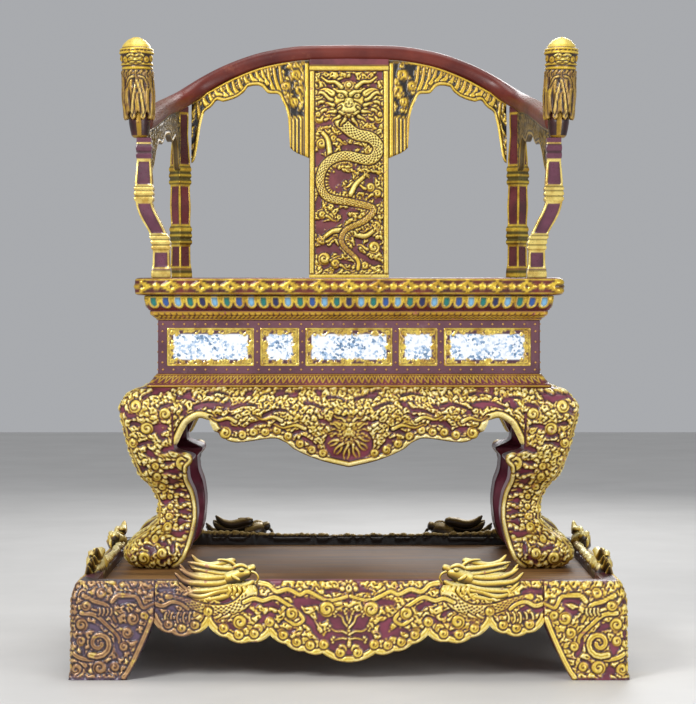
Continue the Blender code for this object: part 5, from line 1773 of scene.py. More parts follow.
@dataclass
class Body:
    """Cabriole legs and the carved aprons between them.

    Attributes:
        layout: shared places.
        gilding: finish of the carving.
        relief: height of the carving.
        clearance: gap to the board and to the moulding above.
        set_in: how far the aprons' ground is behind the legs' line.
        apron_back: set-in of the aprons' backs from the knee line.
        leg_outer: (share of the leg's height, set-in as a share of it) of the legs' outer faces.
        leg_inner: the same for their inner edges.
        apron_edge: (share of the half span, share of the leg's height) of the aprons' lower edge.
        bars: number of bars across a shin.
    """

    layout: Layout
    gilding: bpy.types.Material
    relief: float = 0.0065
    clearance: float = 0.0003
    set_in: float = 0.004
    apron_back: float = 0.070
    leg_outer: tuple[Point, ...] = (
        (0.0, 0.130), (0.04, 0.050), (0.09, 0.026), (0.145, 0.052), (0.205, 0.140), (0.27, 0.198),
        (0.35, 0.199), (0.44, 0.168), (0.53, 0.098), (0.66, 0.050), (0.78, 0.021), (0.88, 0.0),
        (0.955, 0.034), (1.0, 0.112),
    )
    leg_inner: tuple[Point, ...] = (
        (0.0, 0.260), (0.04, 0.330), (0.09, 0.368), (0.20, 0.402), (0.30, 0.412), (0.40, 0.400),
        (0.50, 0.366), (0.56, 0.362), (0.61, 0.395), (0.665, 0.294), (1.0, 0.294),
    )
    apron_edge: tuple[Point, ...] = (
        (0.0, 0.564), (0.151, 0.599), (0.299, 0.661), (0.349, 0.699), (0.425, 0.726), (0.643, 0.703),
        (0.705, 0.720), (0.754, 0.768), (0.790, 0.830), (0.852, 0.846), (0.930, 0.810), (1.0, 0.690),
    )
    bars: int = 8

    @property
    def tall(self) -> float:
        """Height of the legs."""
        return self.layout.leg_top - self.layout.board_top

    def height_at(self, share: float) -> float:
        """Height above the floor of a share of the legs' height."""
        return self.layout.board_top + share * self.tall

    def inset(self, table: tuple[Point, ...], z: np.ndarray) -> np.ndarray:
        """Set-in from the knee line at a height."""
        return self.tall * smooth_curve(table, (z - self.layout.board_top) / self.tall)

    def carve_leg(self, seed: int) -> Relief:
        """Scrolls, bars and borders of a leg; its map runs inwards from the knee line."""
        lay = self.layout
        relief = Relief((-0.002, lay.board_top), (0.150, lay.leg_top))
        tall = self.relief

        def region(u: np.ndarray, v: np.ndarray) -> np.ndarray:
            """Where the clouds may go."""
            low, high = self.inset(self.leg_outer, v), self.inset(self.leg_inner, v)
            share = (v - lay.board_top) / self.tall
            inner = np.where((share < 0.17) | (share > 0.60), high - 0.004, low + 0.52 * (high - low))
            inner = np.where(share > 0.86, high + 0.002, inner)
            return (u > low - 0.001) & (u < inner) & (share > 0.005) & (share < 0.99)

        relief.clouds(region, lambda u, v: 0.5 * np.sin(30 * v) - 0.3, 0.0160, 0.9 * tall, seed, 0.10, 1.8)
        for u, share, length, width, angle in (
            (0.060, 0.955, 0.030, 0.008, 0.2), (0.092, 0.90, 0.024, 0.011, 0.3),
            (0.034, 0.80, 0.022, 0.011, -0.3), (0.080, 0.79, 0.026, 0.012, 0.1),
            (0.050, 0.695, 0.026, 0.011, 0.2), (0.096, 0.66, 0.022, 0.014, 0.1),
            (0.062, 0.11, 0.026, 0.011, -0.4), (0.090, 0.06, 0.020, 0.009, 0.5),
            (0.104, 0.13, 0.018, 0.012, 1.4),
        ):
            relief.pierce((u, self.height_at(share)), length, width, angle)

        def near(z: float) -> float:
            """Set-in of the outer face."""
            return float(self.inset(self.leg_outer, np.array([z]))[0])

        def far(z: float) -> float:
            """Set-in of the inner edge."""
            return float(self.inset(self.leg_inner, np.array([z]))[0])

        for k in range(self.bars):
            z = self.height_at(0.165 + 0.058 * k)
            inner, outer = far(z) - 0.005, near(z)
            split = outer + (0.40 + 0.05 * math.sin(2.1 * k)) * (inner - outer)
            run, wave = inner - split, 0.0030 * (1 if k % 2 else -1)
            bar = [(inner, z + 0.004), (inner - 0.3 * run, z + wave), (inner - 0.65 * run, z - wave),
                   (split, z + 0.001), (split - 0.006, z - 0.006)]
            relief.stroke(spline(bar), 0.0034 + 0.0008 * math.sin(2.9 * k), 0.8 * tall, 0.85)
            for j in range(3):
                place = inner - (0.16 + 0.30 * j + 0.05 * math.sin(1.7 * k + j)) * run
                relief.dome(
                    (place, z + 0.0022 * math.cos(2.3 * j + k)), (0.0052, 0.0036), 0.95 * tall, moat=0.0008
                )
            relief.scroll(
                (split - 0.004, z - 0.001), 0.0074 + 0.0014 * math.sin(1.3 * k), k, 1 if k % 2 else -1,
                0.95 * tall
            )
            relief.stroke(
                [(inner - 0.004, z - 0.0095), (inner - 0.014, z - 0.0080)], 0.0018, 0.6 * tall, 0.5
            )
        z = np.linspace(self.height_at(0.02), self.height_at(0.535), 40)
        inner_line = np.stack([self.inset(self.leg_inner, z) - 0.0045, z], -1)
        relief.stroke(inner_line, 0.0040, 0.85 * tall, 1.0, moat=0.0016)
        curl_centre = (far(self.height_at(0.60)) - 0.017, self.height_at(0.592))
        relief.stroke(spiral(curl_centre, 0.0155, -0.4, -1, 1.3, 0.25), 0.0046, 0.9 * tall, 0.8, groove=0.2)
        z = np.linspace(self.height_at(0.54), self.height_at(0.63), 10)
        relief.stroke(np.stack([self.inset(self.leg_inner, z) - 0.004, z], -1), 0.0036, 0.85 * tall, 1.0)
        z = np.linspace(self.height_at(0.03), self.height_at(0.86), 60)
        relief.stroke(
            np.stack([self.inset(self.leg_outer, z) + 0.0016, z], -1), 0.0017, 0.55 * tall, 1.0, moat=0.0005
        )
        knee = ((0.030, 0.90, 0.0120), (0.088, 0.86, 0.0110), (0.052, 0.78, 0.0120), (0.024, 0.70, 0.0100))
        for number, (u, share, radius) in enumerate(knee):
            relief.scroll(
                (u, self.height_at(share)), radius, 1.3 * number, 1 if number % 2 else -1, tall
            )
        for number, (u, share, radius) in enumerate(((0.046, 0.065, 0.0120), (0.082, 0.090, 0.0100))):
            relief.scroll(
                (u, self.height_at(share)), radius, 0.8 + number, 1 if number % 2 else -1, tall
            )
        return relief

    def build_legs(self) -> None:
        """Makes the four legs."""
        lay = self.layout
        for number, corner in enumerate(Corner):
            pitch = 0.0018 if corner.is_front else 0.0030
            z = np.linspace(
                lay.board_top + self.clearance, lay.leg_top - self.clearance, int(self.tall / pitch)
            )
            block = CornerBlock(
                corner, lay.knee_x, lay.knee_y, lay.set_back, z, self.inset(self.leg_outer, z),
                self.inset(self.leg_inner, z), 0.16, int(0.104 / pitch),
            )
            points, data = block.skin(self.carve_leg(51 + number))
            skin = Skin(f"carved_leg_{corner.label}", self.gilding, "body_gilt", (f"leg_{corner.label}",))
            skin.lay(points, data)

    def edge(self, share: np.ndarray) -> np.ndarray:
        """Height of an apron's lower edge at a share of its half span."""
        return self.layout.board_top + self.tall * smooth_curve(self.apron_edge, np.abs(share))

    def face(self, z: np.ndarray) -> np.ndarray:
        """Set-in of an apron's ground at a height."""
        return self.inset(self.leg_outer, np.maximum(z, self.height_at(0.62))) + self.set_in

    def carve_apron(self, side: Side, half_span: float) -> Relief:
        """Scrolls, border and the middle mask of an apron."""
        lay = self.layout
        relief = Relief((-half_span, self.height_at(0.54)), (half_span, lay.leg_top))
        tall = self.relief
        along = np.linspace(-half_span, half_span, 400)
        share = along / half_span
        line = np.stack([along, self.edge(share) + 0.0048], -1)

        def region(u: np.ndarray, v: np.ndarray) -> np.ndarray:
            """Where the clouds may go."""
            return (v > self.edge(u / half_span) + 0.003) & (v < lay.leg_top - 0.001)

        relief.clouds(
            region, lambda u, v: 0.35 * np.sin(34 * u) - 2.2 * u, 0.0150, 0.9 * tall, 71 + side.value, 0.10,
            2.2,
        )
        for sign in (-1, 1):
            for place, level, length, width, angle in (
                (0.30, 0.745, 0.044, 0.012, -0.45), (0.52, 0.800, 0.034, 0.010, -0.2),
                (0.66, 0.770, 0.032, 0.014, 0.1), (0.12, 0.800, 0.032, 0.009, 0.5),
                (0.42, 0.865, 0.044, 0.009, -0.2), (0.60, 0.895, 0.050, 0.009, -0.1),
                (0.80, 0.900, 0.052, 0.013, -0.1), (0.22, 0.690, 0.040, 0.010, 0.7),
                (0.20, 0.900, 0.036, 0.008, 0.3), (0.75, 0.960, 0.040, 0.007, 0.0),
                (0.08, 0.940, 0.030, 0.007, 0.1), (0.93, 0.935, 0.034, 0.009, 0.2),
                (0.36, 0.955, 0.040, 0.007, 0.0), (0.40, 0.775, 0.026, 0.009, 0.3),
            ):
                relief.pierce(
                    (sign * place * half_span, self.height_at(level)), length, width, sign * angle
                )
        if side is Side.FRONT:
            self.carve_mask(relief)
        for start, end, width, groove in (
            (-1.0, -0.735, 0.0056, 0.0), (0.735, 1.0, 0.0056, 0.0), (-0.735, 0.735, 0.0042, 0.2)
        ):
            part = line[(share >= start) & (share <= end)]
            relief.stroke(part, width, 0.95 * tall, groove=groove, moat=0.0018)
        for sign in (-1, 1):
            centre = (sign * 0.705 * half_span, float(self.edge(np.array([0.705]))[0]) + 0.0125)
            relief.scroll(centre, 0.0110, -math.pi / 2, -sign, tall)
            for k in range(8):
                u = sign * (0.61 - 0.066 * k) * half_span
                v = float(self.edge(np.array([u / half_span]))[0]) + 0.0135 + 0.002 * (k % 2)
                relief.scroll((u, v), 0.0084, 2.2 * k, sign if k % 2 else -sign, 0.95 * tall)
            for place, level, length in ((0.34, 0.790, 0.060), (0.46, 0.835, 0.052), (0.72, 0.830, 0.050)):
                u, v = sign * place * half_span, self.height_at(level)
                path = [
                    (u - sign * length / 2, v - 0.004), (u - sign * length / 5, v + 0.003),
                    (u + sign * length / 5, v - 0.002)
                ]
                relief.stroke(
                    spline([*path, (u + sign * length / 2, v + 0.005)]), 0.0042, 0.95 * tall, 0.4,
                    groove=0.3
                )
        return relief

    def carve_mask(self, relief: Relief) -> None:
        """Dragon mask with a fan of wavy rays below it, at the middle of the front apron."""
        tall = self.relief
        chin = self.height_at(0.735)
        relief.clear((0.0, chin - 0.014), (0.048, 0.038))
        for k in range(13):
            angle = math.radians(-90 + 14 * (k - 6))
            start = (0.012 * math.cos(angle), chin + 0.002 + 0.010 * math.sin(angle))
            length = 0.040 - 0.0016 * abs(k - 6)
            relief.tendril(start, angle, length, 0.55 * (1 if k % 2 else -1), 0.0033, 0.95 * tall)
        relief.stamp(dragon_mask(), (0.0, chin + 0.018), 0.62)

    def build_aprons(self) -> None:
        """Makes the four aprons."""
        lay = self.layout
        for side in Side:
            across, out = side.halves(lay.knee_x, lay.knee_y)
            half_span = across - self.inset(self.leg_inner, np.array([lay.leg_top]))[0] - self.clearance
            pitch = {Side.FRONT: 0.0016, Side.BACK: 0.0031}.get(side, 0.0026)
            u = np.linspace(-half_span, half_span, int(2 * half_span / pitch))
            top = np.full_like(u, lay.leg_top - self.clearance)
            plate = Plate(
                u, self.edge(u / half_span), (top, top), int(0.115 / pitch),
                lambda v, out=out: out - self.face(v),
                lambda v, out=out: 0 * v + out - self.apron_back,
                lambda a, o, v, side=side: side.place(a, o, v, lay.set_back),
            )
            points, data = plate.skin(self.carve_apron(side, half_span))
            name = side.name.lower()
            Skin(f"carved_apron_{name}", self.gilding, "body_gilt", (f"apron_{name}",)).lay(points, data)

    def build(self) -> None:
        """Makes the legs and aprons."""
        self.build_legs()
        self.build_aprons()


@dataclass
class Moulding:
    """Moulding that runs round the throne, as rings one above the other.

    Attributes:
        name: the piece's name.
        node: the CAD node that it stands for.
        finish: its material.
        slot: the record's material slot.
        profile: (height, set-in from the knee line) of its outer face, from the bottom up.
        corner: radius of its corners.
        pitch: distance between columns.
        levels: number of rings.
    """

    name: str
    node: str
    finish: bpy.types.Material
    slot: str
    profile: tuple[Point, ...]
    corner: float = 0.004
    pitch: float = 0.0020
    levels: int = 18

    def build(
        self, layout: Layout, relief: Relief,
        extra: Callable[[np.ndarray, np.ndarray], dict[str, np.ndarray]] | None = None
    ) -> None:
        """Makes the moulding.

        Args:
            layout: shared places.
            relief: the map of its face; its first coordinate is 0 at the middle of each side.
            extra: further values from places along a side and up it.
        """
        runs = np.concatenate([[0.0], np.cumsum(np.hypot(*np.diff(np.array(self.profile), axis=0).T))])
        reach = np.linspace(0, runs[-1], self.levels)
        z = np.interp(reach, runs, [p[0] for p in self.profile])
        inset = np.interp(reach, runs, [p[1] for p in self.profile])
        rows, places, quiet = [], [], []
        arc = np.linspace(0, math.pi / 2, 5)[1:-1]
        for side in Side:
            across, out = side.halves(layout.knee_x, layout.knee_y)
            half = (across - inset)[:, None] - self.corner
            face = (out - inset)[:, None]
            coarse = {Side.FRONT: 1.0, Side.BACK: 2.8}.get(side, 1.5)
            share = np.linspace(-1, 1, int(2 * across / (coarse * self.pitch)))[None]
            u = half * share
            rows.append(side.place(u, face + 0 * u, z[:, None] + 0 * u, layout.set_back))
            turn_u = half + self.corner * np.sin(arc)
            turn_out = face - self.corner * (1 - np.cos(arc))
            rows.append(side.place(turn_u, turn_out, z[:, None] + 0 * turn_u, layout.set_back))
            places += [share * (across - inset.min()) + 0 * u, 0 * turn_u + across - inset.min()]
            quiet += [np.full(u.shape, side is Side.BACK), np.full(turn_u.shape, side is Side.BACK)]
        points = np.concatenate(rows, axis=1)
        u = np.concatenate(places, axis=1)
        plain = np.concatenate(quiet, axis=1)
        v = np.repeat(reach[:, None], u.shape[1], axis=1)
        height, gilt, crevice = relief.read(u, v)
        height = np.where(plain, 0.35 * height, height)
        height[0], height[-1] = np.minimum(height[0], 0), np.minimum(height[-1], 0)
        data = carving(height, gilt, crevice)
        if extra:
            data.update(extra(u, v))
        skin = Skin(self.name, self.finish, self.slot, (self.node,))
        skin.lay(raised(points, height), data)


@dataclass
class Waist:
    """Mouldings, studs, inlaid panels, petal band and seat slab.

    Attributes:
        layout: shared places.
        gilding: finish of the gilt mouldings.
        petals: finish of the petal band.
        lacquer: finish of the seat slab.
        frame: finish of the waist frame.
        inlay: finish of the panels.
        brass: finish of the studs.
        waist_inset: set-in of the waist from the knee line.
        lower_inset: set-in of the lower moulding.
        petal_inset: set-in of the petal band.
        slab_inset: set-in of the seat slab.
        petal_pitch: distance between two petals.
        diamond_pitch: distance between two diamonds of the seat's edge.
        stud_pitch: distance between two studs.
        recess: depth of the panels' pockets.
    """

    layout: Layout
    gilding: bpy.types.Material
    petals: bpy.types.Material
    lacquer: bpy.types.Material
    frame: bpy.types.Material
    inlay: bpy.types.Material
    brass: bpy.types.Material
    waist_inset: float = 0.069
    lower_inset: float = 0.048
    petal_inset: float = 0.046
    slab_inset: float = 0.026
    petal_pitch: float = 0.0244
    diamond_pitch: float = 0.060
    stud_pitch: float = 0.0205
    recess: float = 0.007

    def carve_leaves(self, length: float) -> Relief:
        """Row of pointed leaves over a plain gilt line, for the lower moulding."""
        relief = Relief((-self.layout.knee_x, 0.0), (self.layout.knee_x, length), 0.0007)
        ends = [(-self.layout.knee_x, 0.0024), (self.layout.knee_x, 0.0024)]
        relief.stroke(ends, 0.0022, 0.0010)
        pitch = 0.0134
        count = int(self.layout.knee_x / pitch) + 1
        for k in range(-count, count + 1):
            u = k * pitch
            relief.stroke(
                [(u - pitch * 0.46, length - 0.004), (u, 0.0115)], 0.0021, 0.0021, 0.7, moat=0.0008
            )
            relief.stroke(
                [(u + pitch * 0.46, length - 0.004), (u, 0.0115)], 0.0021, 0.0021, 0.7, moat=0.0004
            )
            relief.dome((u, length - 0.0065), (0.0024, 0.0030), 0.0020)
            relief.dome((u + pitch / 2, 0.0100), (0.0020, 0.0016), 0.0014)
        relief.stroke(
            [(-self.layout.knee_x, length - 0.0022), (self.layout.knee_x, length - 0.0022)], 0.0013, 0.0012
        )
        return relief

    def carve_rope(self, length: float) -> Relief:
        """Twisted rope under a row of small scallops."""
        edge = self.layout.knee_x
        relief = Relief((-edge, 0.0), (edge, length), 0.0007)
        relief.stroke([(-edge, 0.0018), (edge, 0.0018)], 0.0015, 0.0010)
        pitch = 0.0095
        count = int(edge / pitch) + 1
        for k in range(-count, count + 1):
            u = k * pitch
            relief.stroke([(u - 0.0045, 0.0060), (u + 0.0045, 0.0125)], 0.0026, 0.0022, 1.0, moat=0.0006)
        for k in range(-int(edge / 0.0122) - 1, int(edge / 0.0122) + 2):
            relief.dome((k * 0.0122, length - 0.0072), (0.0057, 0.0042), 0.0018, moat=0.0005)
        relief.stroke([(-edge, length - 0.0035), (edge, length - 0.0035)], 0.0013, 0.0012, moat=0.0004)
        return relief

    def carve_petals(self, length: float) -> Relief:
        """Lotus petals with gilt borders round enamelled hollows, over a dark scalloped line."""
        edge = self.layout.knee_x
        relief = Relief((-edge, 0.0), (edge, length), 0.0007)
        count = int(edge / self.petal_pitch) + 1
        for k in range(-count, count + 1):
            u = k * self.petal_pitch
            half = self.petal_pitch / 2
            outline = [
                (u - 0.62 * half, length - 0.003), (u - 0.66 * half, 0.014), (u - 0.40 * half, 0.0085),
                (u, 0.0065), (u + 0.40 * half, 0.0085), (u + 0.66 * half, 0.014),
                (u + 0.62 * half, length - 0.003),
            ]
            relief.stroke(spline(outline, 4), 0.0022, 0.0022, moat=0.0003)
            relief.dome((u + half, length - 0.0085), (0.0026, 0.0066), 0.0014, moat=0.0002)
        relief.stroke([(-edge, length - 0.002), (edge, length - 0.002)], 0.0018, 0.0022, moat=0.0003)
        return relief

    def petal_colours(self, u: np.ndarray, v: np.ndarray) -> dict[str, np.ndarray]:
        """Enamel tone of each petal: 0 for lacquer, then navy, sky blue, teal and blue."""
        order = np.array([0.3, 0.5, 0.7, 0.9, 0.5, 0.7])
        number = np.round(u / self.petal_pitch).astype(int)
        inside = np.abs(u / self.petal_pitch - number) < 0.33
        return {"enamel": np.where(inside & (v > 0.0075), order[number % len(order)], 0.0)}

    def carve_seat_edge(self, length: float, rise: float) -> Relief:
        """Chain of diamonds and rosettes between two gilt lines.

        Args:
            length: length of the edge's profile.
            rise: distance from the profile's start to the edge's middle.
        """
        edge = self.layout.knee_x
        relief = Relief((-edge, 0.0), (edge, length), 0.0008)
        count = int(edge / self.diamond_pitch) + 1
        for k in range(-count, count + 1):
            u = k * self.diamond_pitch
            corners = [
                (u - 0.0150, rise), (u, rise + 0.0082), (u + 0.0150, rise), (u, rise - 0.0082),
                (u - 0.0150, rise)
            ]
            relief.stroke(corners, 0.0034, 0.0032, moat=0.0006)
            relief.dome((u, rise), (0.0078, 0.0060), 0.0016, moat=0.0)
            relief.drill((u, rise), 0.0034, 0.0008)
            for sign in (-1, 1):
                relief.dome((u + sign * 0.0185, rise), (0.0034, 0.0030), 0.0022, moat=0.0)
                relief.dome((u + sign * 0.0240, rise + 0.0012 * sign), (0.0026, 0.0022), 0.0018, moat=0.0)
            centre = u + self.diamond_pitch / 2
            for petal in range(5):
                angle = petal * 2 * math.pi / 5 + 0.3
                where = (centre + 0.0042 * math.cos(angle), rise + 0.0042 * math.sin(angle))
                relief.dome(where, (0.0032, 0.0030), 0.0022, moat=0.0)
            relief.dome((centre, rise), (0.0022, 0.0022), 0.0030, moat=0.0)
        for v in (rise - 0.0135, rise + 0.0135):
            relief.stroke([(-edge, v), (edge, v)], 0.0011, 0.0007, moat=0.0)
        return relief

    def build_mouldings(self) -> None:
        """Makes the lower moulding, the rope, the petal band and the seat slab."""
        lay = self.layout
        low, high = lay.leg_top, lay.waist_base
        step = high - low
        back = self.lower_inset + 0.35 * (self.waist_inset - self.lower_inset)
        profile = (
            (low, self.lower_inset), (low + 0.20 * step, self.lower_inset),
            (low + 0.34 * step, back - 0.001), (low + 0.65 * step, self.waist_inset - 0.008),
            (high - 0.0003, self.waist_inset - 0.002),
        )
        length = profile_length(profile)
        moulding = Moulding(
            "leaf_moulding", "lower_moulding", self.gilding, "moulding_gilt", profile, 0.008, 0.0023, 18
        )
        moulding.build(lay, self.carve_leaves(length))
        low, high = lay.waist_top, lay.petal_base
        step = high - low
        profile = (
            (low, self.waist_inset - 0.002), (low + 0.22 * step, self.waist_inset - 0.003),
            (low + 0.60 * step, self.petal_inset + 0.010), (high - 0.0003, self.petal_inset + 0.008),
        )
        length = profile_length(profile)
        moulding = Moulding(
            "rope_band", "rope_moulding", self.gilding, "moulding_gilt", profile, 0.008, 0.0023, 18
        )
        moulding.build(lay, self.carve_rope(length))
        low, high = lay.petal_base, lay.slab_base
        profile = (
            (low, self.petal_inset + 0.006), (low + 0.25 * (high - low), self.petal_inset + 0.002),
            (low + 0.7 * (high - low), self.petal_inset - 0.001), (high - 0.0003, self.petal_inset - 0.001),
        )
        length = profile_length(profile)
        moulding = Moulding(
            "lotus_petals", "petal_band", self.petals, "moulding_gilt", profile, 0.006, 0.0022, 17
        )
        moulding.build(lay, self.carve_petals(length), self.petal_colours)
        low, high = lay.slab_base, lay.seat_top
        turn = 0.0070
        profile = [(low, self.slab_inset + 0.030)]
        for angle in np.linspace(0, math.pi / 2, 5):
            profile.append(
                (low + turn * (1 - math.cos(angle)), self.slab_inset + turn * (1 - math.sin(angle)))
            )
        for angle in np.linspace(math.pi / 2, 0, 5):
            profile.append(
                (high - turn * (1 - math.cos(angle)), self.slab_inset + turn * (1 - math.sin(angle)))
            )
        profile.append((high, self.slab_inset + 0.030))
        length = profile_length(profile)
        moulding = Moulding(
            "seat", "seat_slab", self.lacquer, "seat_lacquer", tuple(profile), 0.014, 0.0023, 27
        )
        moulding.build(lay, self.carve_seat_edge(length, length / 2))

    def panels(self, half_length: float, wide_middle: bool) -> list[Point]:
        """Middle and width of each panel along a side, from a margin, gaps and a narrow width."""
        margin, gap, narrow = 0.018, 0.012, 0.077
        half = half_length - margin
        if wide_middle:
            wide = 2 * (half - narrow - gap)
            offset = (wide + narrow) / 2 + gap
            return [(-offset, narrow), (0.0, wide), (offset, narrow)]
        wide = (2 * half - 2 * narrow - 4 * gap) / 3
        near = (wide + narrow) / 2 + gap
        return [
            (-(half - wide / 2), wide), (-near, narrow), (0.0, wide), (near, narrow),
            (half - wide / 2, wide)
        ]

    def carve_panel(self, half: float, tall: float, seed: int) -> Relief:
        """Carved gilt border of a panel round its flat inlay."""
        relief = Relief((-half, -tall), (half, tall), 0.0006)
        rise = 0.0022
        frame = [
            (-half + 0.0018, -tall + 0.0018), (half - 0.0018, -tall + 0.0018), (half - 0.0018, tall - 0.0018),
            (-half + 0.0018, tall - 0.0018), (-half + 0.0018, -tall + 0.0018),
        ]
        relief.stroke(frame, 0.0020, rise, moat=0.0)
        middles = [(0.0, tall - 0.0085), (0.0, 0.0085 - tall), (half - 0.0090, 0.0), (0.0090 - half, 0.0)]
        corners = [(sx * (half - 0.0095), sy * (tall - 0.0090)) for sx in (-1, 1) for sy in (-1, 1)]
        for u, v in corners:
            relief.scroll((u, v), 0.0050, math.atan2(-v, -u), 1 if u * v > 0 else -1, rise)
            relief.dome((u * 0.88, v * 0.84), (0.0035, 0.0030), rise, moat=0.0002)
        for u, v in middles:
            for k in range(5):
                angle = 2 * math.pi * k / 5 + 0.3
                relief.dome(
                    (u + 0.0036 * math.cos(angle), v + 0.0036 * math.sin(angle)), (0.0028, 0.0026), rise,
                    moat=0.0
                )
            relief.dome((u, v), (0.0016, 0.0016), 1.3 * rise, moat=0.0)

        def region(u: np.ndarray, v: np.ndarray) -> np.ndarray:
            """Border that takes leaves and tendrils."""
            edge = np.minimum(half - np.abs(u), tall - np.abs(v))
            wave = np.cos(2 * math.pi * np.abs(u) / 0.036 + seed) + 0.6 * np.cos(
                2 * math.pi * v / 0.023 + 2 * seed
            )
            return (edge > 0.0045) & (edge < 0.0120 + 0.0028 * wave)

        relief.clouds(region, lambda u, v: 2.0 * np.sin(90 * (u + v)), 0.0074, rise, seed, 0.30, 1.8)
        return relief

    def build_panels(self) -> None:
        """Makes the inlaid panels at the front and the sides."""
        lay = self.layout
        seed = 101
        for side in (Side.FRONT, Side.RIGHT, Side.LEFT):
            across, out = side.halves(lay.knee_x, lay.knee_y)
            places = self.panels(across - self.waist_inset, side is not Side.FRONT)
            face = out - self.waist_inset
            for number, (centre, width) in enumerate(places, 1):
                node = f"panel_{side.name.lower()}_{number}"
                low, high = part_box(node)
                half, tall = width / 2 - 0.0003, (high.z - low.z) / 2
                middle = (high.z + low.z) / 2
                pitch = 0.0018 if side is Side.FRONT else 0.0026
                u = np.linspace(-half, half, int(2 * half / pitch))
                plate = Plate(
                    u, np.full_like(u, -tall), (np.full_like(u, tall), np.full_like(u, tall)),
                    int(2 * tall / pitch),
                    lambda v, face=face: 0 * v + face - 0.0006,
                    lambda v, face=face: 0 * v + face - self.recess + 0.0004,
                    lambda a, o, v, s=side, c=centre, m=middle: s.place(a + c, o, v + m, lay.set_back), 3,
                )
                seed += 1
                points, data = plate.skin(self.carve_panel(half, tall, seed))
                rim = np.minimum(half - np.abs(u)[:, None], tall - np.abs(points[..., 2] - middle))
                data["border"] = np.clip((0.0125 - rim) / 0.0015, 0, 1)
                Skin(
                    f"inlay_{side.name.lower()}_{number}", self.inlay, "panel_inlay", (node,)
                ).lay(points, data, sharp=50.0)

    def build_studs(self) -> None:
        """Makes the small brass studs in rows on the waist frame."""
        lay = self.layout
        spots = []
        for side in Side:
            across, out = side.halves(lay.knee_x, lay.knee_y)
            half = across - self.waist_inset
            count = int((2 * half - 0.02) / self.stud_pitch)
            along = np.linspace(-half + 0.010, half - 0.010, count + 1)
            rows = [(u, z) for u in along for z in (lay.waist_base + 0.0075, lay.waist_top - 0.0078)]
            if side is not Side.BACK:
                places = self.panels(half, side is not Side.FRONT)
                edges = [-half + 0.009, half - 0.009]
                edges += [(a[0] + a[1] / 2 + b[0] - b[1] / 2) / 2 for a, b in zip(places, places[1:])]
                rows += [
                    (u, (lay.waist_base + lay.waist_top) / 2 + k * self.stud_pitch)
                    for u in edges
                    for k in (-1.5, -0.5, 0.5, 1.5)
                ]
            spots += [side.place(u, out - self.waist_inset, z, lay.set_back) for u, z in rows]
        studs = []
        for spot in spots:
            bpy.ops.mesh.primitive_uv_sphere_add(
                segments=8, ring_count=5, radius=0.0023, location=tuple(float(c) for c in spot)
            )
            stud = bpy.context.active_object
            bpy.ops.object.transform_apply(location=True, rotation=True, scale=True)
            bpy.ops.object.shade_smooth()
            studs.append(stud)
        Skin("waist_studs", self.brass, "moulding_gilt").join(studs)

    def build(self, nodes: dict[str, bpy.types.Object]) -> None:
        """Makes the waist and dresses its frame, which stays as the frame has it."""
        self.build_mouldings()
        self.build_panels()
        self.build_studs()
        assign(nodes["waist_frame"], self.frame)


def assign(node: bpy.types.Object, finish: bpy.types.Material) -> None:
    """Gives a node of the frame a better material."""
    for place in node.material_slots:
        place.material = finish
    if not node.material_slots:
        node.data.materials.append(finish)
    LOG.info("%s: dressed as it is", node.name)


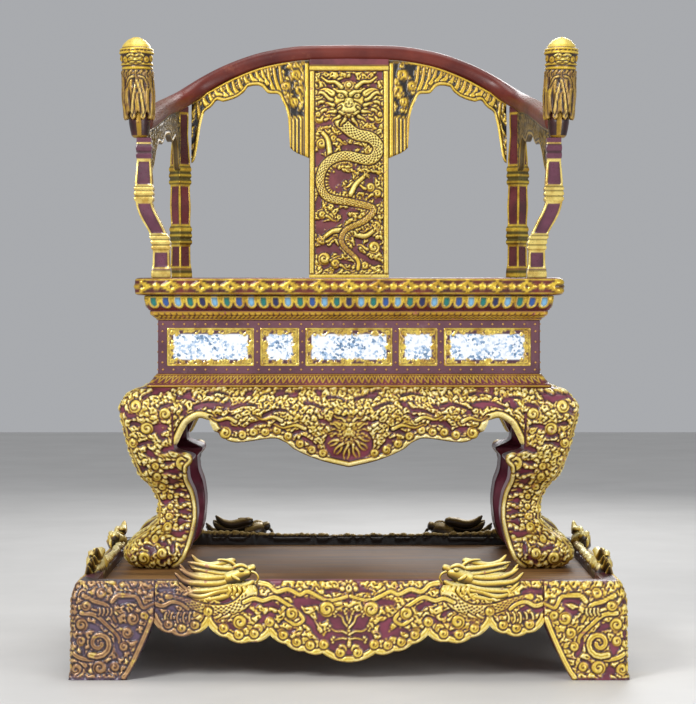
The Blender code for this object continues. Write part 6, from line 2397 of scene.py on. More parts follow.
@dataclass
class Back:
    """Crest rail, posts, dragon finials, splat and spandrels.

    Attributes:
        layout: shared places.
        gilding: finish of the carved and gilt pieces.
        gap_shade_gilding: finish of the back's spandrels, whose sunk ground is nearly black as painted shade
            between the leaves.
        shaded: darker finish of the spandrels under the arms.
        rail: finish of the crest rail.
        front_post: finish of the arm posts.
        rear_post: finish of the back posts.
        knob: finish of the finials.
        radius: radius of the rail.
        rail_rise: height of the crest over the seat.
        arm_rise: height of the arms' ends over the seat.
        lean: how far the back leans over its height, as a share.
        splat_width: width of the splat.
        splat_thickness: its thickness.
        border: width of its frame.
        recess: depth of its field.
        top_strip: plain strip over its field.
        spandrel: thickness of the spandrels.
        spread: distance from the middle to the arms' ends.
        post_y: where the arm posts stand, front to back.
        back_y: where the back's plane meets the seat, front to back.
        rear_top: place in plan of a back post's top.
        front_top: distance from the middle to an arm post's top.
        spandrel_ground: how far the spandrels' ground is sunk in either face.
        finial_radius: radius that the finials' map is wound round.
        path: crest rail from the middle of the back to the arm's end: x, y and z as shares.
        spandrel_edge: (share of the way from splat to post, drop below the rail).
        arm_edge: the same under an arm, from the back post to the arm post.
        dragon: the splat's dragon, as shares of its field.
        legs: its legs.
    """

    layout: Layout
    gilding: bpy.types.Material
    gap_shade_gilding: bpy.types.Material
    shaded: bpy.types.Material
    rail: bpy.types.Material
    front_post: bpy.types.Material
    rear_post: bpy.types.Material
    knob: bpy.types.Material
    radius: float = 0.019
    rail_rise: float = 0.485
    arm_rise: float = 0.307
    lean: float = 0.080
    splat_width: float = 0.169
    splat_thickness: float = 0.022
    border: float = 0.011
    recess: float = 0.006
    top_strip: float = 0.020
    spandrel: float = 0.014
    spread: float = 0.405
    post_y: float = -0.051
    back_y: float = 0.348
    rear_top: Point = (0.359, 0.340)
    front_top: float = 0.403
    spandrel_ground: float = 0.0035
    finial_radius: float = 0.030
    path: tuple[tuple[float, ...], ...] = (
        (0.0, 0.0, 1.0), (0.22, 0.0, 0.992), (0.42, 0.002, 0.930), (0.603, 0.010, 0.798),
        (0.763, 0.036, 0.612), (0.867, 0.110, 0.438), (0.921, 0.235, 0.337), (0.951, 0.420, 0.253),
        (0.973, 0.650, 0.145), (0.990, 0.860, 0.045), (1.0, 1.0, 0.0),
    )
    spandrel_edge: tuple[Point, ...] = (
        (0.0, 0.210), (0.155, 0.185), (0.168, 0.124), (0.208, 0.089), (0.261, 0.064), (0.343, 0.058),
        (0.400, 0.040), (0.4415, 0.0335), (0.524, 0.029), (0.569, 0.038), (0.629, 0.042), (0.719, 0.038),
        (0.794, 0.026), (0.846, 0.034), (0.900, 0.036), (0.935, 0.060), (0.955, 0.092), (0.985, 0.128),
        (1.0, 0.130),
    )
    arm_edge: tuple[Point, ...] = (
        (0.0, 0.125), (0.05, 0.115), (0.09, 0.070), (0.16, 0.046), (0.26, 0.052), (0.36, 0.034),
        (0.48, 0.030), (0.60, 0.042), (0.70, 0.034), (0.80, 0.050), (0.88, 0.078), (0.95, 0.088),
        (1.0, 0.088),
    )
    dragon: tuple[Point, ...] = (
        (-0.24, 0.745), (0.18, 0.688), (0.66, 0.666), (0.86, 0.612), (0.60, 0.560), (-0.14, 0.580),
        (-0.66, 0.540), (-0.84, 0.452), (-0.62, 0.376), (0.10, 0.350), (0.70, 0.320), (0.46, 0.262),
        (-0.10, 0.215), (-0.20, 0.150), (0.24, 0.070), (0.26, 0.024),
    )
    legs: tuple[tuple[Point, ...], ...] = (
        ((-0.55, 0.585), (-0.62, 0.66), (-0.80, 0.70)),
        ((0.05, 0.390), (0.20, 0.440), (0.45, 0.480)),
        ((-0.10, 0.215), (-0.45, 0.210), (-0.72, 0.180)),
        ((0.10, 0.200), (0.45, 0.185), (0.74, 0.215)),
    )

    def rail_half(self, steps: int) -> np.ndarray:
        """Right half of the rail's centre line, from the middle of the back to the arm's end."""
        seat = self.layout.seat_top
        back = self.back_y + self.lean * self.rail_rise + 0.004
        t = np.linspace(0, len(self.path) - 1, steps + 1)
        across, forward, up = (
            smooth_curve([(k, row[axis]) for k, row in enumerate(self.path)], t) for axis in range(3)
        )
        z = seat + self.arm_rise + (self.rail_rise - self.arm_rise) * up
        return np.stack([across * self.spread, back + (self.post_y - back) * forward, z], -1)

    def underside(self, x: np.ndarray, y: np.ndarray) -> np.ndarray:
        """Height of the rail's underside over places in plan, on the right half."""
        line = self.rail_half(60)
        a, run = line[:-1], np.diff(line, axis=0)
        flat = run[:, 0] ** 2 + run[:, 1] ** 2
        x, y = np.atleast_1d(x)[..., None], np.atleast_1d(y)[..., None]
        t = np.clip(((np.abs(x) - a[:, 0]) * run[:, 0] + (y - a[:, 1]) * run[:, 1]) / flat, 0, 1)
        away = np.hypot(np.abs(x) - a[:, 0] - t * run[:, 0], y - a[:, 1] - t * run[:, 1])
        drop = np.sqrt(np.maximum(self.radius**2 - away**2, 0)) * np.linalg.norm(run, axis=1) / np.sqrt(flat)
        height = a[:, 2] + t * run[:, 2] - drop
        return np.take_along_axis(height, away.argmin(-1)[..., None], -1)[..., 0]

    def build_rail(self) -> None:
        """Makes the crest rail, a softly squared bar with dust and a painted highlight on top of the arms."""
        half = self.rail_half(90)
        path = np.concatenate([(half * (-1, 1, 1))[:0:-1], half])
        heading = headings(path)
        side = np.cross(heading, (0.0, 0.0, 1.0))
        side /= np.linalg.norm(side, axis=1, keepdims=True)
        up = np.cross(side, heading)
        count = 28
        angle = 2 * math.pi * np.arange(count) / count
        bevel = 1 - 0.035 * np.cos(4 * angle)
        runs = np.concatenate([[0], np.cumsum(np.linalg.norm(np.diff(path, axis=0), axis=1))])
        ends = np.minimum(runs, runs[-1] - runs) / 0.010
        size = self.radius * np.sqrt(1 - (1 - np.clip(ends + 0.35, 0, 1)) ** 2 * 0.7)
        sideways, upwards = bevel * np.cos(angle), bevel * np.sin(angle)
        spokes = sideways[None, :, None] * side[:, None] + upwards[None, :, None] * up[:, None]
        rings = path[:, None] + size[:, None, None] * spokes
        dust_and_highlight = np.repeat(
            np.clip((runs.max() * 0.24 - np.minimum(runs, runs[-1] - runs)) / 0.10, 0, 1)[:, None], count,
            axis=1
        )
        top = np.clip(np.sin(angle), 0, 1)[None] * np.ones((len(path), 1))
        skin = Skin("bent_rail", self.rail, "rail_lacquer", ("crest_rail",))
        # Dust and painted highlight: the lighter film is heaviest on the upper side of the arms.
        skin.lay(rings, {"dust_and_highlight": dust_and_highlight * (0.25 + 0.75 * top)}, poles=True)

    def plane(self, u: np.ndarray, out: np.ndarray, v: np.ndarray) -> np.ndarray:
        """World points on the back's leaning plane; out is towards the sitter."""
        u, out, v = np.broadcast_arrays(u, out, v)
        return np.stack([u, self.back_y + self.lean * (v - self.layout.seat_top) - out, v], -1)

    def carve_splat(self, low: float, high: float) -> Relief:
        """Frame, dragon, mask and clouds of the splat."""
        half = self.splat_width / 2
        relief = Relief((-half, low), (half, high), 0.0008)
        field_low, field_top = low + self.border, high - self.top_strip
        inner = half - self.border

        def place(u: float, v: float) -> Point:
            """Place from shares of the field."""
            return u * inner, field_low + v * (field_top - field_low)

        tall = 0.0095

        def region(u: np.ndarray, v: np.ndarray) -> np.ndarray:
            """Where the clouds may go."""
            return (np.abs(u) < inner - 0.001) & (v > field_low + 0.001) & (v < field_top - 0.002)

        relief.clouds(region, lambda u, v: 1.2 * np.sin(45 * v) + 0 * u, 0.0155, 0.66 * tall, 91, 0.22, 1.9)
        for u, v, length, width, angle in (
            (0.15, 0.672, 0.048, 0.017, 0.0), (0.10, 0.620, 0.040, 0.012, 0.0),
            (-0.70, 0.735, 0.026, 0.016, 0.2), (-0.62, 0.640, 0.034, 0.017, 0.8),
            (0.78, 0.760, 0.020, 0.018, 0.0), (-0.25, 0.470, 0.030, 0.030, 0.3),
            (0.62, 0.480, 0.030, 0.014, 0.0), (0.40, 0.398, 0.050, 0.010, -0.2),
            (0.05, 0.305, 0.036, 0.011, 0.0), (-0.80, 0.370, 0.034, 0.016, 1.2),
            (-0.62, 0.235, 0.034, 0.020, 0.2), (0.72, 0.275, 0.028, 0.016, 1.3),
            (0.42, 0.205, 0.030, 0.010, 0.4), (-0.65, 0.115, 0.040, 0.018, 0.0),
            (-0.30, 0.045, 0.060, 0.014, 0.1), (0.40, 0.075, 0.050, 0.016, -0.5),
            (0.72, 0.150, 0.030, 0.014, 0.3), (-0.85, 0.560, 0.016, 0.030, 0.0),
        ):
            relief.pierce(place(u, v), length, width, angle)
        body = spline([place(u, v) for u, v in self.dragon], 8)
        for share_u, share_v, radius, hand in (
            (-0.72, 0.075, 0.0125, 1), (-0.40, 0.050, 0.0095, -1), (0.72, 0.130, 0.0120, -1),
            (0.45, 0.040, 0.0085, 1), (-0.80, 0.165, 0.0095, 1), (0.78, 0.235, 0.0100, 1),
            (0.30, 0.455, 0.0105, 1), (0.62, 0.425, 0.0090, -1), (-0.80, 0.640, 0.0105, 1),
            (-0.45, 0.665, 0.0075, -1), (0.82, 0.395, 0.0085, 1), (-0.78, 0.290, 0.0080, -1),
            (-0.86, 0.765, 0.0105, 1), (0.86, 0.765, 0.0105, -1), (-0.62, 0.790, 0.0080, -1),
            (0.62, 0.790, 0.0080, 1),
        ):
            where = place(share_u, share_v)
            relief.scroll(where, radius, 1.0, hand, 0.75 * tall)
            sign = 1 if share_u < 0 else -1
            relief.tendril(
                (where[0] + sign * radius, where[1] - 0.3 * radius), 0.0 if sign > 0 else math.pi, 0.026,
                0.8 * hand, 0.0034, 0.6 * tall,
            )
        for leg in self.legs:
            line = spline([place(u, v) for u, v in leg])
            relief.stroke(line, 0.0062, 0.9 * tall, 0.7, scales=0.004, moat=0.002)
            end, heading = line[-1], line[-1] - line[-3]
            turn = math.atan2(heading[1], heading[0])
            for k in range(4):
                angle = turn + (k - 1.5) * 0.55
                claw = [end, end + 0.008 * np.array([math.cos(angle), math.sin(angle)])]
                claw.append(claw[1] + 0.004 * np.array([math.cos(angle - 0.9), math.sin(angle - 0.9)]))
                relief.stroke(claw, 0.0019, 0.8 * tall, 0.5, moat=0.0006)
        across = crossings(body)
        last = int(0.86 * len(body))
        for spot, way in zip(body[4:last:2], across[4:last:2]):
            relief.stroke([spot + way * 0.0085, spot + way * 0.0175], 0.0034, 0.75 * tall, 0.4, moat=0.0010)
        relief.scaly(body, 0.0128, tall, 0.32)
        relief.clear(place(0.0, 0.862), (0.040, 0.046))
        relief.stamp(dragon_mask(), place(0.0, 0.862), 1.22)
        edge = self.border / 2
        for line in (
            [(-half + edge, low), (-half + edge, high)], [(half - edge, low), (half - edge, high)],
            [(-half, low + edge), (half, low + edge)],
            [(-half, field_top + edge), (half, field_top + edge)],
        ):
            relief.stroke(line, edge * 0.98, self.recess, groove=0.12, moat=0.0010)
        strip = relief.v > field_top + 2 * edge
        relief.height[strip] = self.recess
        relief.gilt[strip] = 0.0
        return relief

    def build_splat(self) -> None:
        """Makes the splat."""
        seat = self.layout.seat_top
        half = self.splat_width / 2
        low, crest = seat, seat + self.rail_rise - self.radius
        u = np.linspace(-half, half, 132)
        base = self.splat_thickness - self.recess
        faces = []
        for out in (self.splat_thickness - 0.004, 0.001):
            faces.append(self.underside(u, self.back_y + self.lean * self.rail_rise - out) + 0.0012)
        faces[0] = np.minimum(faces[0], faces[1] + 0.0010)
        relief = self.carve_splat(low, crest)
        plate = Plate(
            u, np.full_like(u, low + 0.0004), (faces[0], faces[1]), 322, lambda v: 0 * v + base,
            lambda v: 0 * v, self.plane,
        )
        points, data = plate.skin(relief)
        rows = plate.rows + 5
        data["gilt"][:, rows:] = 0.0
        Skin("dragon_splat", self.gilding, "back_gilt", ("back_splat",)).lay(points, data)

    def carve_spandrel(
        self, share: Callable[[np.ndarray], np.ndarray], table: tuple[Point, ...], length: float, seed: int,
        hanging: float
    ) -> Relief:
        """Slanting leaves and a scalloped border under a rail.

        The map's second coordinate is the drop below the rail, counted up from the lowest edge.

        Args:
            share: turns a place along the board into a share of its length.
            table: (share, drop) of its lower edge.
            length: the board's length.
            seed: seed of the small scrolls.
            hanging: share of the length at the splat that hangs down plain, or 0 for none.

        Returns:
            Its relief.
        """
        deep = max(drop for _, drop in table)
        relief = Relief((0.0, 0.0), (length, deep), 0.0008)
        tall = 0.0042
        along = np.linspace(0, length, 200)
        drops = smooth_curve(table, share(along))
        start = hanging * length

        def region(u: np.ndarray, v: np.ndarray) -> np.ndarray:
            """Between the rail and the lower edge."""
            low = deep - smooth_curve(table, share(u))
            return (v > low + 0.004) & (v < deep - 0.002) & ((v > deep - 0.110) | (u > start))

        relief.clouds(region, lambda u, v: 2.2 + 0 * u, 0.0135, 0.95 * tall, seed, 0.42, 1.7)
        number = int((length - start) / 0.0125)
        for k in range(number):
            u = start + (k + 0.6) * 0.0125
            drop = float(smooth_curve(table, share(np.array([u])))[0])
            if drop > 0.075:
                continue
            path = [
                (u - 0.010, deep - drop + 0.004), (u - 0.002, deep - drop * 0.55), (u + 0.003, deep - 0.003)
            ]
            relief.stroke(spline(path), 0.0044, tall, 0.6, groove=0.25)
        border = np.stack([along, deep - drops + 0.0030], -1)
        relief.stroke(border, 0.0030, 0.85 * tall, moat=0.0010)
        relief.stroke([(0.0, deep - 0.0022), (length, deep - 0.0022)], 0.0022, 0.7 * tall, moat=0.0006)
        if hanging:
            low = deep - table[0][1]
            plain = (relief.v[:, None] < deep - 0.118) & (relief.u[None] < start * 1.08)
            relief.height[plain] = 0.65 * tall
            relief.gilt[plain] = 1.0
            relief.stroke(
                [(0.0055, low), (0.0055, deep - 0.010)], 0.0046, 0.95 * tall, groove=0.15, moat=0.0012
            )
            for place, drop, radius in (
                (0.030, 0.030, 0.012), (0.020, 0.062, 0.010), (0.033, 0.088, 0.010), (0.050, 0.050, 0.010)
            ):
                relief.scroll(
                    (place, deep - drop), radius, drop * 90, 1 if place > 0.025 else -1, 1.3 * tall
                )
            for k in range(3):
                u = 0.018 + 0.008 * k
                relief.stroke([(u, low), (u, deep - 0.125)], 0.0026, 0.9 * tall, groove=0.2)
        return relief

    def build_spandrels(self) -> None:
        """Makes the spandrels of the back and under the arms."""
        inner = self.splat_width / 2 + 0.0003
        for hand, name in ((-1, "left"), (1, "right")):
            low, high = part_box(f"back_spandrel_{name}")
            outer = max(abs(low.x), abs(high.x))
            length = outer - inner + 0.007
            start = (self.splat_thickness - self.spandrel) / 2
            u = np.linspace(0, length, 142)

            def back_place(a: np.ndarray, out: np.ndarray, v: np.ndarray) -> np.ndarray:
                """Points of a back spandrel: along from the splat, drop counted up."""
                return self.plane(hand * (inner + a), out + start, v)

            tops = []
            for out in (self.spandrel, 0.0):
                y = self.back_y + self.lean * (self.rail_rise - 0.04) - out - start
                tops.append(self.underside(inner + u, y) + 0.0002)
            tops[0] = np.minimum(tops[0], tops[1] + 0.0010)
            drops = smooth_curve(self.spandrel_edge, u / length)
            self.lay_spandrel(
                f"carved_spandrel_{name}", f"back_spandrel_{name}", u, tops, drops, 46, back_place,
                self.carve_spandrel(lambda a: a / length, self.spandrel_edge, length, 131 + hand, 0.165),
            )
            rear, front = np.array(self.rear_top), np.array([self.front_top, self.post_y])
            rear_gap, front_gap = 0.0265, 0.0240
            way = (front - rear) / np.linalg.norm(front - rear)
            begin = rear + way * rear_gap
            reach = float(np.linalg.norm(front - rear)) - rear_gap - front_gap
            side_way = np.array([way[1], -way[0]])
            if side_way[0] < 0:
                side_way = -side_way

            def arm_place(a: np.ndarray, out: np.ndarray, v: np.ndarray) -> np.ndarray:
                """Points of an arm spandrel: along from the back post to the front."""
                a, out, v = np.broadcast_arrays(a, out, v)
                spot = begin + a[..., None] * way + (out[..., None] - self.spandrel / 2) * side_way
                return np.stack([hand * spot[..., 0], spot[..., 1], v], -1)

            u = np.linspace(0, reach, 110)
            tops = []
            for out in (self.spandrel, 0.0):
                spots = begin + u[:, None] * way + (out - self.spandrel / 2) * side_way
                tops.append(self.underside(spots[:, 0], spots[:, 1]) + 0.0002)
            tops[0] = np.minimum(tops[0], tops[1] + 0.0010)
            drops = smooth_curve(self.arm_edge, u / reach)
            self.lay_spandrel(
                f"carved_arm_spandrel_{name}", f"arm_spandrel_{name}", u, tops, drops, 32, arm_place,
                self.carve_spandrel(lambda a: a / reach, self.arm_edge, reach, 141 + hand, 0.0),
            )

    def lay_spandrel(
        self, name: str, node: str, u: np.ndarray, tops: list[np.ndarray], drops: np.ndarray, rows: int,
        place: Callable[[np.ndarray, np.ndarray, np.ndarray], np.ndarray], relief: Relief,
    ) -> None:
        """Makes a spandrel whose carving follows the rail above it.

        Args:
            name: the piece's name.
            node: the node that it stands for.
            u: places of its columns.
            tops: height of its top on the face and on the back.
            drops: how far its edge is below the rail at each column.
            rows: rows up its face.
            place: world points from places along, out and up.
            relief: its carving, by place along and by the drop counted up.
        """
        deep = relief.high[1]
        low = np.minimum(tops[0], tops[1]) - drops
        t = np.linspace(0, 1, rows)
        over = np.array([0.06, 0.5, 0.94])

        def level(top: np.ndarray, share: np.ndarray) -> np.ndarray:
            """Heights at shares of the way up."""
            return low[:, None] + (top - low)[:, None] * share

        front, rear = level(tops[0], t), level(tops[1], t[::-1])
        near, far = self.spandrel - self.spandrel_ground, self.spandrel_ground
        cross = [
            tops[0][:, None] * (1 - over) + tops[1][:, None] * over, np.repeat(low[:, None], 3, axis=1)
        ]
        outs = [
            0 * front + near, near * (1 - over) + far * over + 0 * cross[0],
            0 * rear + far, far * (1 - over) + near * over + 0 * cross[1],
        ]
        v = np.concatenate([front, cross[0], rear, cross[1]], axis=1)
        out = np.concatenate(outs, axis=1)
        a = np.repeat(u[:, None], v.shape[1], axis=1)
        height, gilt, crevice = (np.zeros(v.shape) for _ in range(3))
        for part, top in ((slice(0, rows), tops[0]), (slice(rows + 3, 2 * rows + 3), tops[1])):
            below = (top[:, None] - v[:, part]) * (drops / np.maximum(top - low, 1e-6))[:, None]
            values = relief.read(a[:, part], deep - below)
            share = 1.0 if part.start == 0 else 0.8
            height[:, part], gilt[:, part], crevice[:, part] = share * values[0], values[1], values[2]
        gilt[:, rows : rows + 3] = 0.3
        gilt[:, -3:] = 0.8
        points = raised(place(a, out, v), height)
        # Painted shade in both spandrel finishes: a nearly black ground, and under the arms darkened leaf as
        # well.
        finish = self.shaded if node.startswith("arm") else self.gap_shade_gilding
        Skin(name, finish, "back_gilt", (node,)).lay(points, carving(height, gilt, crevice))

    def build_post(
        self, name: str, node: str, finish: bpy.types.Material, foot: np.ndarray, shift: Point, turn: float,
        width: float, height: float
    ) -> None:
        """Makes a square post with hollowed panels between groups of rolls.

        Args:
            name: the piece's name.
            node: the node that it stands for.
            finish: its material.
            foot: middle of its foot.
            shift: how far its top is moved across and back.
            turn: angle that it is turned by, in degrees.
            width: its width.
            height: its height.
        """
        share = np.linspace(0, 1, 104)
        size = smooth_curve((
            (0.0, 1.14), (0.05, 1.12), (0.09, 1.0), (0.195, 0.97), (0.21, 1.0), (0.30, 1.0), (0.32, 0.98),
            (0.42, 1.05), (0.53, 0.98), (0.56, 1.0), (0.64, 1.0), (0.67, 1.02), (0.76, 0.92), (0.84, 0.82),
            (0.90, 0.86), (1.0, 0.86),
        ), share)
        gilt_level = np.zeros_like(share)
        tone = np.zeros_like(share)
        groups = [(0.195, 0.305, 3, 0.17), (0.545, 0.655, 3, 0.17), (0.0, 0.05, 1, 0.02)]
        if turn == 0:
            groups.append((0.845, 0.955, 2, 0.08))
        rolled = np.zeros(share.shape, dtype=bool)
        for low, high, rolls, swell in groups:
            t = (share - low) / (high - low)
            inside = (t >= 0) & (t <= 1)
            wave = np.abs(np.sin(rolls * math.pi * np.clip(t, 0, 1)))
            size = np.where(inside, size + swell * wave**0.7, size)
            gilt_level = np.where(inside, 1.0 if low < 0.8 else 0.0, gilt_level)
            rolled |= inside
            tone = np.where(inside & (wave < (0.45 if turn == 0 else 0.86)), 1.0, tone)
        lean_t = np.clip((share - 0.22) / 0.34, 0, 1)
        sway = lean_t**2 * (3 - 2 * lean_t)
        centre = foot + np.stack([shift[0] * sway, shift[1] * sway, share * height], -1)
        across = np.array([-1.0, -0.93, -0.80, -0.72, -0.35, 0.0, 0.35, 0.72, 0.80, 0.93])
        panel = ~rolled & (share > 0.06) & (share < 0.97)
        ends = [0.06, 0.97] + [end for low, high, rolls, swell in groups if low > 0 for end in (low, high)]
        edges = np.minimum(np.abs(share[:, None] - np.array(ends)).min(1) * height / 0.006, 1)
        rings, gilts, tones, creases = [], [], [], []
        for k in range(4):
            angle = math.radians(turn + 90 * k)
            normal = np.array([math.cos(angle), math.sin(angle), 0.0])
            sideways = np.array([-math.sin(angle), math.cos(angle), 0.0])
            hollow = np.where(np.abs(across) < 0.76, 1.0, 0.0)[None] * (panel & (edges > 0.6))[:, None]
            half = width / 2 * size[:, None]
            reach = half * (1 - 0.03 * (np.abs(across) > 0.97)) - 0.0013 * hollow
            rings.append(
                centre[:, None] + reach[..., None] * normal + (half * across)[..., None] * sideways
            )
            gilts.append(np.where(panel[:, None], 1.0 - hollow, gilt_level[:, None] + 0 * hollow))
            tones.append(tone[:, None] + 0 * hollow)
            # Painted shade: the edges of the hollow panels, and on the arm posts the grooves between the
            # rolls, are darkened.
            rim_shade = 0.35 * hollow * (np.abs(across) > 0.7)[None]
            creases.append(np.where((tone[:, None] > 0.5) & (turn == 0), 0.75, rim_shade))
        points = np.concatenate(rings, axis=1)
        data = {
            "gilt": np.concatenate(gilts, 1), "enamel": np.concatenate(tones, 1),
            "crevice": np.concatenate(creases, 1)
        }
        Skin(name, finish, "post_lacquer", (node,)).lay(points, data, sharp=40.0)

    def build_posts(self) -> None:
        """Makes the arm posts and the back posts."""
        for hand, name in ((-1, "left"), (1, "right")):
            low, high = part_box(f"arm_post_{name}")
            foot = np.array([hand * 0.369, self.post_y, low.z])
            self.build_post(
                f"turned_arm_post_{name}", f"arm_post_{name}", self.front_post, foot, (hand * 0.034, 0.0),
                0.0, 0.033, high.z - low.z
            )
            low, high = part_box(f"back_post_{name}")
            foot = np.array([hand * 0.356, 0.314, low.z])
            top = float(self.underside(*np.array(self.rear_top))[0]) + 0.004
            self.build_post(
                f"turned_back_post_{name}", f"back_post_{name}", self.rear_post, foot,
                (hand * 0.003, 0.026), 45.0, 0.030, top - low.z
            )

    def build_finials(self) -> None:
        """Makes the dragon finials: a lacquered neck, a mane in pointed locks, a face and a banded dome."""
        size = 0.062
        sections = (
            (0.0, 0.02, 0.20, 0.20), (0.02, 0.02, 0.27, 0.28), (0.08, 0.01, 0.31, 0.33),
            (0.15, 0.0, 0.34, 0.37), (0.24, 0.0, 0.33, 0.36), (0.285, 0.0, 0.32, 0.35),
            (0.30, 0.0, 0.445, 0.455), (0.36, 0.0, 0.475, 0.485), (0.42, 0.0, 0.49, 0.50),
            (0.55, 0.02, 0.475, 0.505), (0.655, 0.04, 0.48, 0.53), (0.675, 0.06, 0.43, 0.50),
            (0.70, 0.07, 0.46, 0.54), (0.80, 0.10, 0.50, 0.58), (0.86, 0.08, 0.49, 0.55),
            (0.92, 0.04, 0.42, 0.46), (0.965, 0.01, 0.29, 0.31), (1.0, 0.0, 0.10, 0.10),
        )
        columns = np.array(sections)
        for hand, name in ((-1, "left"), (1, "right")):
            low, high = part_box(f"dragon_finial_{name}")
            tall = high.z - low.z
            share = np.unique(np.concatenate([np.linspace(0, 1, 118), np.linspace(0.283, 0.302, 8)]))
            forward, wide, deep = (np.interp(share, columns[:, 0], columns[:, k]) for k in (1, 2, 3))
            count = 80
            angle = 2 * math.pi * (np.arange(count) + 0.5) / count
            relief = self.carve_finial(tall)
            turn = np.mod(angle + math.pi / 2 + math.pi, 2 * math.pi) - math.pi
            turn = np.broadcast_to(turn[None], (len(share), count))
            level = np.repeat(share[:, None], count, axis=1)
            height, gilt, crevice = relief.read(turn * self.finial_radius, level * tall)
            zigzag = np.abs(np.mod(turn / (2 * math.pi) * 9 + 0.5, 1.0) - 0.5) * 2
            under = (share[:, None] > 0.296) & (share[:, None] < 0.42)
            drop = np.where(under, 0.024 * zigzag * (0.42 - share[:, None]) / 0.124, 0.0)
            x = hand * (0.411 + 0.008 * share)[:, None] + wide[:, None] * size * np.cos(angle)
            y = self.post_y - forward[:, None] * size + deep[:, None] * size * np.sin(angle)
            z = low.z + level * tall - drop
            points = np.stack([x, y, z], -1)
            height[:2], height[-2:] = 0.0, 0.0
            points = raised(points, height)
            points[..., 2] = np.clip(points[..., 2], low.z, high.z)
            neck = level < 0.292
            strip = np.abs(turn) < 0.20
            gilt = np.where(neck, np.where(strip | (level < 0.02), 1.0, 0.0), gilt)
            skin = Skin(f"dragon_head_{name}", self.knob, "back_gilt", (f"dragon_finial_{name}",))
            # Painted highlight: the dome above the bands is coloured as if it stood high, so it reads light;
            # the neck gets no painted shade.
            data = carving(np.where(level > 0.89, 0.0065, height), gilt, np.where(neck, 0.0, crevice))
            data["patina"] = np.where(neck | (level > 0.66) | (gilt < 0.5), 0.0, 0.55)
            skin.lay(points, data, poles=True)

    def carve_finial(self, tall: float) -> Relief:
        """Locks, face and bands of a finial; its map runs round it from the front."""
        reach = math.pi * self.finial_radius
        relief = Relief((-reach, 0.0), (reach, tall), 0.0007)
        rise = 0.0042
        for k in range(-9, 10):
            u = k * reach / 9
            length = 0.34 * tall
            wave = 0.0022 * (1 if k % 2 else -1)
            path = [
                (u, 0.300 * tall), (u + wave, 0.300 * tall + 0.33 * length),
                (u - wave, 0.300 * tall + 0.66 * length), (u, 0.645 * tall)
            ]
            relief.stroke(spline(path), 0.0046, rise, 0.8, groove=0.35, moat=0.0006)
            relief.scroll(
                (u + reach / 18, 0.62 * tall), 0.0046, 0.0, 1 if k % 2 else -1, 0.9 * rise
            )
        for sign in (-1, 1):
            relief.stroke(
                [(0.0, 0.56 * tall), (sign * 0.011, 0.33 * tall)], 0.0030, 1.2 * rise, moat=0.0012
            )
            fringe = mirrored([(0.006, 0.60 * tall), (0.015, 0.58 * tall), (0.023, 0.50 * tall)], sign)
            relief.stroke(spline(fringe), 0.0028, 1.2 * rise, 0.5)
        relief.stroke([(-reach, 0.685 * tall), (reach, 0.685 * tall)], 0.0034, 0.8 * rise, moat=0.0010)
        relief.stroke([(-reach, 0.725 * tall), (reach, 0.725 * tall)], 0.0026, 0.7 * rise, moat=0.0008)
        relief.dome((0.0, 0.775 * tall), (0.0150, 0.0115), 0.9 * rise, moat=0.0012)
        relief.dome((0.0, 0.757 * tall), (0.0062, 0.0052), 1.5 * rise, moat=0.0004)
        for sign in (-1, 1):
            relief.dome((sign * 0.0068, 0.785 * tall), (0.0044, 0.0036), 1.5 * rise, moat=0.0006)
            relief.drill((sign * 0.0068, 0.785 * tall), 0.0013, -0.5 * rise)
            lid = mirrored([(0.002, 0.800 * tall), (0.008, 0.812 * tall), (0.0150, 0.798 * tall)], sign)
            relief.stroke(spline(lid), 0.0018, 1.4 * rise)
            relief.scroll((sign * 0.0215, 0.765 * tall), 0.0062, 0.0, sign, rise)
            relief.scroll((sign * 0.036, 0.780 * tall), 0.0064, 0.0, -sign, rise)
            relief.stroke(
                [(sign * 0.0022, 0.742 * tall), (sign * 0.0105, 0.738 * tall)], 0.0014, 1.2 * rise
            )
        for level, width in ((0.838, 0.0030), (0.868, 0.0022)):
            relief.stroke([(-reach, level * tall), (reach, level * tall)], width, 0.9 * rise, moat=0.0014)
        for k in range(-12, 13):
            relief.dome((k * reach / 12, 0.853 * tall), (0.0018, 0.0018), 0.8 * rise, moat=0.0)
        crown = (relief.v > 0.88 * tall)[:, None] & np.ones((1, len(relief.u)), bool)
        relief.height[crown] = 0.0006
        relief.gilt[crown] = 1.0
        return relief

    def build(self) -> None:
        """Makes the back and arms."""
        self.build_rail()
        self.build_posts()
        self.build_finials()
        self.build_splat()
        self.build_spandrels()


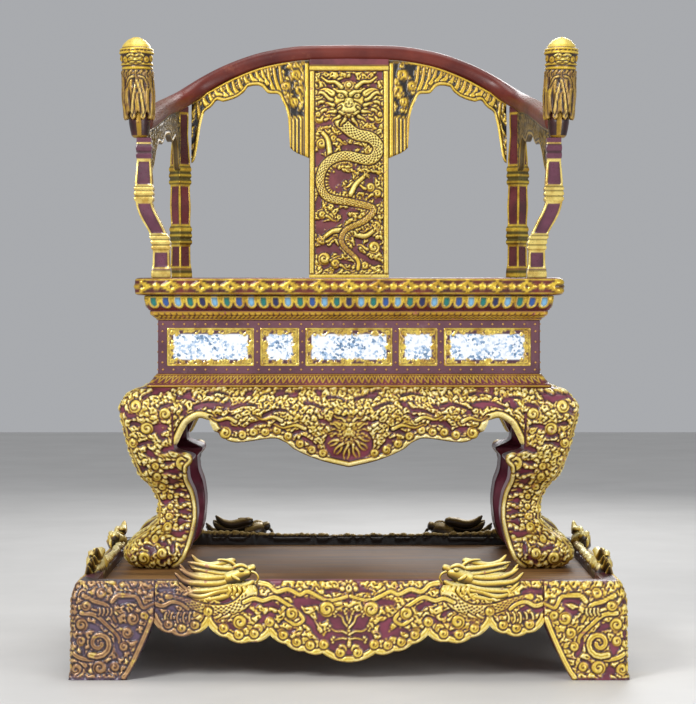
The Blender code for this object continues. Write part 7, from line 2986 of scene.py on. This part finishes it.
@dataclass
class Studio:
    """Plain floor, soft lights and the camera.

    Attributes:
        distance: how far the camera is before the throne's middle.
        eye: its height.
        lens: focal length.
        shift_x: sideways shift of the frame.
        shift_y: upward shift of the frame.
    """

    distance: float = 4.94
    eye: float = 0.689
    lens: float = 126.97
    shift_x: float = -0.0014
    shift_y: float = -0.0739

    def add_camera(self) -> None:
        """Adds the camera at the viewing place of the photograph."""
        bpy.ops.object.camera_add(
            location=(0.0, -self.distance, self.eye), rotation=(math.pi / 2, 0.0, 0.0)
        )
        camera = bpy.context.active_object
        camera.data.sensor_fit = "AUTO"
        camera.data.sensor_width = 36.0
        camera.data.lens = self.lens
        camera.data.shift_x = self.shift_x
        camera.data.shift_y = self.shift_y
        bpy.context.scene.camera = camera

    def add_light(
        self, name: str, place: tuple[float, ...], aim: tuple[float, ...], size: float, power: float
    ) -> None:
        """Adds a square area light.

        Args:
            name: its name.
            place: where it stands.
            aim: the place that it points at.
            size: its width.
            power: its power in watts.
        """
        bpy.ops.object.light_add(type="AREA", location=place)
        light = bpy.context.active_object
        light.name = name
        away = Vector(aim) - Vector(place)
        light.rotation_euler = away.to_track_quat("-Z", "Y").to_euler()
        light.data.size = size
        light.data.energy = power

    def build(self) -> None:
        """Adds the floor, the lights and the sky."""
        bpy.context.scene.view_settings.view_transform = "Standard"
        s = Shader("pale_floor")
        s.join(
            s.ramp(s.noise(3.0), (0.3, (0.60, 0.59, 0.57)), (0.7, (0.66, 0.65, 0.63))),
            s.surface.inputs["Base Color"]
        )
        s.surface.inputs["Roughness"].default_value = 0.55
        bpy.ops.object.select_all(action="DESELECT")
        bpy.ops.mesh.primitive_plane_add(size=14.0, location=(0.0, 1.0, -0.0005))
        floor = bpy.context.active_object
        floor.name = "floor"
        bpy.ops.object.transform_apply(location=True, rotation=True, scale=True)
        floor.data.materials.append(s.material)
        self.add_light("key", (-1.9, -3.0, 2.5), (0.0, 0.0, 0.6), 1.3, 105.0)
        self.add_light("fill", (2.6, -3.2, 1.3), (0.0, 0.0, 0.5), 2.0, 55.0)
        self.add_light("top", (0.0, 0.4, 3.3), (0.0, 0.1, 0.6), 1.8, 34.0)
        self.add_light("rim", (0.6, 3.0, 2.2), (0.0, 0.1, 0.7), 1.6, 45.0)
        world = bpy.data.worlds.new("studio")
        world.use_nodes = True
        world.node_tree.nodes["Background"].inputs[0].default_value = (0.86, 0.88, 0.92, 1.0)
        world.node_tree.nodes["Background"].inputs[1].default_value = 0.46
        bpy.context.scene.world = world


def main() -> None:
    """Loads the frame and builds the throne's looks around it."""
    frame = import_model()
    bpy.ops.object.select_all(action="DESELECT")
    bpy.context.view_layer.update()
    logging.basicConfig(level=logging.INFO, format="%(message)s")
    studio = Studio()
    studio.add_camera()
    layout = Layout.measured()
    gilding = Gilding("gilded_carving", glint=(1.0, 0.91, 0.47), bright=(0.88, 0.68, 0.12)).material()
    stand_gilding = Gilding("stand_gilding", glint=(1.0, 0.90, 0.42), bright=(0.86, 0.64, 0.10),
                            worn_copper=True).material()
    # A darker copy of the gilding, nearly black, for the rear feet and the back skirt.
    darkened_rear = Gilding("blackened_gilding", glint=(0.42, 0.29, 0.08), bright=(0.10, 0.060, 0.020),
                   ochre=(0.022, 0.014, 0.008), ground=(0.018, 0.008, 0.008),
                   ground_dark=(0.006, 0.004, 0.004),
                   metallic=0.2).material()
    # Painted shade: the back spandrels' sunk ground is nearly black, standing for the shade in the gaps
    # between their leaves.
    gap_shade_gilding = Gilding(
        "spandrel_gilding", glint=(1.0, 0.88, 0.38), ground=(0.010, 0.006, 0.004),
        ground_dark=(0.003, 0.002, 0.002), wear=0.1
    ).material()
    # Painted shade: a darkened copy of the gilding for the spandrels under the arms.
    shaded = Gilding("arm_spandrel_gilding", glint=(0.80, 0.60, 0.15), bright=(0.48, 0.31, 0.045),
                     ochre=(0.15, 0.090, 0.018), ground=(0.008, 0.006, 0.004),
                     ground_dark=(0.003, 0.002, 0.002),
                     wear=0.1).material()
    splat_gilding = Gilding(
        "splat_gilding", ground=(0.205, 0.045, 0.053), ground_dark=(0.10, 0.020, 0.026), wear=0.1
    ).material()
    Stand(layout, stand_gilding, darkened_rear).build()
    assign(frame["nodes"]["stand_board"], BoardWood("board_wood").material())
    Body(layout, gilding).build()
    Waist(
        layout, gilding,
        PaintedGilt(
            "petal_enamel", (0.115, 0.010, 0.012), (0.050, 0.005, 0.006), enamelled=True
        ).material(),
        PaintedGilt("seat_lacquer_gilt", (0.150, 0.016, 0.016), (0.055, 0.007, 0.008)).material(),
        Lacquer(
            "waist_lacquer", (0.150, 0.060, 0.080), (0.085, 0.032, 0.044), (0.230, 0.120, 0.130), 0.30
        ).material(),
        Inlay("panel_inlay").material(),
        PaintedGilt("stud_brass", (0.55, 0.30, 0.08), (0.35, 0.16, 0.04)).material(),
    ).build(frame["nodes"])
    Back(
        layout, splat_gilding, gap_shade_gilding, shaded,
        Lacquer(
            "rail_lacquer", (0.170, 0.030, 0.018), (0.085, 0.013, 0.010), (0.230, 0.065, 0.035), 0.24,
            dust_and_highlight_film=True
        ).material(),
        PaintedGilt(
            "arm_post_lacquer", (0.150, 0.042, 0.074), (0.075, 0.020, 0.036), bright=(0.88, 0.69, 0.20),
            ochre=(0.55, 0.34, 0.06)
        ).material(),
        PaintedGilt(
            "back_post_lacquer", (0.140, 0.020, 0.024), (0.065, 0.010, 0.012), banded=True
        ).material(),
        Gilding("finial_gilding", ground=(0.050, 0.006, 0.007), ground_dark=(0.016, 0.003, 0.003),
                worn_copper=True).material(),
    ).build()
    studio.build()


if __name__ == "__main__":
    main()
